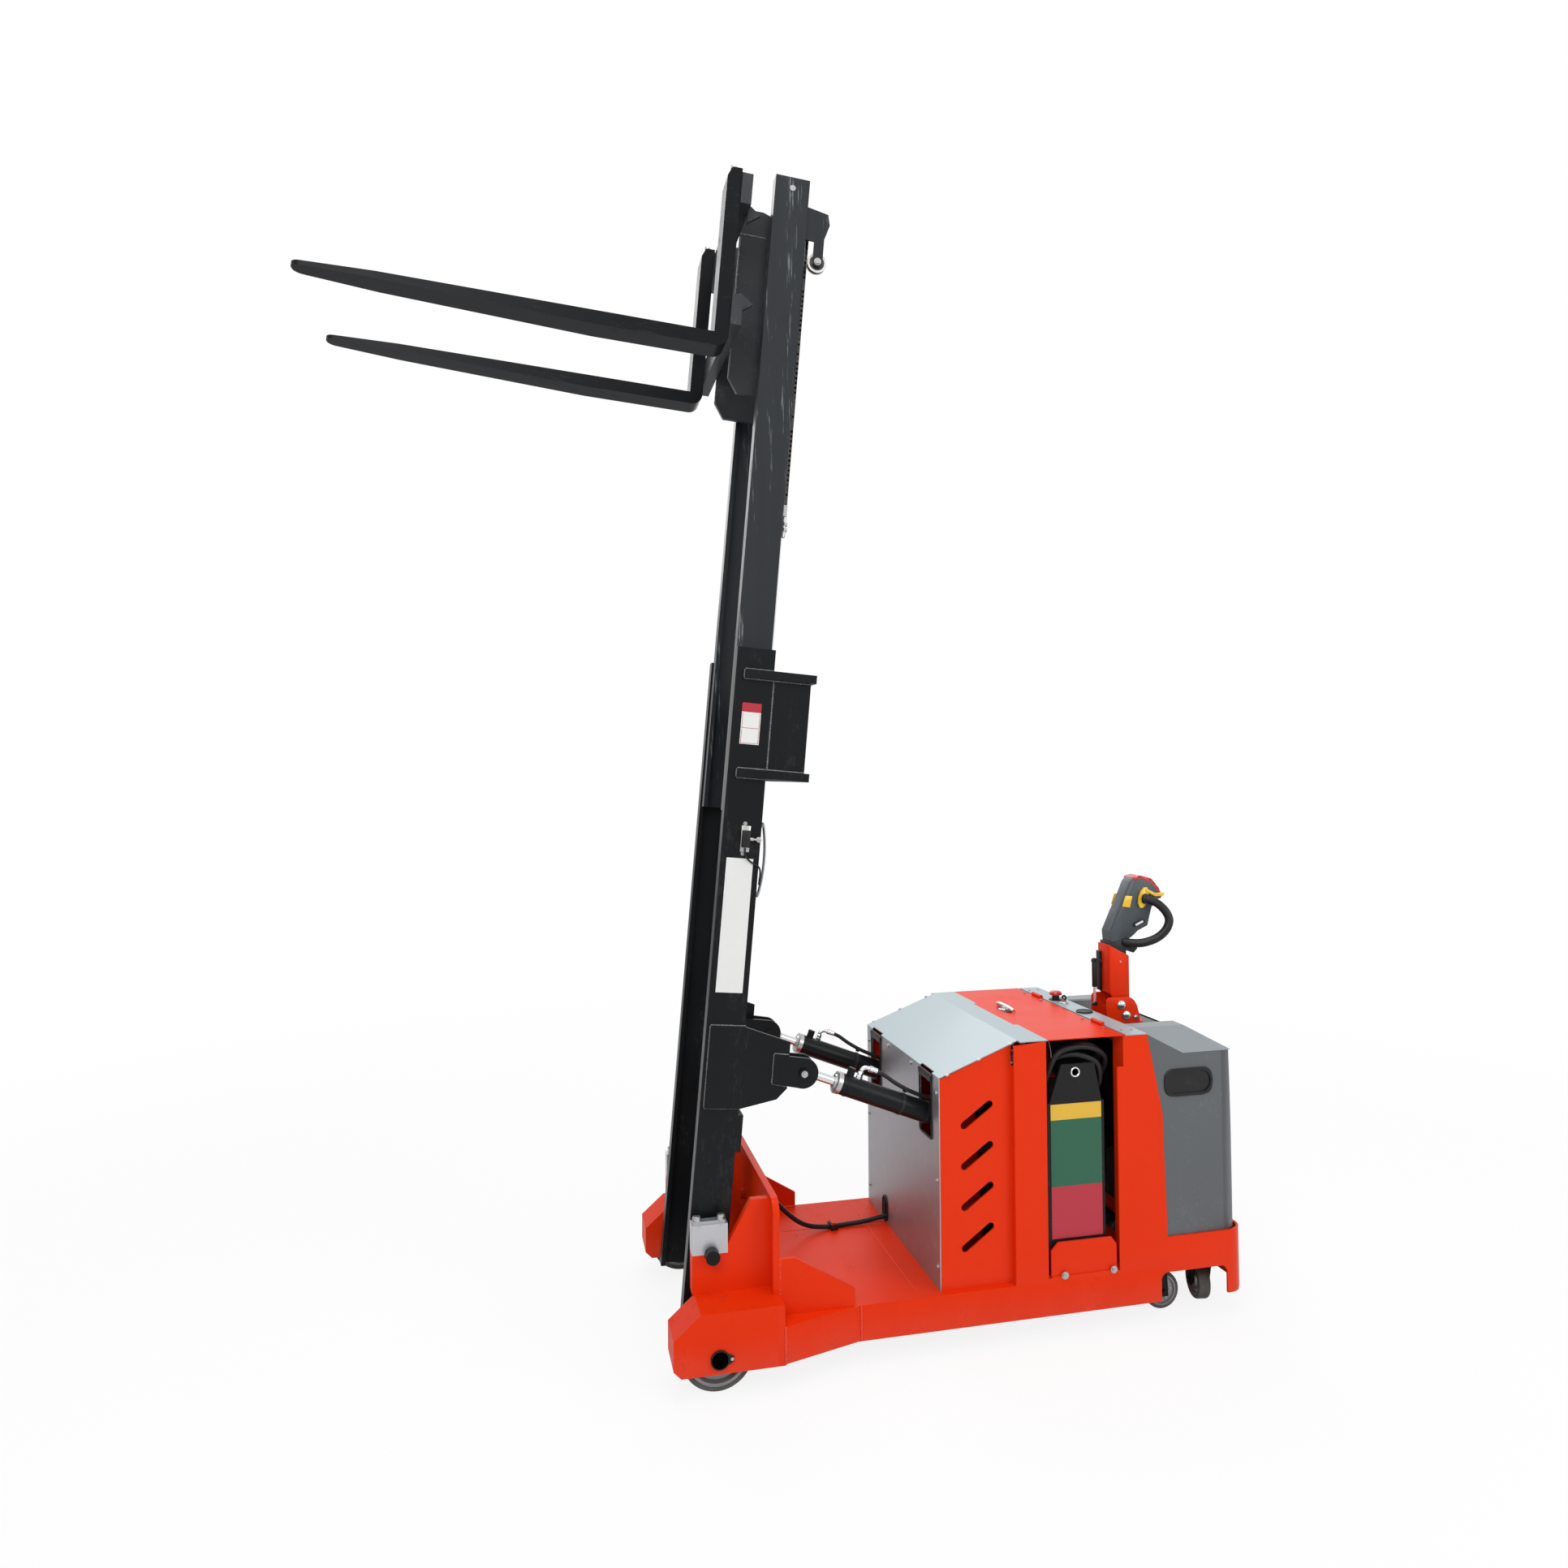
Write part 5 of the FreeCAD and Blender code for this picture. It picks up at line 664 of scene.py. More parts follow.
def build_stage():
    """Floor, lamps, world and the camera at the photograph's angle."""
    stage = bpy.context.scene.stacker_stage
    scene = bpy.context.scene
    ground = bpy.data.meshes.new("Floor")
    reach = 40.0
    ground.from_pydata([(-reach, -reach, 0), (reach, -reach, 0), (reach, reach, 0), (-reach, reach, 0)], [],
                       [(0, 1, 2, 3)])
    floor = bpy.data.objects.new("Floor", ground)
    scene.collection.objects.link(floor)
    pale = bpy.data.materials.new("Pale Floor")
    pale.use_nodes = True
    tree = pale.node_tree
    add = adder(tree)
    shader = tree.nodes["Principled BSDF"]
    shader.inputs["Base Color"].default_value = (*stage.floor, 1.0)
    shader.inputs["Roughness"].default_value = 0.85
    glow = add("ShaderNodeEmission", in_Color=(1.0, 1.0, 1.0, 1.0), in_Strength=1.0)
    path = add("ShaderNodeLightPath")
    spot = add("ShaderNodeTexCoord")
    away = add("ShaderNodeVectorMath", [(spot.outputs["Object"], 0)], operation="LENGTH")
    fade = add("ShaderNodeMapRange", [(away.outputs["Value"], "Value")], interpolation_type="SMOOTHSTEP")
    for label, amount in (("From Min", 1.6), ("From Max", 6.0), ("To Min", 0.86), ("To Max", 1.0)):
        fade.inputs[label].default_value = amount
    shade = add("ShaderNodeMixShader", [(fade.outputs[0], 0)])
    tree.links.new(shader.outputs[0], shade.inputs[1])
    tree.links.new(glow.outputs[0], shade.inputs[2])
    pick = add("ShaderNodeMixShader", [(path.outputs["Is Camera Ray"], 0)])
    tree.links.new(shader.outputs[0], pick.inputs[1])
    tree.links.new(shade.outputs[0], pick.inputs[2])
    tree.links.new(pick.outputs[0], tree.nodes["Material Output"].inputs["Surface"])
    ground.materials.append(pale)

    world = scene.world or bpy.data.worlds.new("Studio")
    scene.world = world
    world.use_nodes = True
    sky = world.node_tree
    sky.nodes.clear()
    add = adder(sky)
    soft = add("ShaderNodeBackground", in_Color=(0.95, 0.97, 1.0, 1.0), in_Strength=0.42)
    white = add("ShaderNodeBackground", in_Color=(1.0, 1.0, 1.0, 1.0), in_Strength=1.0)
    path = add("ShaderNodeLightPath")
    seen = add("ShaderNodeMath", [(path.outputs["Is Camera Ray"], 0),
                                  (path.outputs["Is Transmission Ray"], 1)], operation="MAXIMUM")
    gloss = add("ShaderNodeMath", [(path.outputs["Is Glossy Ray"], 0), (seen.outputs[0], 1)],
                operation="MAXIMUM")
    pick = add("ShaderNodeMixShader", [(gloss.outputs[0], 0)])
    sky.links.new(soft.outputs[0], pick.inputs[1])
    sky.links.new(white.outputs[0], pick.inputs[2])
    out = add("ShaderNodeOutputWorld")
    sky.links.new(pick.outputs[0], out.inputs[0])

    rows = (
        ("Key", (-2.6, -5.2, 5.4), 3.4, stage.lamp, (0.0, 0.0, 1.2)),
        ("Fill", (4.2, -4.6, 3.0), 3.0, stage.lamp * 0.5, (0.0, 0.0, 1.0)),
        ("Top", (0.4, -0.4, 6.4), 3.6, stage.lamp * 0.7, (0.0, 0.0, 0.0)),
        ("Back", (0.5, 4.6, 5.0), 4.0, stage.lamp * 0.5, (0.0, 0.0, 1.6)))
    for name, spot, width, power, aim in rows:
        lamp = bpy.data.lights.new(name, "AREA")
        lamp.energy = power
        lamp.size = width
        item = bpy.data.objects.new(name, lamp)
        item.location = spot
        item.rotation_euler = (Vector(aim) - Vector(spot)).to_track_quat("-Z", "Y").to_euler()
        scene.collection.objects.link(item)

    camera = bpy.data.cameras.new("Camera")
    camera.lens = stage.lens
    camera.sensor_width = 36.0
    camera.sensor_fit = "HORIZONTAL"
    camera.shift_x = -0.0153
    camera.shift_y = -0.0320
    camera.clip_end = 200.0
    azimuth, pitch, roll = (math.radians(v) for v in (13.81, 2.065, -0.319))
    ahead = Vector((math.sin(azimuth) * math.cos(pitch), math.cos(azimuth) * math.cos(pitch),
                    math.sin(pitch)))
    right = Vector((math.cos(azimuth), -math.sin(azimuth), 0.0))
    up = right.cross(ahead)
    right_turned = right * math.cos(roll) + up * math.sin(roll)
    up_turned = up * math.cos(roll) - right * math.sin(roll)
    holder = bpy.data.objects.new("Camera", camera)
    turn = Matrix((right_turned, up_turned, -ahead)).transposed().to_4x4()
    holder.matrix_world = Matrix.Translation((FRONT - 0.680, -3.630, 1.756)) @ turn
    scene.collection.objects.link(holder)
    scene.camera = holder
    scene.view_settings.view_transform = "Standard"


def dress_nodes():
    """Gives every carried-over solid its finish."""
    finishes = {
        "body_paint": (
            "bulkhead", "mast_pedestals", "side_frame_left", "side_frame_right", "side_panel_left",
            "side_panel_right", "battery_lid", "rear_skirt", "battery_retainers", "tilt_anchors"),
        "edge_paint": ("base_frame", "leg_left", "leg_right", "rear_shelf"),
        "hood_paint": ("hood_sheet", "console_panel"),
        "zinc_sheet": ("front_panel",),
        "cap_steel": ("bearing_caps",),
        "inner_dark": ("front_axles",),
        "cast_mass": ("counterweight_block", "drive_unit", "pump_unit"),
        "mast_paint": (
            "outer_mast", "tilt_brackets", "upper_bracket", "lift_cylinders", "tilt_barrel_left",
            "tilt_barrel_right", "caster_fork_front_left", "caster_fork_front_right",
            "caster_fork_rear_left", "caster_fork_rear_right"),
        "slide_steel": ("inner_mast",),
        "carriage_paint": ("carriage",),
        "fork_paint": ("fork_left", "fork_right"),
        "battery_black": ("battery",),
        "bright_steel": ("lift_rods", "tilt_rod_left", "tilt_rod_right", "lid_latch"),
        "chain_steel": ("chains", "chain_pulleys"),
        "black_plastic": ("grip_rims", "limit_switch", "gas_spring", "tiller_handles"),
        "grey_plastic": ("tiller_head",),
        "red_plastic": ("console_controls",),
        "hose_rubber": ("deck_hose",),
        "tread": (
            "front_wheel_left", "front_wheel_right", "drive_wheel", "caster_wheel_front_left",
            "caster_wheel_front_right", "caster_wheel_rear_left", "caster_wheel_rear_right"),
    }
    for key, names in finishes.items():
        for name in names:
            mesh = NODES[name].data
            mesh.materials.clear()
            mesh.materials.append(MATERIALS[key])
            mesh.set_sharp_from_angle(angle=math.radians(32))


class STACKER_OT_stage(Operator):
    """Lays the floor, the lamps, the world and the camera."""
    bl_idname = "stacker.stage"
    bl_label = "Stage"

    def execute(self, context):
        build_stage()
        return {"FINISHED"}


class STACKER_OT_finishes(Operator):
    """Makes the finishes and puts them on the solid model's parts."""
    bl_idname = "stacker.finishes"
    bl_label = "Finishes"

    def execute(self, context):
        make_materials()
        TREES.update(bolts=bolt_tree(), welds=weld_tree(), links=link_tree())
        dress_nodes()
        return {"FINISHED"}


# Chassis pieces.

def tiny_plate(mesh, corners, outward, thick, material=0):
    """A thin plate on a surface, from the four corners on it."""
    add_prism(mesh, [Vector(c) for c in corners], outward * thick, material)


def side_rect(back_low, back_high, height_low, height_high, across):
    """Corners of an upright rectangle on the machine's left side."""
    return [at(back_low, across, height_low), at(back_high, across, height_low),
            at(back_high, across, height_high), at(back_low, across, height_high)]


def build_chassis_fittings():
    """Welds, bolts, axle caps and bearing bolts of the chassis and its panels."""
    painted = []
    for side in (-1, 1):
        painted.append([at(0.024, side * 0.386, 0.1755), at(0.245, side * 0.386, 0.1755)])
        painted.append([at(0.0215, side * 0.397, 0.17), at(0.0215, side * 0.397, 0.334)])
        painted.append([at(0.0215, side * 0.471, 0.07), at(0.0215, side * 0.471, 0.172)])
        painted.append([at(0.268, side * 0.4005, 0.076), at(0.268, side * 0.4005, 0.170)])
    painted.append([at(0.024, -0.375, 0.1745), at(0.024, 0.375, 0.1745)])
    welds("frame_welds", painted, "chassis", "weld_paint", 0.0036)
    seams = [[at(0.03, 0.18, 0.1732), at(0.52, 0.18, 0.1732)],
             [at(0.455, -0.36, 0.1732), at(0.455, 0.36, 0.1732)]]
    welds("deck_seams", seams, "chassis", "weld_paint", 0.0016)

    caps = bmesh.new()
    for side in (-1, 1):
        centre = at(-0.169, side * 0.4705, 0.106)
        out = Vector((0, side, 0))
        add_turned(caps, centre, out, [(0.0265, 0), (0.0265, 0.0045), (0.0235, 0.0068), (0.0, 0.0068)], 40)
        add_turned(caps, centre + out * 0.0068 + Vector((0.010, 0, 0)), out,
                   [(0.0055, -0.001), (0.0055, 0.003), (0.003, 0.004), (0.003, 0.0065), (0.0, 0.0075)], 16, 1)
    axle_low, axle_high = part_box("front_axles")
    for vert in caps.verts:
        vert.co.y = max(axle_low.y, min(axle_high.y, vert.co.y))
    piece("axle_caps", caps, "chassis", ["black_plastic", "bolt_steel"])

    cap_low, cap_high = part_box("bearing_caps")
    places = []
    for side in (-1, 1):
        mid = side * (cap_high.y - 0.025)
        for x in (cap_low.x + 0.014, cap_high.x - 0.014):
            places.append((Vector((x, mid, cap_high.z - 0.004)), UPRIGHT))
    bolts("bearing_bolts", places, "chassis", radius=0.0085, height=0.0048, washer=1.25)
    plugs = bmesh.new()
    for side in (-1, 1):
        face = side * (cap_high.y + 0.0002)
        for spot in (cap_low.x + 0.020, cap_high.x - 0.020):
            add_turned(plugs, Vector((spot, face, cap_high.z - 0.020)), Vector((0, side, 0)),
                       [(0.0045, 0.0), (0.0045, 0.0012), (0.0, 0.0016)], 14)
    piece("bearing_plugs", plugs, "chassis", "bolt_steel")

    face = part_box("front_panel")[0].x - 0.0004
    screws = []
    for side in (-1, 1):
        for height in (0.240, 0.501, 0.767):
            screws.append((Vector((face, side * 0.356, height)), Vector((-1, 0, 0))))
    screws += [(Vector((face, y, 0.802)), Vector((-1, 0, 0))) for y in (-0.12, 0.12)]
    bolts("panel_screws", screws, "chassis", radius=0.0062, sides=18, washer=1.5, height=0.004)

    foot, crest = at(0.527, 0, 0.816), at(0.788, 0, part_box("hood_sheet")[1].z)
    slope = (crest - foot).normalized()
    outward = Vector((-slope.z, 0, slope.x))
    screws = []
    for side in (-1, 1):
        for share in (0.10, 0.50, 0.90):
            spot = foot + ACROSS * (side * 0.384) + (crest - foot) * share
            screws.append((spot + outward * 0.0005, outward))
    bolts("hood_screws", screws, "chassis", radius=0.0048, sides=18, washer=1.3, height=0.003)


def ring_trim(mesh, loop, outward, width, thick, material=0):
    """A flat raised rim that follows a closed loop on a face."""
    middle = sum(loop, Vector()) / len(loop)
    outer = []
    for point in loop:
        away = point - middle
        away -= outward * away.dot(outward)
        outer.append(point + away.normalized() * width)
    count = len(loop)
    rows = [[mesh.verts.new(p) for p in ring] for ring in (
        loop, [p + outward * thick for p in loop], [p + outward * thick for p in outer], outer)]
    for low, high in zip(rows, rows[1:] + rows[:1]):
        for i in range(count):
            j = (i + 1) % count
            mesh.faces.new((low[i], low[j], high[j], high[i])).material_index = material


def rounded_loop(centre, first, second, half_a, half_b, radius, steps=5):
    """Points of a rectangle with round corners round a centre, in the plane of two directions."""
    points = []
    for sign_a, sign_b, start in ((1, 1, 0), (-1, 1, 90), (-1, -1, 180), (1, -1, 270)):
        for k in range(steps + 1):
            angle = math.radians(start + 90 * k / steps)
            a = sign_a * (half_a - radius) + radius * math.cos(angle)
            b = sign_b * (half_b - radius) + radius * math.sin(angle)
            points.append(centre + first * a + second * b)
    return points


def build_panel_trim():
    """Rubber rims at the tilt slots and at the hose slot of the front panel."""
    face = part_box("front_panel")[0].x
    out = Vector((-1, 0, 0))
    mesh = bmesh.new()
    for side in (-1, 1):
        middle = Vector((face, side * TILT_SIDE, (0.614 + 0.812) / 2))
        ring_trim(mesh, rounded_loop(middle, ACROSS, UPRIGHT, 0.0535, 0.097, 0.012), out, 0.006, 0.0045)
        flare = Vector((face - 0.001, side * TILT_SIDE, 0.800))
        for k in range(9):
            lean = (k - 4) / 4.0
            add_block(mesh, (-0.0055, -0.0062, -0.010), (0.0005, 0.0062, 0.013),
                      Matrix.Translation(flare + Vector((0, lean * 0.050, 0.002 * (1 - lean * lean))))
                      @ Matrix.Rotation(-0.25 * lean, 4, "X"))
    slot = Vector((face, 0.170, (0.183 + 0.261) / 2))
    ring_trim(mesh, rounded_loop(slot, ACROSS, UPRIGHT, 0.0225, 0.0385, 0.0215), out, 0.006, 0.005)
    piece("slot_rims", mesh, "chassis", "hose_rubber", bevel=0.0008)

    mesh = bmesh.new()
    add_turned(mesh, at(0.0285, 0.055, 0.362), out, [
        (0.0105, -0.018), (0.0105, -0.006), (0.0150, -0.006), (0.0150, 0.0), (0.0086, 0.0), (0.0086, -0.018)],
        6, closed=True)
    piece("hose_nut", mesh, "chassis", "bolt_steel", smooth=20)


def build_battery():
    """Battery fittings seen through the side openings: bare bands, eye rings, loom and retainer bolts."""
    mesh = bmesh.new()
    thick = bpy.context.scene.stacker_fittings.plate
    for side in (-1, 1):
        face = side * 0.3784
        out = Vector((0, side, 0))
        for index, (low, high) in enumerate(((0.660, 0.709), (0.453, 0.660), (0.292, 0.453))):
            tiny_plate(mesh, side_rect(0.899, 1.074, low, high, face), out, thick, index)
    piece("battery_bands", mesh, "chassis", ["yellow_plate", "green_plate", "red_plate"])

    mesh = bmesh.new()
    spot = (0.888 + 1.084) / 2
    for side in (-1, 1):
        add_turned(mesh, at(spot, side * 0.3695, 0.806), Vector((0, side, 0)), [
            (0.0112, 0.0), (0.0112, 0.0100), (0.0126, 0.0112), (0.0150, 0.0112), (0.0162, 0.0100),
            (0.0162, 0.0)], 32, closed=True)
    piece("eye_rings", mesh, "chassis", "bright_steel")

    mesh = bmesh.new()
    radius = bpy.context.scene.stacker_fittings.cable
    for side in (-1, 1):
        runs = (
            ((0.905, 0.30, 0.713), (0.897, 0.352, 0.782), (0.925, 0.372, 0.862), (0.990, 0.376, 0.884),
             (1.060, 0.370, 0.872), (1.106, 0.350, 0.832), (1.112, 0.30, 0.76)),
            ((0.930, 0.26, 0.713), (0.912, 0.330, 0.80), (0.950, 0.352, 0.868), (1.030, 0.354, 0.886),
             (1.092, 0.335, 0.852), (1.100, 0.27, 0.78)),
            ((1.060, 0.28, 0.713), (1.082, 0.346, 0.752), (1.066, 0.372, 0.826), (0.996, 0.368, 0.858),
             (0.934, 0.350, 0.846), (0.905, 0.30, 0.80)))
        for run in runs:
            line = smooth_line([at(a, side * b, c) for a, b, c in run], 10)
            add_tube(mesh, line, radius, 12)
    piece("battery_loom", mesh, "chassis", "hose_rubber", smooth=60)

    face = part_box("battery_retainers")[1].y + 0.0002
    places = [(at(back, side * face, 0.188), Vector((0, side, 0)))
              for side in (-1, 1) for back in (0.930, 1.098)]
    bolts("retainer_bolts", places, "chassis", radius=0.0078, washer=1.5, height=0.005)

    mesh = bmesh.new()
    for row in range(4):
        for column in range(3):
            centre = at(0.925 + column * 0.060, -0.255 + row * 0.170, 0.7124)
            add_turned(mesh, centre, UPRIGHT, [
                (0.0175, 0.0), (0.0175, 0.005), (0.0155, 0.0075), (0.0060, 0.0075), (0.0060, 0.0105),
                (0.0, 0.0105)], 20)
    piece("cell_caps", mesh, "chassis", "red_plastic")


class STACKER_OT_chassis_fittings(Operator):
    """Adds the welds, screws, axle caps and bearing bolts of the chassis."""
    bl_idname = "stacker.chassis_fittings"
    bl_label = "Chassis fittings"

    def execute(self, context):
        build_chassis_fittings()
        build_panel_trim()
        return {"FINISHED"}


class STACKER_OT_battery(Operator):
    """Adds the battery's bands, eye rings, loom, caps and retainer bolts."""
    bl_idname = "stacker.battery"
    bl_label = "Battery"

    def execute(self, context):
        build_battery()
        return {"FINISHED"}


# Lid and console.

def build_lid_fittings():
    """Latch handle on its disc and the screws of the lid."""
    low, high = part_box("lid_latch")
    centre = Vector(((low.x + high.x) / 2, (low.y + high.y) / 2, low.z))
    mesh = bmesh.new()
    cup = rounded_loop(centre + Vector((0, -0.008, 0)), ACROSS, Vector((1, 0, 0)), 0.050, 0.021, 0.020, 6)
    add_prism(mesh, cup, Vector((0, 0, 0.0016)))
    piece("latch_cup", mesh, "lid", "black_plastic", bevel=0.0006)
    mesh = bmesh.new()
    add_turned(mesh, centre, UPRIGHT, [
        (0.0230, 0.0017), (0.0230, 0.0026), (0.0215, 0.0036), (0.0170, 0.0036), (0.0160, 0.0024),
        (0.0120, 0.0024), (0.0115, 0.0095), (0.0, 0.0100)], 40)
    span = (high.y - low.y) / 2 - 0.002
    line = smooth_line([centre + Vector((0.002, -span, 0.0075)), centre + Vector((0, -span * 0.6, 0.0120)),
                        centre + Vector((0, span * 0.6, 0.0120)), centre + Vector((0.002, span, 0.0075))], 6)
    add_tube(mesh, line, 0.0066, 16)
    piece("latch_handle", mesh, "lid", "bright_steel", smooth=50, replaced=("lid_latch",))

    places = [(at(1.128, y, 0.9203), UPRIGHT) for y in (-0.30, -0.16, 0.16, 0.30)]
    bolts("hinge_screws", places, "lid", radius=0.0042, sides=18, washer=1.2, height=0.0024)


def build_console():
    """Mushroom stop, key switch and charge meter on the console strip."""
    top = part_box("console_panel")[1].z
    mesh = bmesh.new()
    middle = 1.187
    stop = at(middle, 0.160, top)
    add_turned(mesh, stop, UPRIGHT, [
        (0.0240, 0.0), (0.0240, 0.003), (0.0215, 0.0042), (0.0135, 0.0042), (0.0130, 0.017)], 32, 3)
    add_turned(mesh, stop + Vector((0, 0, 0.017)), UPRIGHT, [
        (0.0130, 0.0), (0.0210, 0.0015), (0.0228, 0.0050), (0.0222, 0.0100), (0.0180, 0.0142),
        (0.0090, 0.0158), (0.0, 0.0160)], 36, 0)
    key = at(middle, 0.092, top)
    add_turned(mesh, key, UPRIGHT, [
        (0.0150, 0.0), (0.0150, 0.0035), (0.0125, 0.0060), (0.0085, 0.0060), (0.0080, 0.0045),
        (0.0, 0.0045)], 28, 2)
    add_block(mesh, (-0.0012, -0.0085, 0.004), (0.0012, 0.0085, 0.016),
              Matrix.Translation(key) @ Matrix.Rotation(0.5, 4, "Z"), 2)
    add_turned(mesh, key + Vector((0, 0, 0.0205)), Vector((1, 0.5, 0)), [
        (0.0100, -0.0012), (0.0100, 0.0012), (0.0040, 0.0012), (0.0040, -0.0012)], 24, 3, closed=True)
    meter = at(middle, -0.06, top)
    add_turned(mesh, meter, UPRIGHT, [
        (0.0290, 0.0), (0.0290, 0.0040), (0.0270, 0.0055), (0.0250, 0.0055), (0.0245, 0.0040),
        (0.0, 0.0040)], 40, 3)
    piece("console_switches", mesh, "chassis",
          ["red_plastic", "yellow_plate", "bolt_steel", "black_plastic"], replaced=("console_controls",))

    places = [(at(middle + shift, y, top + 0.0002), UPRIGHT)
              for y in (-0.345, 0.345) for shift in (-0.018, 0.018)]
    bolts("console_screws", places, "chassis", radius=0.0042, sides=18, washer=1.25,
          height=0.0024)


def build_grips():
    """Soft rims and dark pockets of the hand holes in the cover."""
    low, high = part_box("grip_rims")
    mesh = bmesh.new()
    middle_x, middle_z = (low.x + high.x) / 2, (low.z + high.z) / 2
    half_a, half_b = (high.x - low.x) / 2, (high.z - low.z) / 2
    for side in (-1, 1):
        face = Vector((middle_x, side * (high.y - 0.0045), middle_z))
        out = Vector((0, side, 0))
        rows = []
        for inset, lift, radius in ((0.0, 0.0, 0.030), (0.0012, 0.0032, 0.029), (0.0045, 0.0044, 0.026),
                                    (0.0085, 0.0030, 0.0225), (0.0095, -0.004, 0.022), (0.0100, -0.016, 0.022)):
            loop = rounded_loop(face + out * lift, Vector((1, 0, 0)), UPRIGHT,
                                half_a - inset, half_b - inset, radius, 7)
            rows.append([mesh.verts.new(p) for p in loop])
        count = len(rows[0])
        for first, second in zip(rows, rows[1:]):
            for i in range(count):
                j = (i + 1) % count
                mesh.faces.new((first[i], first[j], second[j], second[i]))
        mesh.faces.new(rows[0])
        mesh.faces.new(rows[-1])
    piece("grip_surrounds", mesh, "chassis", "black_plastic", smooth=60)


class STACKER_OT_lid_and_console(Operator):
    """Adds the lid's latch, the console's switches and the rims of the hand holes."""
    bl_idname = "stacker.lid_and_console"
    bl_label = "Lid and console"

    def execute(self, context):
        build_lid_fittings()
        build_console()
        build_grips()
        return {"FINISHED"}


# Mast.

def mast_rect(rear_low, rear_high, up_low, up_high, across):
    """Corners of a rectangle on the side of the leaning mast."""
    return [on_mast(rear_low, across, up_low), on_mast(rear_high, across, up_low),
            on_mast(rear_high, across, up_high), on_mast(rear_low, across, up_high)]


def build_mast_plates():
    """Bare white plate and the small red-headed plate on the left channel."""
    thick = bpy.context.scene.stacker_fittings.plate
    out = Vector((0, -1, 0))
    mesh = bmesh.new()
    tiny_plate(mesh, mast_rect(-0.043, 0.040, 0.751, 1.158, -CHANNEL_FACE), out, thick)
    piece("bare_plate", mesh, "mast", "white_plate")
    mesh = bmesh.new()
    tiny_plate(mesh, mast_rect(-0.033, 0.027, 1.507, 1.634, -CHANNEL_FACE), out, thick)
    tiny_plate(mesh, mast_rect(-0.033, 0.027, 1.606, 1.634, -CHANNEL_FACE), out, thick * 1.6, 1)
    for low, high in ((1.5095, 1.552), (1.556, 1.603)):
        tiny_plate(mesh, mast_rect(-0.0305, -0.0292, low, high, -CHANNEL_FACE), out, thick * 1.5, 1)
        tiny_plate(mesh, mast_rect(0.0232, 0.0245, low, high, -CHANNEL_FACE), out, thick * 1.5, 1)
        tiny_plate(mesh, mast_rect(-0.0305, 0.0245, low, low + 0.0013, -CHANNEL_FACE), out, thick * 1.5, 1)
    piece("notice_plate", mesh, "mast", ["white_plate", "red_plate"])


def build_mast_welds():
    """Weld beads of the tilt brackets, clevises and the upper bracket."""
    beads = []
    for side in (-1, 1):
        plate_in = side * BRACKET_FACE
        plate_out = side * CLEVIS_FACE
        beads.append([on_mast(-0.047, plate_in, 0.6525), on_mast(0.056, plate_in, 0.6525)])
        beads.append([on_mast(-0.047, plate_in, 0.4055), on_mast(0.056, plate_in, 0.4055)])
        beads.append([on_mast(-0.0495, plate_in, 0.410), on_mast(-0.0495, plate_in, 0.648)])
        beads.append([on_mast(0.154, plate_out, 0.5745), on_mast(0.196, plate_out, 0.5720)])
        beads.append([on_mast(0.1515, plate_out, 0.487), on_mast(0.1515, plate_out, 0.571)])
        beads.append([on_mast(0.154, plate_out, 0.4835), on_mast(0.196, plate_out, 0.4780)])
        for level in (1.4035, 1.4325, 1.7095, 1.7385):
            beads.append([on_mast(-0.031, plate_in, level), on_mast(0.056, plate_in, level)])
        beads.append([on_mast(-0.0345, plate_in, 1.407), on_mast(-0.0345, plate_in, 1.429)])
        beads.append([on_mast(-0.0345, plate_in, 1.713), on_mast(-0.0345, plate_in, 1.735)])
        for level in (1.4325, 1.7095):
            beads.append([on_mast(0.060, plate_in, level), on_mast(0.174, plate_in, level)])
        beads.append([on_mast(0.0595, side * 0.2785, 1.436), on_mast(0.0595, side * 0.2785, 1.706)])
    welds("mast_welds", beads, "mast", "weld_metal")
    places = [(on_mast(0.247, side * 0.3125, 0.519), Vector((0, side, 0))) for side in (-1, 1)]
    bolts("eye_pin_bolts", places, "mast", radius=0.006, washer=1.7, height=0.004)


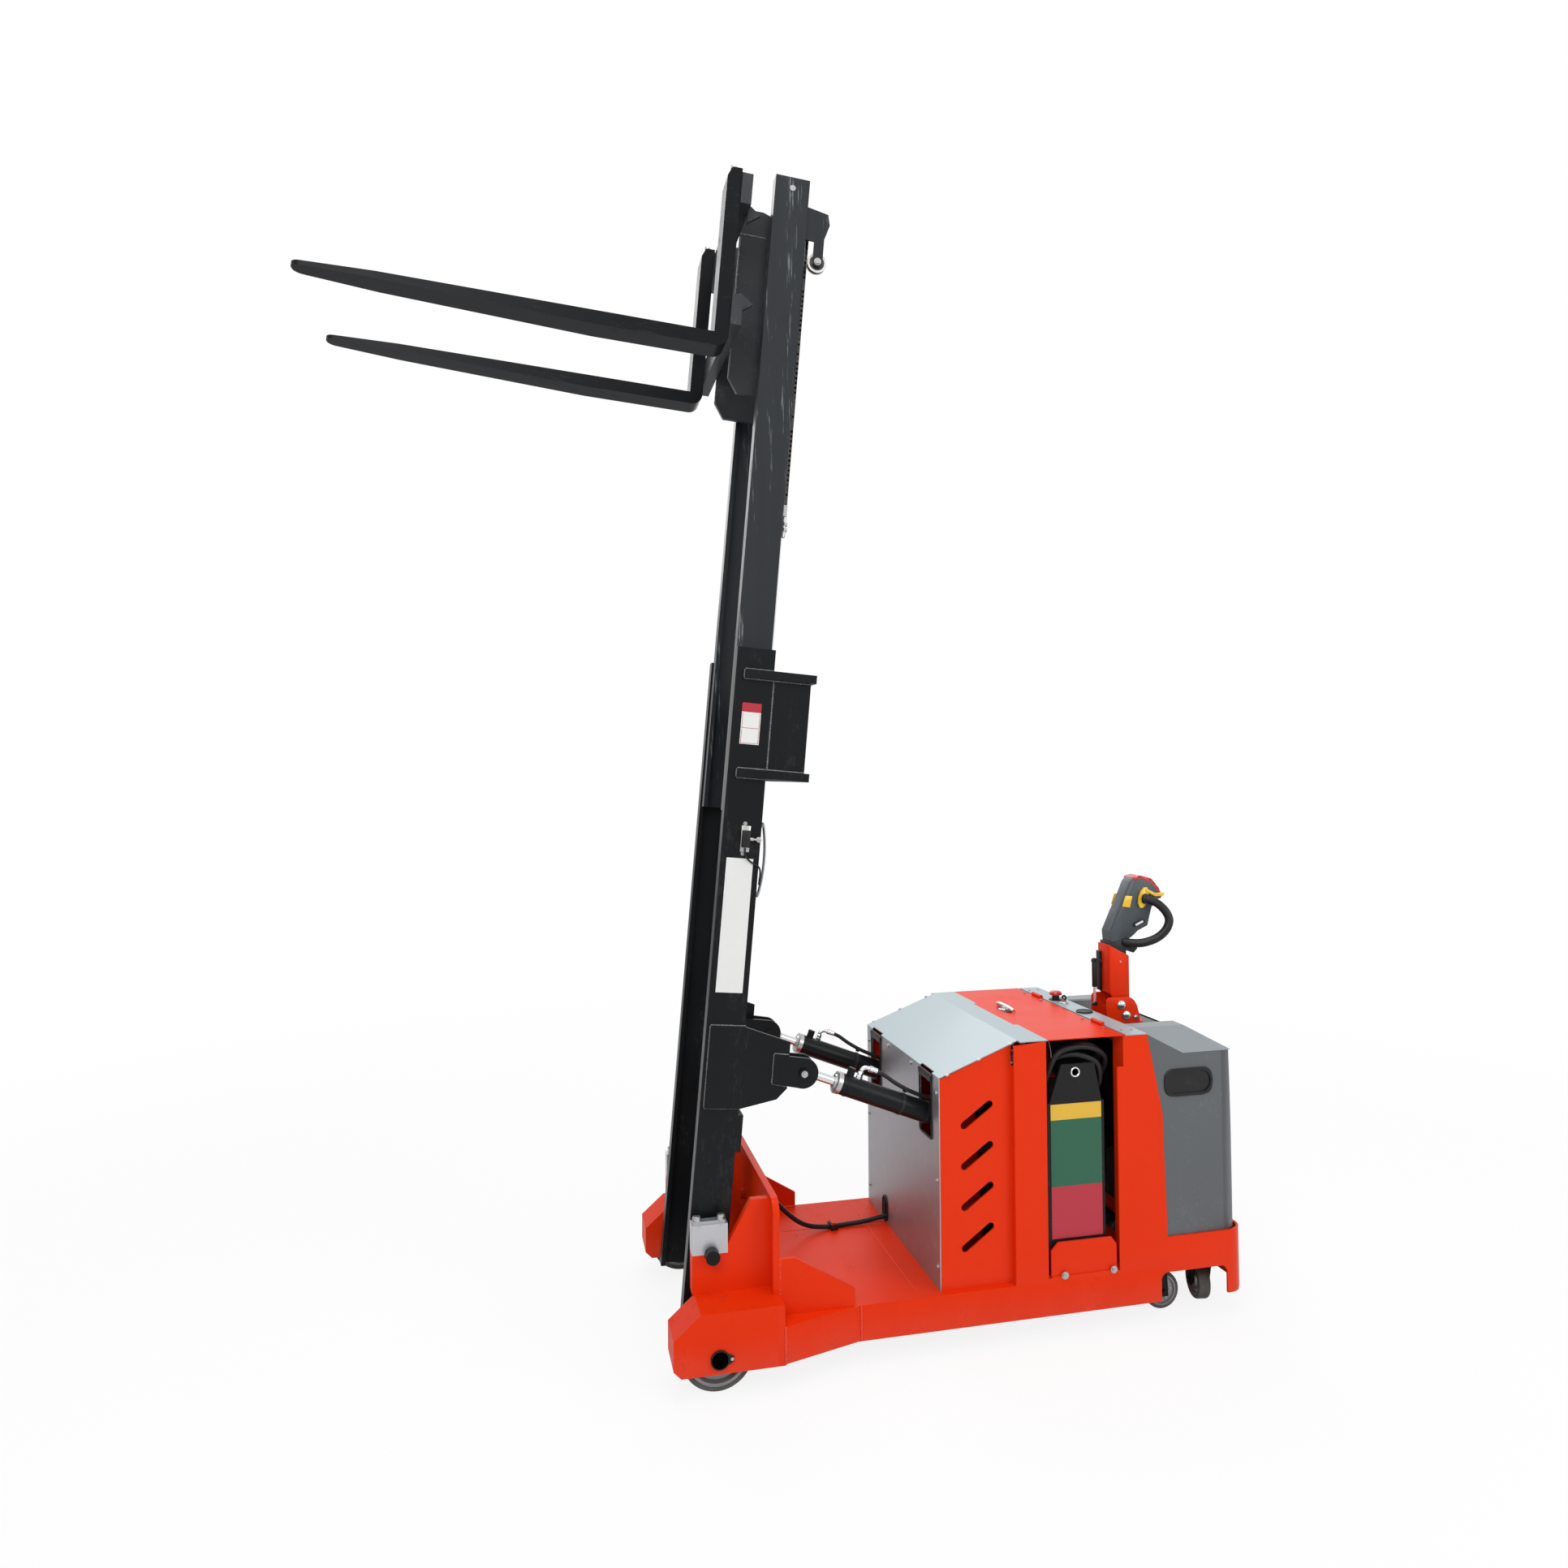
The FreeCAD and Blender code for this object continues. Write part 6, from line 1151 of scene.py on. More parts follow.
def build_limit_switch():
    """Height switch with its roller arm, screws and the curved cam strip beside the channel."""
    out = Vector((0, -1, 0))
    mesh = bmesh.new()
    turn = Matrix.Translation(on_mast(0.010, -0.2805, 1.218)) @ MAST_TURN
    add_block(mesh, (-0.012, -0.019, -0.026), (0.012, 0.0, 0.026), turn, 0)
    add_block(mesh, (-0.014, -0.0025, -0.040), (0.014, 0.0, 0.040), turn, 1)
    add_turned(mesh, on_mast(0.022, -0.290, 1.218), on_mast(1, 0, 0) - PIVOT, [
        (0.0055, -0.002), (0.0055, 0.012), (0.0035, 0.013), (0.0035, 0.022), (0.0, 0.022)], 18, 1)
    add_turned(mesh, on_mast(0.050, -0.290, 1.218), out, [
        (0.0080, -0.004), (0.0088, -0.003), (0.0088, 0.003), (0.0080, 0.004)], 24, 1)
    piece("height_switch", mesh, "mast", ["black_plastic", "bolt_steel"], bevel=0.0012,
          replaced=("limit_switch",))
    places = [(on_mast(0.006, -0.2805, w), out) for w in (1.1725, 1.2640)]
    bolts("switch_screws", places, "mast", radius=0.0050, washer=1.3, height=0.003)

    mesh = bmesh.new()
    count = 24
    foot, tip = 1.042, 1.271
    rows = []
    for k in range(count + 1):
        w = foot + (tip - foot) * k / count
        bow = 0.014 * math.sin(math.pi * k / count) ** 0.7
        rows.append([mesh.verts.new(on_mast(u, y, w)) for u, y in (
            (0.0605 + bow, -0.279), (0.0640 + bow, -0.279), (0.0640 + bow, -0.255), (0.0605 + bow, -0.255))])
    for first, second in zip(rows, rows[1:]):
        for i in range(4):
            j = (i + 1) % 4
            mesh.faces.new((first[i], first[j], second[j], second[i]))
    mesh.faces.new(rows[0])
    mesh.faces.new(rows[-1])
    for w in (1.052, 1.261):
        add_block(mesh, (-0.003, -0.275, -0.006), (0.009, -0.259, 0.006),
                  Matrix.Translation(on_mast(0.0575, 0.0, w)) @ MAST_TURN)
    piece("switch_cam", mesh, "mast", "wheel_hub", smooth=30)
    line = smooth_line([on_mast(0.010, -0.292, 1.190), on_mast(0.012, -0.291, 1.168),
                        on_mast(0.030, -0.287, 1.150), on_mast(0.0615, -0.283, 1.130),
                        on_mast(0.066, -0.270, 1.080)], 8)
    mesh = bmesh.new()
    add_tube(mesh, line, 0.0028, 10)
    piece("switch_lead", mesh, "mast", "hose_rubber", smooth=60)


def build_cylinders():
    """Gland nuts and rod wipers of the lift and tilt cylinders, and the nuts on the tilt rods."""
    mesh = bmesh.new()
    for side in (-1, 1):
        add_turned(mesh, on_mast(0.082, side * 0.042, 1.6905), on_mast(0, 0, 1) - PIVOT, [
            (0.0150, -0.018), (0.0238, -0.018), (0.0238, -0.001), (0.0215, 0.003), (0.0180, 0.004),
            (0.0150, 0.004)], 32, closed=True)
    piece("lift_glands", mesh, "mast", "bolt_steel")

    for side, name in ((-1, "left"), (1, "right")):
        body = "tilt_barrel_" + name
        root, eye = tilt_root(side), tilt_eye(side)
        along = (eye - root).normalized()
        mesh = bmesh.new()
        add_turned(mesh, root + along * 0.443, along, [
            (0.0152, -0.016), (0.0345, -0.016), (0.0345, -0.002), (0.0325, 0.0), (0.0240, 0.0008),
            (0.0200, 0.0060), (0.0152, 0.0060)], 40, 0, closed=True)
        add_turned(mesh, root + along * 0.405, along, [
            (0.0332, -0.004), (0.0344, -0.003), (0.0344, 0.003), (0.0332, 0.004)], 40, 1, closed=True)
        piece("tilt_gland_" + name, mesh, body, ["bolt_steel", "mast_paint"])
        mesh = bmesh.new()
        add_turned(mesh, eye, along * -1, [
            (0.0142, 0.030), (0.0190, 0.030), (0.0190, 0.048), (0.0172, 0.052), (0.0142, 0.052)], 6, 0,
            closed=True)
        piece("rod_nut_" + name, mesh, "tilt_rod_" + name, "bolt_steel", smooth=25)


class STACKER_OT_mast_fittings(Operator):
    """Adds the mast's welds, plates, height switch and cylinder glands."""
    bl_idname = "stacker.mast_fittings"
    bl_label = "Mast fittings"

    def execute(self, context):
        build_mast_plates()
        build_mast_welds()
        build_limit_switch()
        build_cylinders()
        return {"FINISHED"}


# Lifting chains, sheaves and carriage.

def chain_plate():
    """One pitch of leaf chain: link plates across two pins, built round the Z direction of travel."""
    pitch = bpy.context.scene.stacker_fittings.link
    leaves = bpy.context.scene.stacker_fittings.leaves
    width = 0.0186
    mesh = bmesh.new()
    gap = width / leaves
    for k in range(leaves):
        offset = 0.0 if k % 2 == 0 else pitch / 2
        y = -width / 2 + gap * k
        outline = []
        for centre, start in ((pitch * 0.52, 0), (-pitch * 0.52, 180)):
            for step in range(5):
                angle = math.radians(start + 45 * step)
                outline.append(Vector((0.0046 * math.cos(angle), y, centre * 0.9 + offset * 0.5
                                       + 0.0046 * math.sin(angle))))
        add_prism(mesh, outline, Vector((0, gap * 0.82, 0)))
    add_turned(mesh, Vector((0, 0, 0)), Vector((0, 1, 0)), [(0.0026, -width / 2 - 0.001),
                                                           (0.0026, width / 2 + 0.001)], 8)
    data = bpy.data.meshes.new("Chain plate")
    face_outwards(mesh)
    mesh.to_mesh(data)
    mesh.free()
    return bpy.data.objects.new("Chain plate", data)


def build_chains():
    """Two leaf chains over the head sheaves, with their anchor bolts."""
    unit = chain_plate()
    axis_u, axis_w = 0.022, HEAD_TOP - 0.122
    radius, hang = 0.0505, 0.930
    points, edges = [], []
    for side in (-1, 1):
        start = len(points)
        across = side * CHAIN_SIDE
        line = [on_mast(axis_u + radius, across, axis_w - hang + 0.9 * k / 60) for k in range(60)]
        line += [on_mast(axis_u + radius * math.cos(a), across, axis_w + radius * math.sin(a))
                 for a in (math.pi * k / 20 for k in range(21))]
        points += [tuple(p) for p in line]
        edges += [(i, i + 1) for i in range(start, len(points) - 1)]
    guide = bpy.data.meshes.new("Chain line")
    guide.from_pydata(points, edges, [])
    chains = grown("leaf_chains", guide, "links", {
        "Pitch": bpy.context.scene.stacker_fittings.link, "Plate": unit},
        "inner_mast", "chain_steel", smooth=30)
    bpy.data.objects.remove(unit)
    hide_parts("chains")

    mesh = bmesh.new()
    up = on_mast(0, 0, 1) - PIVOT
    for side in (-1, 1):
        base = on_mast(axis_u + radius, side * CHAIN_SIDE, axis_w - hang)
        turn = Matrix.Translation(base) @ MAST_TURN
        add_block(mesh, (-0.0055, -0.012, -0.030), (0.0055, 0.012, 0.006), turn)
        add_turned(mesh, base, up, [(0.0075, -0.026), (0.0075, -0.0965), (0.0060, -0.0980), (0.0, -0.0980)], 20)
        for level in (-0.060, -0.078):
            add_turned(mesh, base, up, [(0.0130, level), (0.0130, level + 0.010)], 6)
    piece("chain_anchors", mesh, "inner_mast", "bolt_steel", smooth=30)


def build_rear_sheaves():
    """Pale sheaves on the brackets at the back of the inner mast's head."""
    mesh = bmesh.new()
    level = HEAD_TOP - 0.250
    for side in (-1, 1):
        centre = on_mast(0.104, side * 0.195, level)
        add_turned(mesh, centre, Vector((0, side, 0)), [
            (0.0102, -0.0092), (0.0318, -0.0092), (0.0322, -0.0075), (0.0268, -0.003), (0.0262, 0.0),
            (0.0268, 0.003), (0.0322, 0.0075), (0.0318, 0.0092), (0.0250, 0.0092), (0.0225, 0.0070),
            (0.0150, 0.0070), (0.0140, 0.0094), (0.0102, 0.0094)], 40, closed=True)
    piece("hose_sheaves", mesh, "inner_mast", "white_plate")
    places = [(on_mast(0.104, side * 0.2142, level), Vector((0, side, 0))) for side in (-1, 1)]
    bolts("sheave_bolts", places, "inner_mast", radius=0.0085, washer=1.4, height=0.004)


def build_carriage_fittings():
    """Locking pins of the forks and the welds of the carriage's gussets."""
    beads = []
    mesh = bmesh.new()
    up = on_mast(0, 0, 1) - PIVOT
    for side in (-1, 1):
        knob = on_mast(-0.1995, side * 0.274, BLADE_LEVEL + 0.523)
        add_turned(mesh, knob, up, [
            (0.0085, -0.004), (0.0085, 0.006), (0.0060, 0.009), (0.0060, 0.018), (0.0100, 0.020),
            (0.0100, 0.027), (0.0080, 0.030), (0.0, 0.030)], 20, 0)
        beads.append([on_mast(rear, side * 0.1385, BLADE_LEVEL + 0.412) for rear in (-0.1425, -0.060)])
        for ends in ((-0.06, 0.03), (0.13, 0.40)):
            beads.append([on_mast(-0.1425, side * 0.1415, BLADE_LEVEL + end) for end in ends])
    piece("fork_locks", mesh, "carriage", "bolt_steel")
    welds("carriage_welds", beads, "carriage", "weld_metal", 0.0030)


def build_mast_head():
    """Roller bolts of the inner mast and the roller faces of the carriage."""
    places = []
    for side in (-1, 1):
        for level in (0.055, 0.120, 2.000):
            places.append((on_mast(0.0, side * 0.2302, 1.299 + level), Vector((0, side, 0))))
    bolts("roller_bolts", places, "inner_mast", radius=0.0095, washer=1.0, height=0.0018,
          sides=18)
    mesh = bmesh.new()
    for side in (-1, 1):
        for level in (BLADE_LEVEL + 0.020, BLADE_LEVEL + 0.380):
            add_turned(mesh, on_mast(-0.001, side * 0.2148, level), Vector((0, side, 0)), [
                (0.0405, -0.022), (0.0405, -0.003), (0.0380, 0.0), (0.0180, 0.0), (0.0165, -0.002),
                (0.0, -0.002)], 40)
    piece("carriage_rollers", mesh, "carriage", "bolt_steel")


class STACKER_OT_lifting_gear(Operator):
    """Adds the leaf chains, the sheaves and the fittings of the carriage."""
    bl_idname = "stacker.lifting_gear"
    bl_label = "Lifting gear"

    def execute(self, context):
        build_chains()
        build_rear_sheaves()
        build_carriage_fittings()
        build_mast_head()
        return {"FINISHED"}


# Wheels.

def build_wheel(name, body, centre, axle, radius, width, bore, tyre_depth):
    """A moulded tyre with rounded shoulders on a ribbed hub, as one piece."""
    mesh = bmesh.new()
    half = width / 2
    inner = radius - tyre_depth
    add_turned(mesh, centre, axle, [
        (inner, -half * 0.96), (radius * 0.955, -half * 0.96), (radius * 0.99, -half * 0.80),
        (radius, -half * 0.55), (radius, -half * 0.04), (radius * 0.996, 0.0), (radius, half * 0.04),
        (radius, half * 0.55), (radius * 0.99, half * 0.80), (radius * 0.955, half * 0.96),
        (inner, half * 0.96)], 64, 0, closed=True)
    for side in (-1, 1):
        add_turned(mesh, centre, axle * side, [
            (inner, half * 0.5), (inner, half * 0.93), (inner * 0.90, half * 0.93),
            (inner * 0.84, half * 0.62), (inner * 0.48, half * 0.62), (inner * 0.42, half * 0.90),
            (bore + 0.004, half * 0.90), (bore + 0.004, half * 0.5)], 48, 1, closed=True)
    first, second = across_axes(axle)
    for side in (-1, 1):
        for k in range(6):
            angle = math.pi * k / 3
            spot = centre + axle * (side * half * 0.62) + (first * math.cos(angle)
                                                         + second * math.sin(angle)) * (inner * 0.66)
            add_turned(mesh, spot, axle * side, [
                (inner * 0.085, -0.001), (inner * 0.085, 0.0025), (inner * 0.06, 0.0035),
                (0.0, 0.0035)], 12, 2)
    piece(name, mesh, body, ["tread", "wheel_hub", "bolt_steel"], smooth=35, replaced=(body,))


def build_wheels():
    """Every wheel of the machine in its own place."""
    for side, name in ((-1, "left"), (1, "right")):
        low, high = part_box("front_wheel_" + name)
        centre = (low + high) / 2
        build_wheel("front_tyre_" + name, "front_wheel_" + name, centre, ACROSS,
                    (high.z - low.z) / 2, high.y - low.y, 0.020, 0.016)
        for row, turned_by in (("front", 0.0), ("rear", math.radians(80.0) * -side)):
            node = "caster_wheel_%s_%s" % (row, name)
            low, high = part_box(node)
            axle = Vector((-math.sin(turned_by), math.cos(turned_by), 0))
            build_wheel("caster_tyre_%s_%s" % (row, name), node, (low + high) / 2, axle, 0.0600, 0.040,
                        0.008, 0.011)
    low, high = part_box("drive_wheel")
    build_wheel("drive_tyre", "drive_wheel", (low + high) / 2, ACROSS,
                (high.z - low.z) / 2, high.y - low.y, 0.020, 0.016)


def build_axle_keepers():
    """The pear-shaped keeper and screw over the end of each front axle."""
    low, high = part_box("front_axles")
    centre = Vector(((low.x + high.x) / 2, 0.0, (low.z + high.z) / 2))
    mesh = bmesh.new()
    places = []
    angles = [math.radians(50 + 260 * k / 12) for k in range(13)]
    pear = [(math.cos(a) * 0.0245, math.sin(a) * 0.0245) for a in angles]
    pear += [(0.0310, -0.0110), (0.0400, -0.0070), (0.0400, 0.0070), (0.0310, 0.0110)]
    for side in (-1, 1):
        face = centre + Vector((0, side * (high.y - 0.0010), 0))
        outline = [face + Vector((a, 0, b)) for a, b in pear]
        add_prism(mesh, outline, Vector((0, -side * 0.0050, 0)))
        places.append((centre + Vector((0.0345, side * (high.y - 0.0030), 0)), Vector((0, side, 0))))
    piece("axle_keepers", mesh, "chassis", "inner_dark", bevel=0.0008)
    bolts("keeper_screws", places, "chassis", radius=0.0048, sides=18, washer=1.1, height=0.002)


class STACKER_OT_wheels(Operator):
    """Replaces the plain wheels with moulded tyres on ribbed hubs."""
    bl_idname = "stacker.wheels"
    bl_label = "Wheels"

    def execute(self, context):
        build_wheels()
        build_axle_keepers()
        return {"FINISHED"}


# Rear cover.

def cut_away(data, cutter):
    """A copy of a mesh with a closed cutter taken out of it."""
    copy = bmesh.new()
    copy.from_mesh(data)
    bmesh.ops.remove_doubles(copy, verts=copy.verts, dist=0.00002)
    solid = bpy.data.meshes.new("solid")
    copy.to_mesh(solid)
    copy.free()
    bmesh.ops.recalc_face_normals(cutter, faces=cutter.faces)
    tool_data = bpy.data.meshes.new("tool")
    cutter.to_mesh(tool_data)
    cutter.free()
    holder = bpy.data.objects.new("solid", solid)
    tool = bpy.data.objects.new("tool", tool_data)
    for item in (holder, tool):
        bpy.context.scene.collection.objects.link(item)
    step = holder.modifiers.new("Cut", "BOOLEAN")
    step.operation = "DIFFERENCE"
    step.solver = "EXACT"
    step.object = tool
    graph = bpy.context.evaluated_depsgraph_get()
    result = bpy.data.meshes.new_from_object(holder.evaluated_get(graph))
    for item in (holder, tool):
        bpy.data.objects.remove(item)
    result.materials.clear()
    return result


def build_cover():
    """The rear cover with the trough in which the tiller's foot turns."""
    floor, crown, low_half, high_half = 0.848, 0.905, 0.192, 0.206
    start, end = 1.2345, 1.5315
    rise = (high_half - low_half) / (crown - floor)
    top = 0.940
    wide = low_half + rise * (top - floor)
    cutter = bmesh.new()
    add_prism(cutter, [at(1.200, -low_half, floor), at(1.200, low_half, floor), at(1.200, wide, top),
                       at(1.200, -wide, top)], Vector((0.42, 0, 0)))
    shell = cut_away(NODES["counterweight_cover"].data, cutter)
    for key in ("cover_paint", "cover_painted_top_light"):
        shell.materials.append(MATERIALS[key])
    # Faces that point up near the top take the lighter copy of the cover paint: painted light on the cover's
    # top.
    for face in shell.polygons:
        face.material_index = 1 if face.normal.z > 0.2 and face.center.z > 0.80 else 0
    piece("rear_cover", shell, "chassis", "cover_paint", smooth=35,
          replaced=("counterweight_cover",))

    mesh = bmesh.new()
    add_prism(mesh, [at(start, -low_half, floor), at(end, -low_half, floor), at(end, low_half, floor),
                     at(start, low_half, floor)], Vector((0, 0, -0.004)))
    for side in (-1, 1):
        wall = [at(start, side * low_half, floor - 0.004), at(start, side * high_half, crown - 0.001),
                at(1.438, side * high_half, crown - 0.001), at(end, side * low_half, floor - 0.004)]
        add_prism(mesh, wall, Vector((0, side * 0.003, 0)))
    front = start - 0.005
    add_prism(mesh, [at(front, -high_half, crown - 0.0015), at(front, high_half, crown - 0.0015),
                     at(front, low_half, floor - 0.004), at(front, -low_half, floor - 0.004)],
              Vector((0.004, 0, 0)))
    lining = bpy.data.meshes.new("lining")
    bmesh.ops.recalc_face_normals(mesh, faces=mesh.faces)
    mesh.to_mesh(lining)
    mesh.free()
    cutter = bmesh.new()
    add_turned(cutter, at(COLUMN_BACK, 0.0, 0.80), UPRIGHT, [
        (0.0, 0.0), (0.0365, 0.0), (0.0365, 0.1), (0.0, 0.1)], 40)
    piece("cover_trough", cut_away(lining, cutter), "chassis", "cover_paint", smooth=35)


class STACKER_OT_rear_cover(Operator):
    """Builds the rear cover and the trough round the tiller's foot."""
    bl_idname = "stacker.rear_cover"
    bl_label = "Rear cover"

    def execute(self, context):
        build_cover()
        return {"FINISHED"}


# Tiller.

HEAD_SIDE = (
    (1.310, 1.148), (1.308, 1.190), (1.342, 1.266), (1.367, 1.315), (1.388, 1.362), (1.405, 1.379),
    (1.430, 1.383), (1.467, 1.370), (1.497, 1.337), (1.508, 1.310), (1.471, 1.272), (1.462, 1.238),
    (1.455, 1.206), (1.403, 1.182), (1.384, 1.162), (1.366, 1.146), (1.339, 1.134))


def tiller_head_mesh(half):
    """A closed head that narrows to the front and to its foot."""
    mesh = bmesh.new()
    rows = []
    for share in (-1.0, -0.72, 0.72, 1.0):
        ring = []
        for back, height in HEAD_SIDE:
            lift = (height - 1.134) / 0.250
            wide = half * (0.80 + 0.20 * min(1.0, lift * 1.6))
            shift = 0.010 if abs(share) == 1.0 and back < 1.42 and height > 1.195 else 0.0
            ring.append(mesh.verts.new(at(back + shift, share * wide, height - shift * 0.3)))
        rows.append(ring)
    count = len(HEAD_SIDE)
    for first, second in zip(rows, rows[1:]):
        for i in range(count):
            j = (i + 1) % count
            mesh.faces.new((first[i], first[j], second[j], second[i]))
    mesh.faces.new(rows[0])
    mesh.faces.new(rows[-1])
    return mesh


def build_tiller_foot():
    """The tiller's square arm, the tall cheeks that it tips between, their base and their pins."""
    mesh = bmesh.new()
    half, wall, front, rear = 0.040, 0.005, 1.297, 1.375
    sides = ((front, 1.143), (rear, 1.103), (1.374, 0.950), (1.352, 0.950), (1.346, 0.926), (1.316, 0.926),
             (1.304, 0.966), (front, 0.972))
    for side in (-1, 1):
        add_prism(mesh, [at(a, side * half, c) for a, c in sides], Vector((0, -side * wall, 0)))
    for back, foot, top, inward in ((front, 0.972, 1.143, wall), (rear, 0.950, 1.103, -wall)):
        add_prism(mesh, [at(back, -half, foot), at(back, half, foot), at(back, half, top), at(back, -half, top)],
                  Vector((inward, 0, 0)))
    add_prism(mesh, [at(1.300, -half + wall, 1.128), at(1.300, half - wall, 1.128),
                     at(1.372, half - wall, 1.092), at(1.372, -half + wall, 1.092)], Vector((0, 0, -wall)))
    piece("square_arm", mesh, "tiller", "body_paint", bevel=0.0022, replaced=("tiller_arm",))

    mesh = bmesh.new()
    add_block(mesh, (0.0, 0.012, 0.0), (0.010, 0.036, 0.140), Matrix.Translation(at(1.2865, 0.0, 0.975)))
    add_prism(mesh, [at(1.3025, -0.0345, 1.152), at(1.3660, -0.0345, 1.158), at(1.3690, -0.0345, 1.092),
                     at(1.3025, -0.0345, 1.110)], Vector((0, 0.069, 0)))
    piece("arm_neck", mesh, "tiller", "black_plastic", bevel=0.002)

    mesh = bmesh.new()
    outline = [(1.276, 0.864), (1.276, 0.948), (1.280, 0.957), (1.289, 0.961), (1.358, 0.961), (1.372, 0.957),
               (1.384, 0.947), (1.394, 0.930), (1.402, 0.900), (1.406, 0.864)]
    for side in (-1, 1):
        add_prism(mesh, [at(a, side * 0.058, c) for a, c in outline], Vector((0, -side * 0.008, 0)))
    base = [(1.276, 0.058), (1.276, -0.058), (1.400, -0.058)]
    base += [(COLUMN_BACK + 0.060 * math.sin(math.radians(d)), -0.060 * math.cos(math.radians(d)))
             for d in range(30, 151, 20)]
    base += [(1.400, 0.058)]
    add_prism(mesh, [at(a, b, 0.864) for a, b in base], Vector((0, 0, 0.007)))
    add_turned(mesh, at(COLUMN_BACK, 0.0, 0.851), UPRIGHT, [
        (0.0335, 0.0), (0.0440, 0.0), (0.0440, 0.0135), (0.0380, 0.0160), (0.0380, 0.064), (0.0350, 0.0675),
        (0.0, 0.0680)], 36)
    for side in (-1, 1):
        radius = 0.0165
        add_turned(mesh, at(1.331, side * 0.0575, 0.935), Vector((0, side, 0)), [
            (radius, 0.0), (radius, 0.0022), (radius * 0.9, 0.0030), (0.0, 0.0030)], 28)
    piece("tiller_cheeks", mesh, "steering", "body_paint", bevel=0.0016,
          replaced=("tiller_clevis",))
    mesh = bmesh.new()
    for side in (-1, 1):
        out = Vector((0, side, 0))
        for back, height, radius in (
                (1.331, 0.935, 0.0125), (1.350, 0.898, 0.0125), (1.386, 0.889, 0.0065)):
            add_turned(mesh, at(back, side * 0.0605, height), out, [
                (radius * 1.25, -0.002), (radius * 1.25, 0.0010), (radius, 0.0012), (radius, 0.0062),
                (radius * 0.8, 0.0078), (0.0, 0.0078)], 24)
    piece("cheek_pins", mesh, "steering", "bright_steel")
    bolts("arm_screws", [(at(1.341, side * 0.0402, 1.083), Vector((0, side, 0))) for side in (-1, 1)],
          "tiller", radius=0.0030, sides=18, washer=1.2, height=0.002)


def build_tiller():
    """Tiller head with its switches and the two loop handles."""
    half = 0.0385
    piece("steering_head", tiller_head_mesh(half), "tiller", "grey_plastic", bevel=0.0032,
          smooth=28, replaced=("tiller_head",))

    mesh = bmesh.new()
    arc = [(1.405, 1.3785), (1.430, 1.3835), (1.468, 1.3705), (1.486, 1.3535), (1.500, 1.3370),
           (1.512, 1.3090)]
    for low, high in zip(arc, arc[1:]):
        corners = [at(low[0], -0.0392, low[1] + 0.0015), at(high[0], -0.0392, high[1] + 0.0015),
                   at(high[0] - 0.008, -0.0392, high[1] - 0.009), at(low[0] - 0.003, -0.0392, low[1] - 0.010)]
        add_prism(mesh, corners, Vector((0, 0.0784, 0)))
    bmesh.ops.remove_doubles(mesh, verts=mesh.verts, dist=0.00005)
    piece("belly_button", mesh, "tiller", "red_plastic", bevel=0.0020, smooth=60)

    mesh = bmesh.new()
    for side in (-1, 1):
        face = half * side
        out = Vector((0, side, 0))
        hub = at(1.434, face * 0.98, 1.307)
        ring = []
        for k in range(10):
            angle = math.tau * k / 10
            ring.append(hub + Vector((math.cos(angle) * 0.019 + math.sin(angle) * 0.009, 0,
                                      math.sin(angle) * 0.038)))
        add_prism(mesh, ring, out * 0.0085, 0)
        for low, high in (((1.440, 1.336), (1.478, 1.316)), ((1.478, 1.316), (1.512, 1.318))):
            corners = [at(low[0], face * 1.02, low[1] + 0.006), at(high[0], face * 1.10, high[1] + 0.006),
                       at(high[0], face * 1.10, high[1] - 0.006), at(low[0], face * 1.02, low[1] - 0.006)]
            add_prism(mesh, corners, out * 0.008, 0)
        for outline, lift, index in (
                (((1.365, 1.315), (1.392, 1.313), (1.382, 1.273), (1.352, 1.277)), 0.0025, 1),
                (((1.394, 1.214), (1.437, 1.232), (1.441, 1.219), (1.399, 1.202)), 0.0012, 2),
                (((1.402, 1.213), (1.432, 1.226), (1.435, 1.219), (1.405, 1.206)), 0.0022, 3)):
            add_prism(mesh, [at(a, face, c) for a, c in outline], out * lift, index)
    piece("head_switches", mesh, "tiller",
          ["yellow_plastic", "yellow_plastic", "black_plastic", "white_plate"], bevel=0.0010, smooth=25)

    mesh = bmesh.new()
    for side in (-1, 1):
        run = ((1.434, 0.044, 1.304), (1.448, 0.054, 1.300), (1.474, 0.070, 1.287), (1.496, 0.086, 1.260),
               (1.504, 0.094, 1.229), (1.489, 0.094, 1.195), (1.456, 0.086, 1.167), (1.415, 0.069, 1.151),
               (1.382, 0.047, 1.148), (1.362, 0.028, 1.150))
        line = smooth_line([at(a, side * b, c) for a, b, c in run], 8)
        add_tube(mesh, line, 0.0148, 20)
        add_turned(mesh, at(1.436, side * 0.0450, 1.3036), Vector((0.55, side, -0.10)), [
            (0.0175, 0.0), (0.0190, 0.006), (0.0178, 0.011), (0.0148, 0.013)], 24)
    lower = [at(1.359, 0, 1.158), at(1.400, 0, 1.156), at(1.412, 0, 1.126), at(1.397, 0, 1.111),
             at(1.362, 0, 1.125)]
    add_prism(mesh, [p + Vector((0, -0.034, 0)) for p in lower], Vector((0, 0.068, 0)))
    piece("loop_handles", mesh, "tiller", "black_plastic", smooth=55,
          replaced=("tiller_handles",))


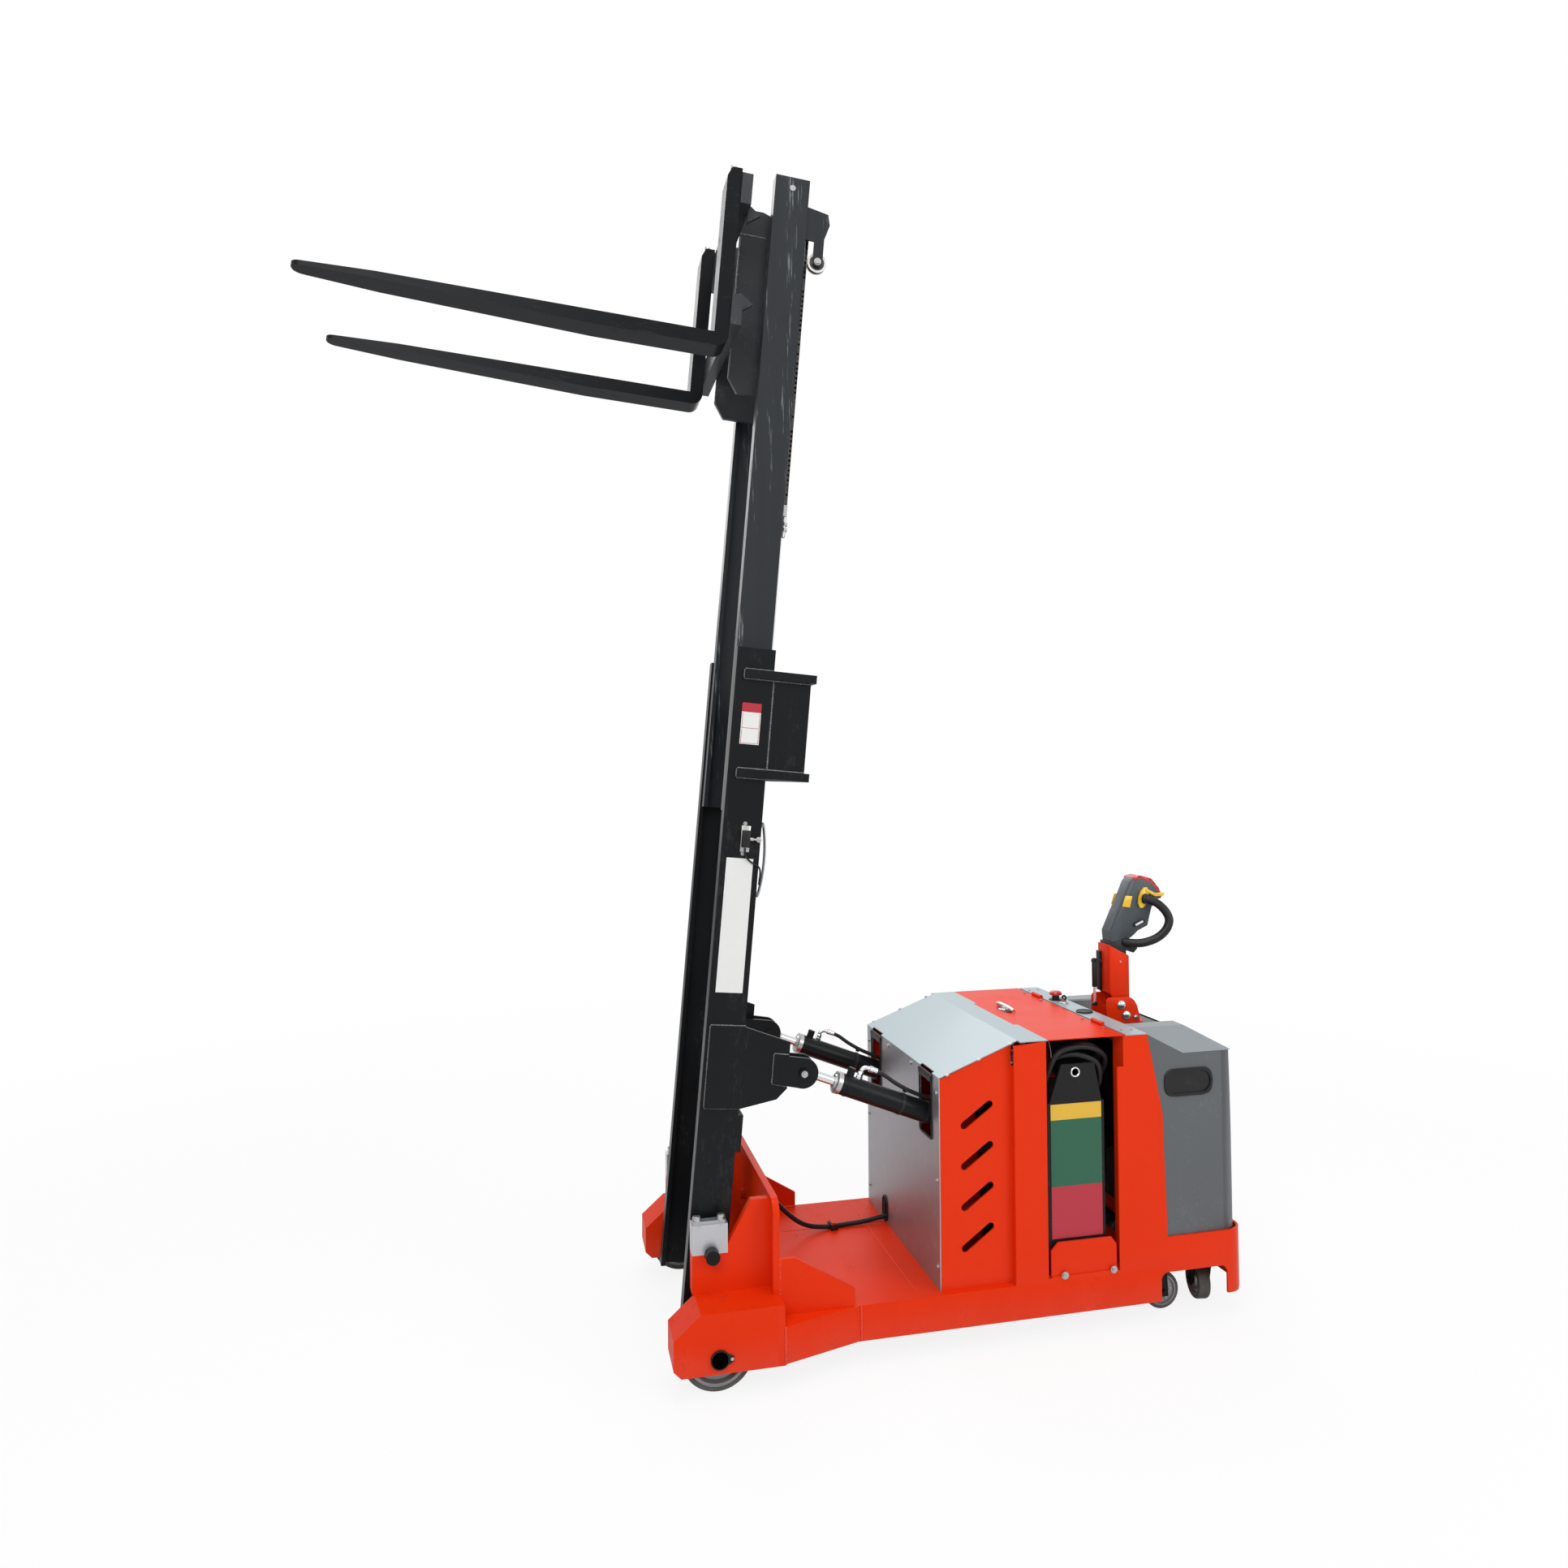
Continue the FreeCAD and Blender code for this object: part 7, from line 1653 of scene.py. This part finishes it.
def build_gas_spring():
    """Rod, barrel and eyes of the gas spring, with the lug that holds it to the arm."""
    low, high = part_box("gas_spring")
    mesh = bmesh.new()
    foot = Vector((low.x + 0.0100, 0.0, low.z))
    tall = high.z - low.z
    add_turned(mesh, foot, UPRIGHT, [(0.0050, 0.002), (0.0050, tall * 0.42)], 20, 1)
    add_turned(mesh, foot, UPRIGHT, [
        (0.0078, tall * 0.40), (0.0088, tall * 0.41), (0.0088, tall * 0.90), (0.0072, tall * 0.93)], 28, 0)
    for level in (0.004, tall * 0.955):
        add_turned(mesh, foot + UPRIGHT * level, ACROSS, [
            (0.0085, -0.0065), (0.0100, -0.0045), (0.0100, 0.0045), (0.0085, 0.0065)], 24, 0)
    add_block(mesh, (0.0, -0.010, tall * 0.925), (high.x - foot.x, 0.010, tall * 0.985),
              Matrix.Translation(foot), 0)
    for vert in mesh.verts:
        vert.co.z = max(vert.co.z, low.z + 0.0002)
    piece("tiller_spring", mesh, "tiller", ["black_plastic", "bright_steel"],
          replaced=("gas_spring",))


class STACKER_OT_tiller(Operator):
    """Builds the tiller's head, buttons, loop handles, pins and gas spring."""
    bl_idname = "stacker.tiller"
    bl_label = "Tiller"

    def execute(self, context):
        build_tiller()
        build_tiller_foot()
        build_gas_spring()
        return {"FINISHED"}


# Hoses.

def hose_curve(name, route, radius, body):
    """A smooth hose on its own control points."""
    data = bpy.data.curves.new(name, "CURVE")
    data.dimensions = "3D"
    line = data.splines.new("NURBS")
    line.points.add(len(route) - 1)
    for point, spot in zip(line.points, route):
        point.co = (*spot, 1.0)
        # The hose's radius stands on its points, because a curve's box grows by that and not by the bevel.
        point.radius = radius
    line.order_u = 3
    line.use_endpoint_u = True
    line.resolution_u = 12
    data.bevel_depth = 1.0
    data.bevel_resolution = 4
    data.use_fill_caps = True
    thing = bpy.data.objects.new(name, data)
    bpy.context.scene.collection.objects.link(thing)
    data.materials.append(MATERIALS["hose_rubber"])
    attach(thing, body)
    return thing


def route_length(thing):
    """Length of a curve's own line."""
    data = thing.data
    depth = data.bevel_depth
    data.bevel_depth = 0.0
    graph = bpy.context.evaluated_depsgraph_get()
    graph.update()
    mesh = bpy.data.meshes.new_from_object(thing.evaluated_get(graph))
    spots = [vertex.co for vertex in mesh.vertices]
    total = sum((spots[a] - spots[b]).length for a, b in (edge.vertices for edge in mesh.edges))
    bpy.data.meshes.remove(mesh)
    data.bevel_depth = depth
    return total


def build_hoses():
    """The deck hose between the bulkhead's union and the body, with its clamp."""
    union_y, union_z, rest = 0.055, 0.362, 0.1814
    route = [at(*row) for row in (
        (0.0004, union_y, union_z), (0.062, union_y, union_z), (0.104, union_y + 0.018, union_z - 0.038),
        (0.150, union_y + 0.042, union_z - 0.092), (0.200, union_y + 0.070, union_z - 0.140),
        (0.246, 0.144, rest + 0.014), (0.311, 0.159, rest), (0.379, 0.167, rest), (0.449, 0.169, rest + 0.002),
        (0.511, 0.170, rest + 0.0128), (0.567, 0.172, rest + 0.0144))]
    hose = hose_curve("deck_line", route, 0.008, "chassis")
    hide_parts("deck_hose")
    route_length(hose)
    mesh = bmesh.new()
    add_turned(mesh, at(0.331, 0.1625, rest), Vector((1, 0.10, 0)), [
        (0.0084, -0.011), (0.0140, -0.010), (0.0140, 0.010), (0.0084, 0.011)], 24, closed=True)
    add_block(mesh, (-0.0125, -0.0200, -0.0100), (0.0125, 0.0200, 0.0125),
              Matrix.Translation(at(0.331, 0.1615, rest)) @ Matrix.Rotation(0.10, 4, "Z"))
    piece("clamp_sleeve", mesh, "chassis", "black_plastic", smooth=50, bevel=0.0012)


def build_tilt_hoses():
    """The hose of each tilt cylinder: an elbow on the port, a run strapped along the barrel."""
    for side, name in ((-1, "left"), (1, "right")):
        root = tilt_root(side)
        along = (tilt_eye(side) - root).normalized()
        up = along.cross(Vector((0, -1, 0))).normalized()
        if up.z < 0:
            up.negate()
        body = "tilt_barrel_" + name

        def spot(run, lift, shift=0.0):
            return root + along * run + up * lift + Vector((0, side * shift, 0))

        mesh = bmesh.new()
        add_turned(mesh, spot(0.372, 0.028), up, [
            (0.0105, 0.0), (0.0105, 0.012), (0.0090, 0.013), (0.0090, 0.024), (0.0075, 0.026)], 6)
        bend = smooth_line([spot(0.372, 0.046), spot(0.372, 0.060), spot(0.364, 0.069), spot(0.350, 0.071),
                            spot(0.335, 0.069)], 5)
        add_tube(mesh, bend, 0.0068, 16)
        add_turned(mesh, spot(0.350, 0.071), along * -1, [
            (0.0080, 0.0), (0.0096, 0.001), (0.0096, 0.012), (0.0086, 0.013), (0.0086, 0.026),
            (0.0076, 0.027)], 16)
        piece("port_elbow_" + name, mesh, body, "bright_steel", smooth=40)
        mesh = bmesh.new()
        line = smooth_line([spot(0.332, 0.0705), spot(0.300, 0.068, 0.002), spot(0.255, 0.056, 0.004),
                            spot(0.200, 0.047, 0.004), spot(0.140, 0.0445, 0.002), spot(0.080, 0.0450),
                            spot(0.030, 0.0460), spot(-0.020, 0.0470)], 8)
        add_tube(mesh, line, 0.0064, 16)
        piece("tilt_line_" + name, mesh, body, "hose_rubber", smooth=60)
        mesh = bmesh.new()
        for run in (0.215, 0.125):
            add_turned(mesh, spot(run, 0.0), along, [
                (0.0334, -0.005), (0.0346, -0.0045), (0.0346, 0.0045), (0.0334, 0.005)], 36, closed=True)
            add_turned(mesh, spot(run, 0.0455, 0.003), along, [
                (0.0066, -0.005), (0.0082, -0.0045), (0.0082, 0.0045), (0.0066, 0.005)], 20, closed=True)
        piece("hose_straps_" + name, mesh, body, "black_plastic", smooth=50)


class STACKER_OT_hoses(Operator):
    """Lays the hydraulic hoses."""
    bl_idname = "stacker.hoses"
    bl_label = "Hoses"

    def execute(self, context):
        build_hoses()
        build_tilt_hoses()
        return {"FINISHED"}


OPERATORS = (
    STACKER_OT_finishes, STACKER_OT_stage, STACKER_OT_chassis_fittings, STACKER_OT_battery,
    STACKER_OT_lid_and_console, STACKER_OT_mast_fittings, STACKER_OT_lifting_gear, STACKER_OT_wheels,
    STACKER_OT_rear_cover, STACKER_OT_tiller, STACKER_OT_hoses)


class STACKER_PT_panel(Panel):
    """Lists the sizes, the colours and the steps that build the stacker."""
    bl_idname = "STACKER_PT_panel"
    bl_label = "Pallet Stacker"
    bl_space_type = "VIEW_3D"
    bl_region_type = "UI"
    bl_category = "Stacker"

    def draw(self, context):
        column = self.layout.column()
        for group in ("stacker_finish", "stacker_fittings", "stacker_stage"):
            settings = getattr(context.scene, group)
            for name in settings.__annotations__:
                column.prop(settings, name)
        for step in OPERATORS:
            column.operator(step.bl_idname)


CLASSES = (StackerFinish, StackerFittings, StackerStage, *OPERATORS, STACKER_PT_panel)


def register():
    """Registers the settings, the steps and the panel."""
    for item in CLASSES:
        bpy.utils.register_class(item)
    bpy.types.Scene.stacker_finish = PointerProperty(type=StackerFinish)
    bpy.types.Scene.stacker_fittings = PointerProperty(type=StackerFittings)
    bpy.types.Scene.stacker_stage = PointerProperty(type=StackerStage)


def unregister():
    """Takes the settings, the steps and the panel away again."""
    del bpy.types.Scene.stacker_stage
    del bpy.types.Scene.stacker_fittings
    del bpy.types.Scene.stacker_finish
    for item in reversed(CLASSES):
        bpy.utils.unregister_class(item)


def main():
    """Builds the whole stacker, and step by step."""
    register()
    for step in OPERATORS:
        space, name = step.bl_idname.split(".")
        getattr(getattr(bpy.ops, space), name)()
    bpy.context.view_layer.update()


if __name__ == "__main__":
    main()
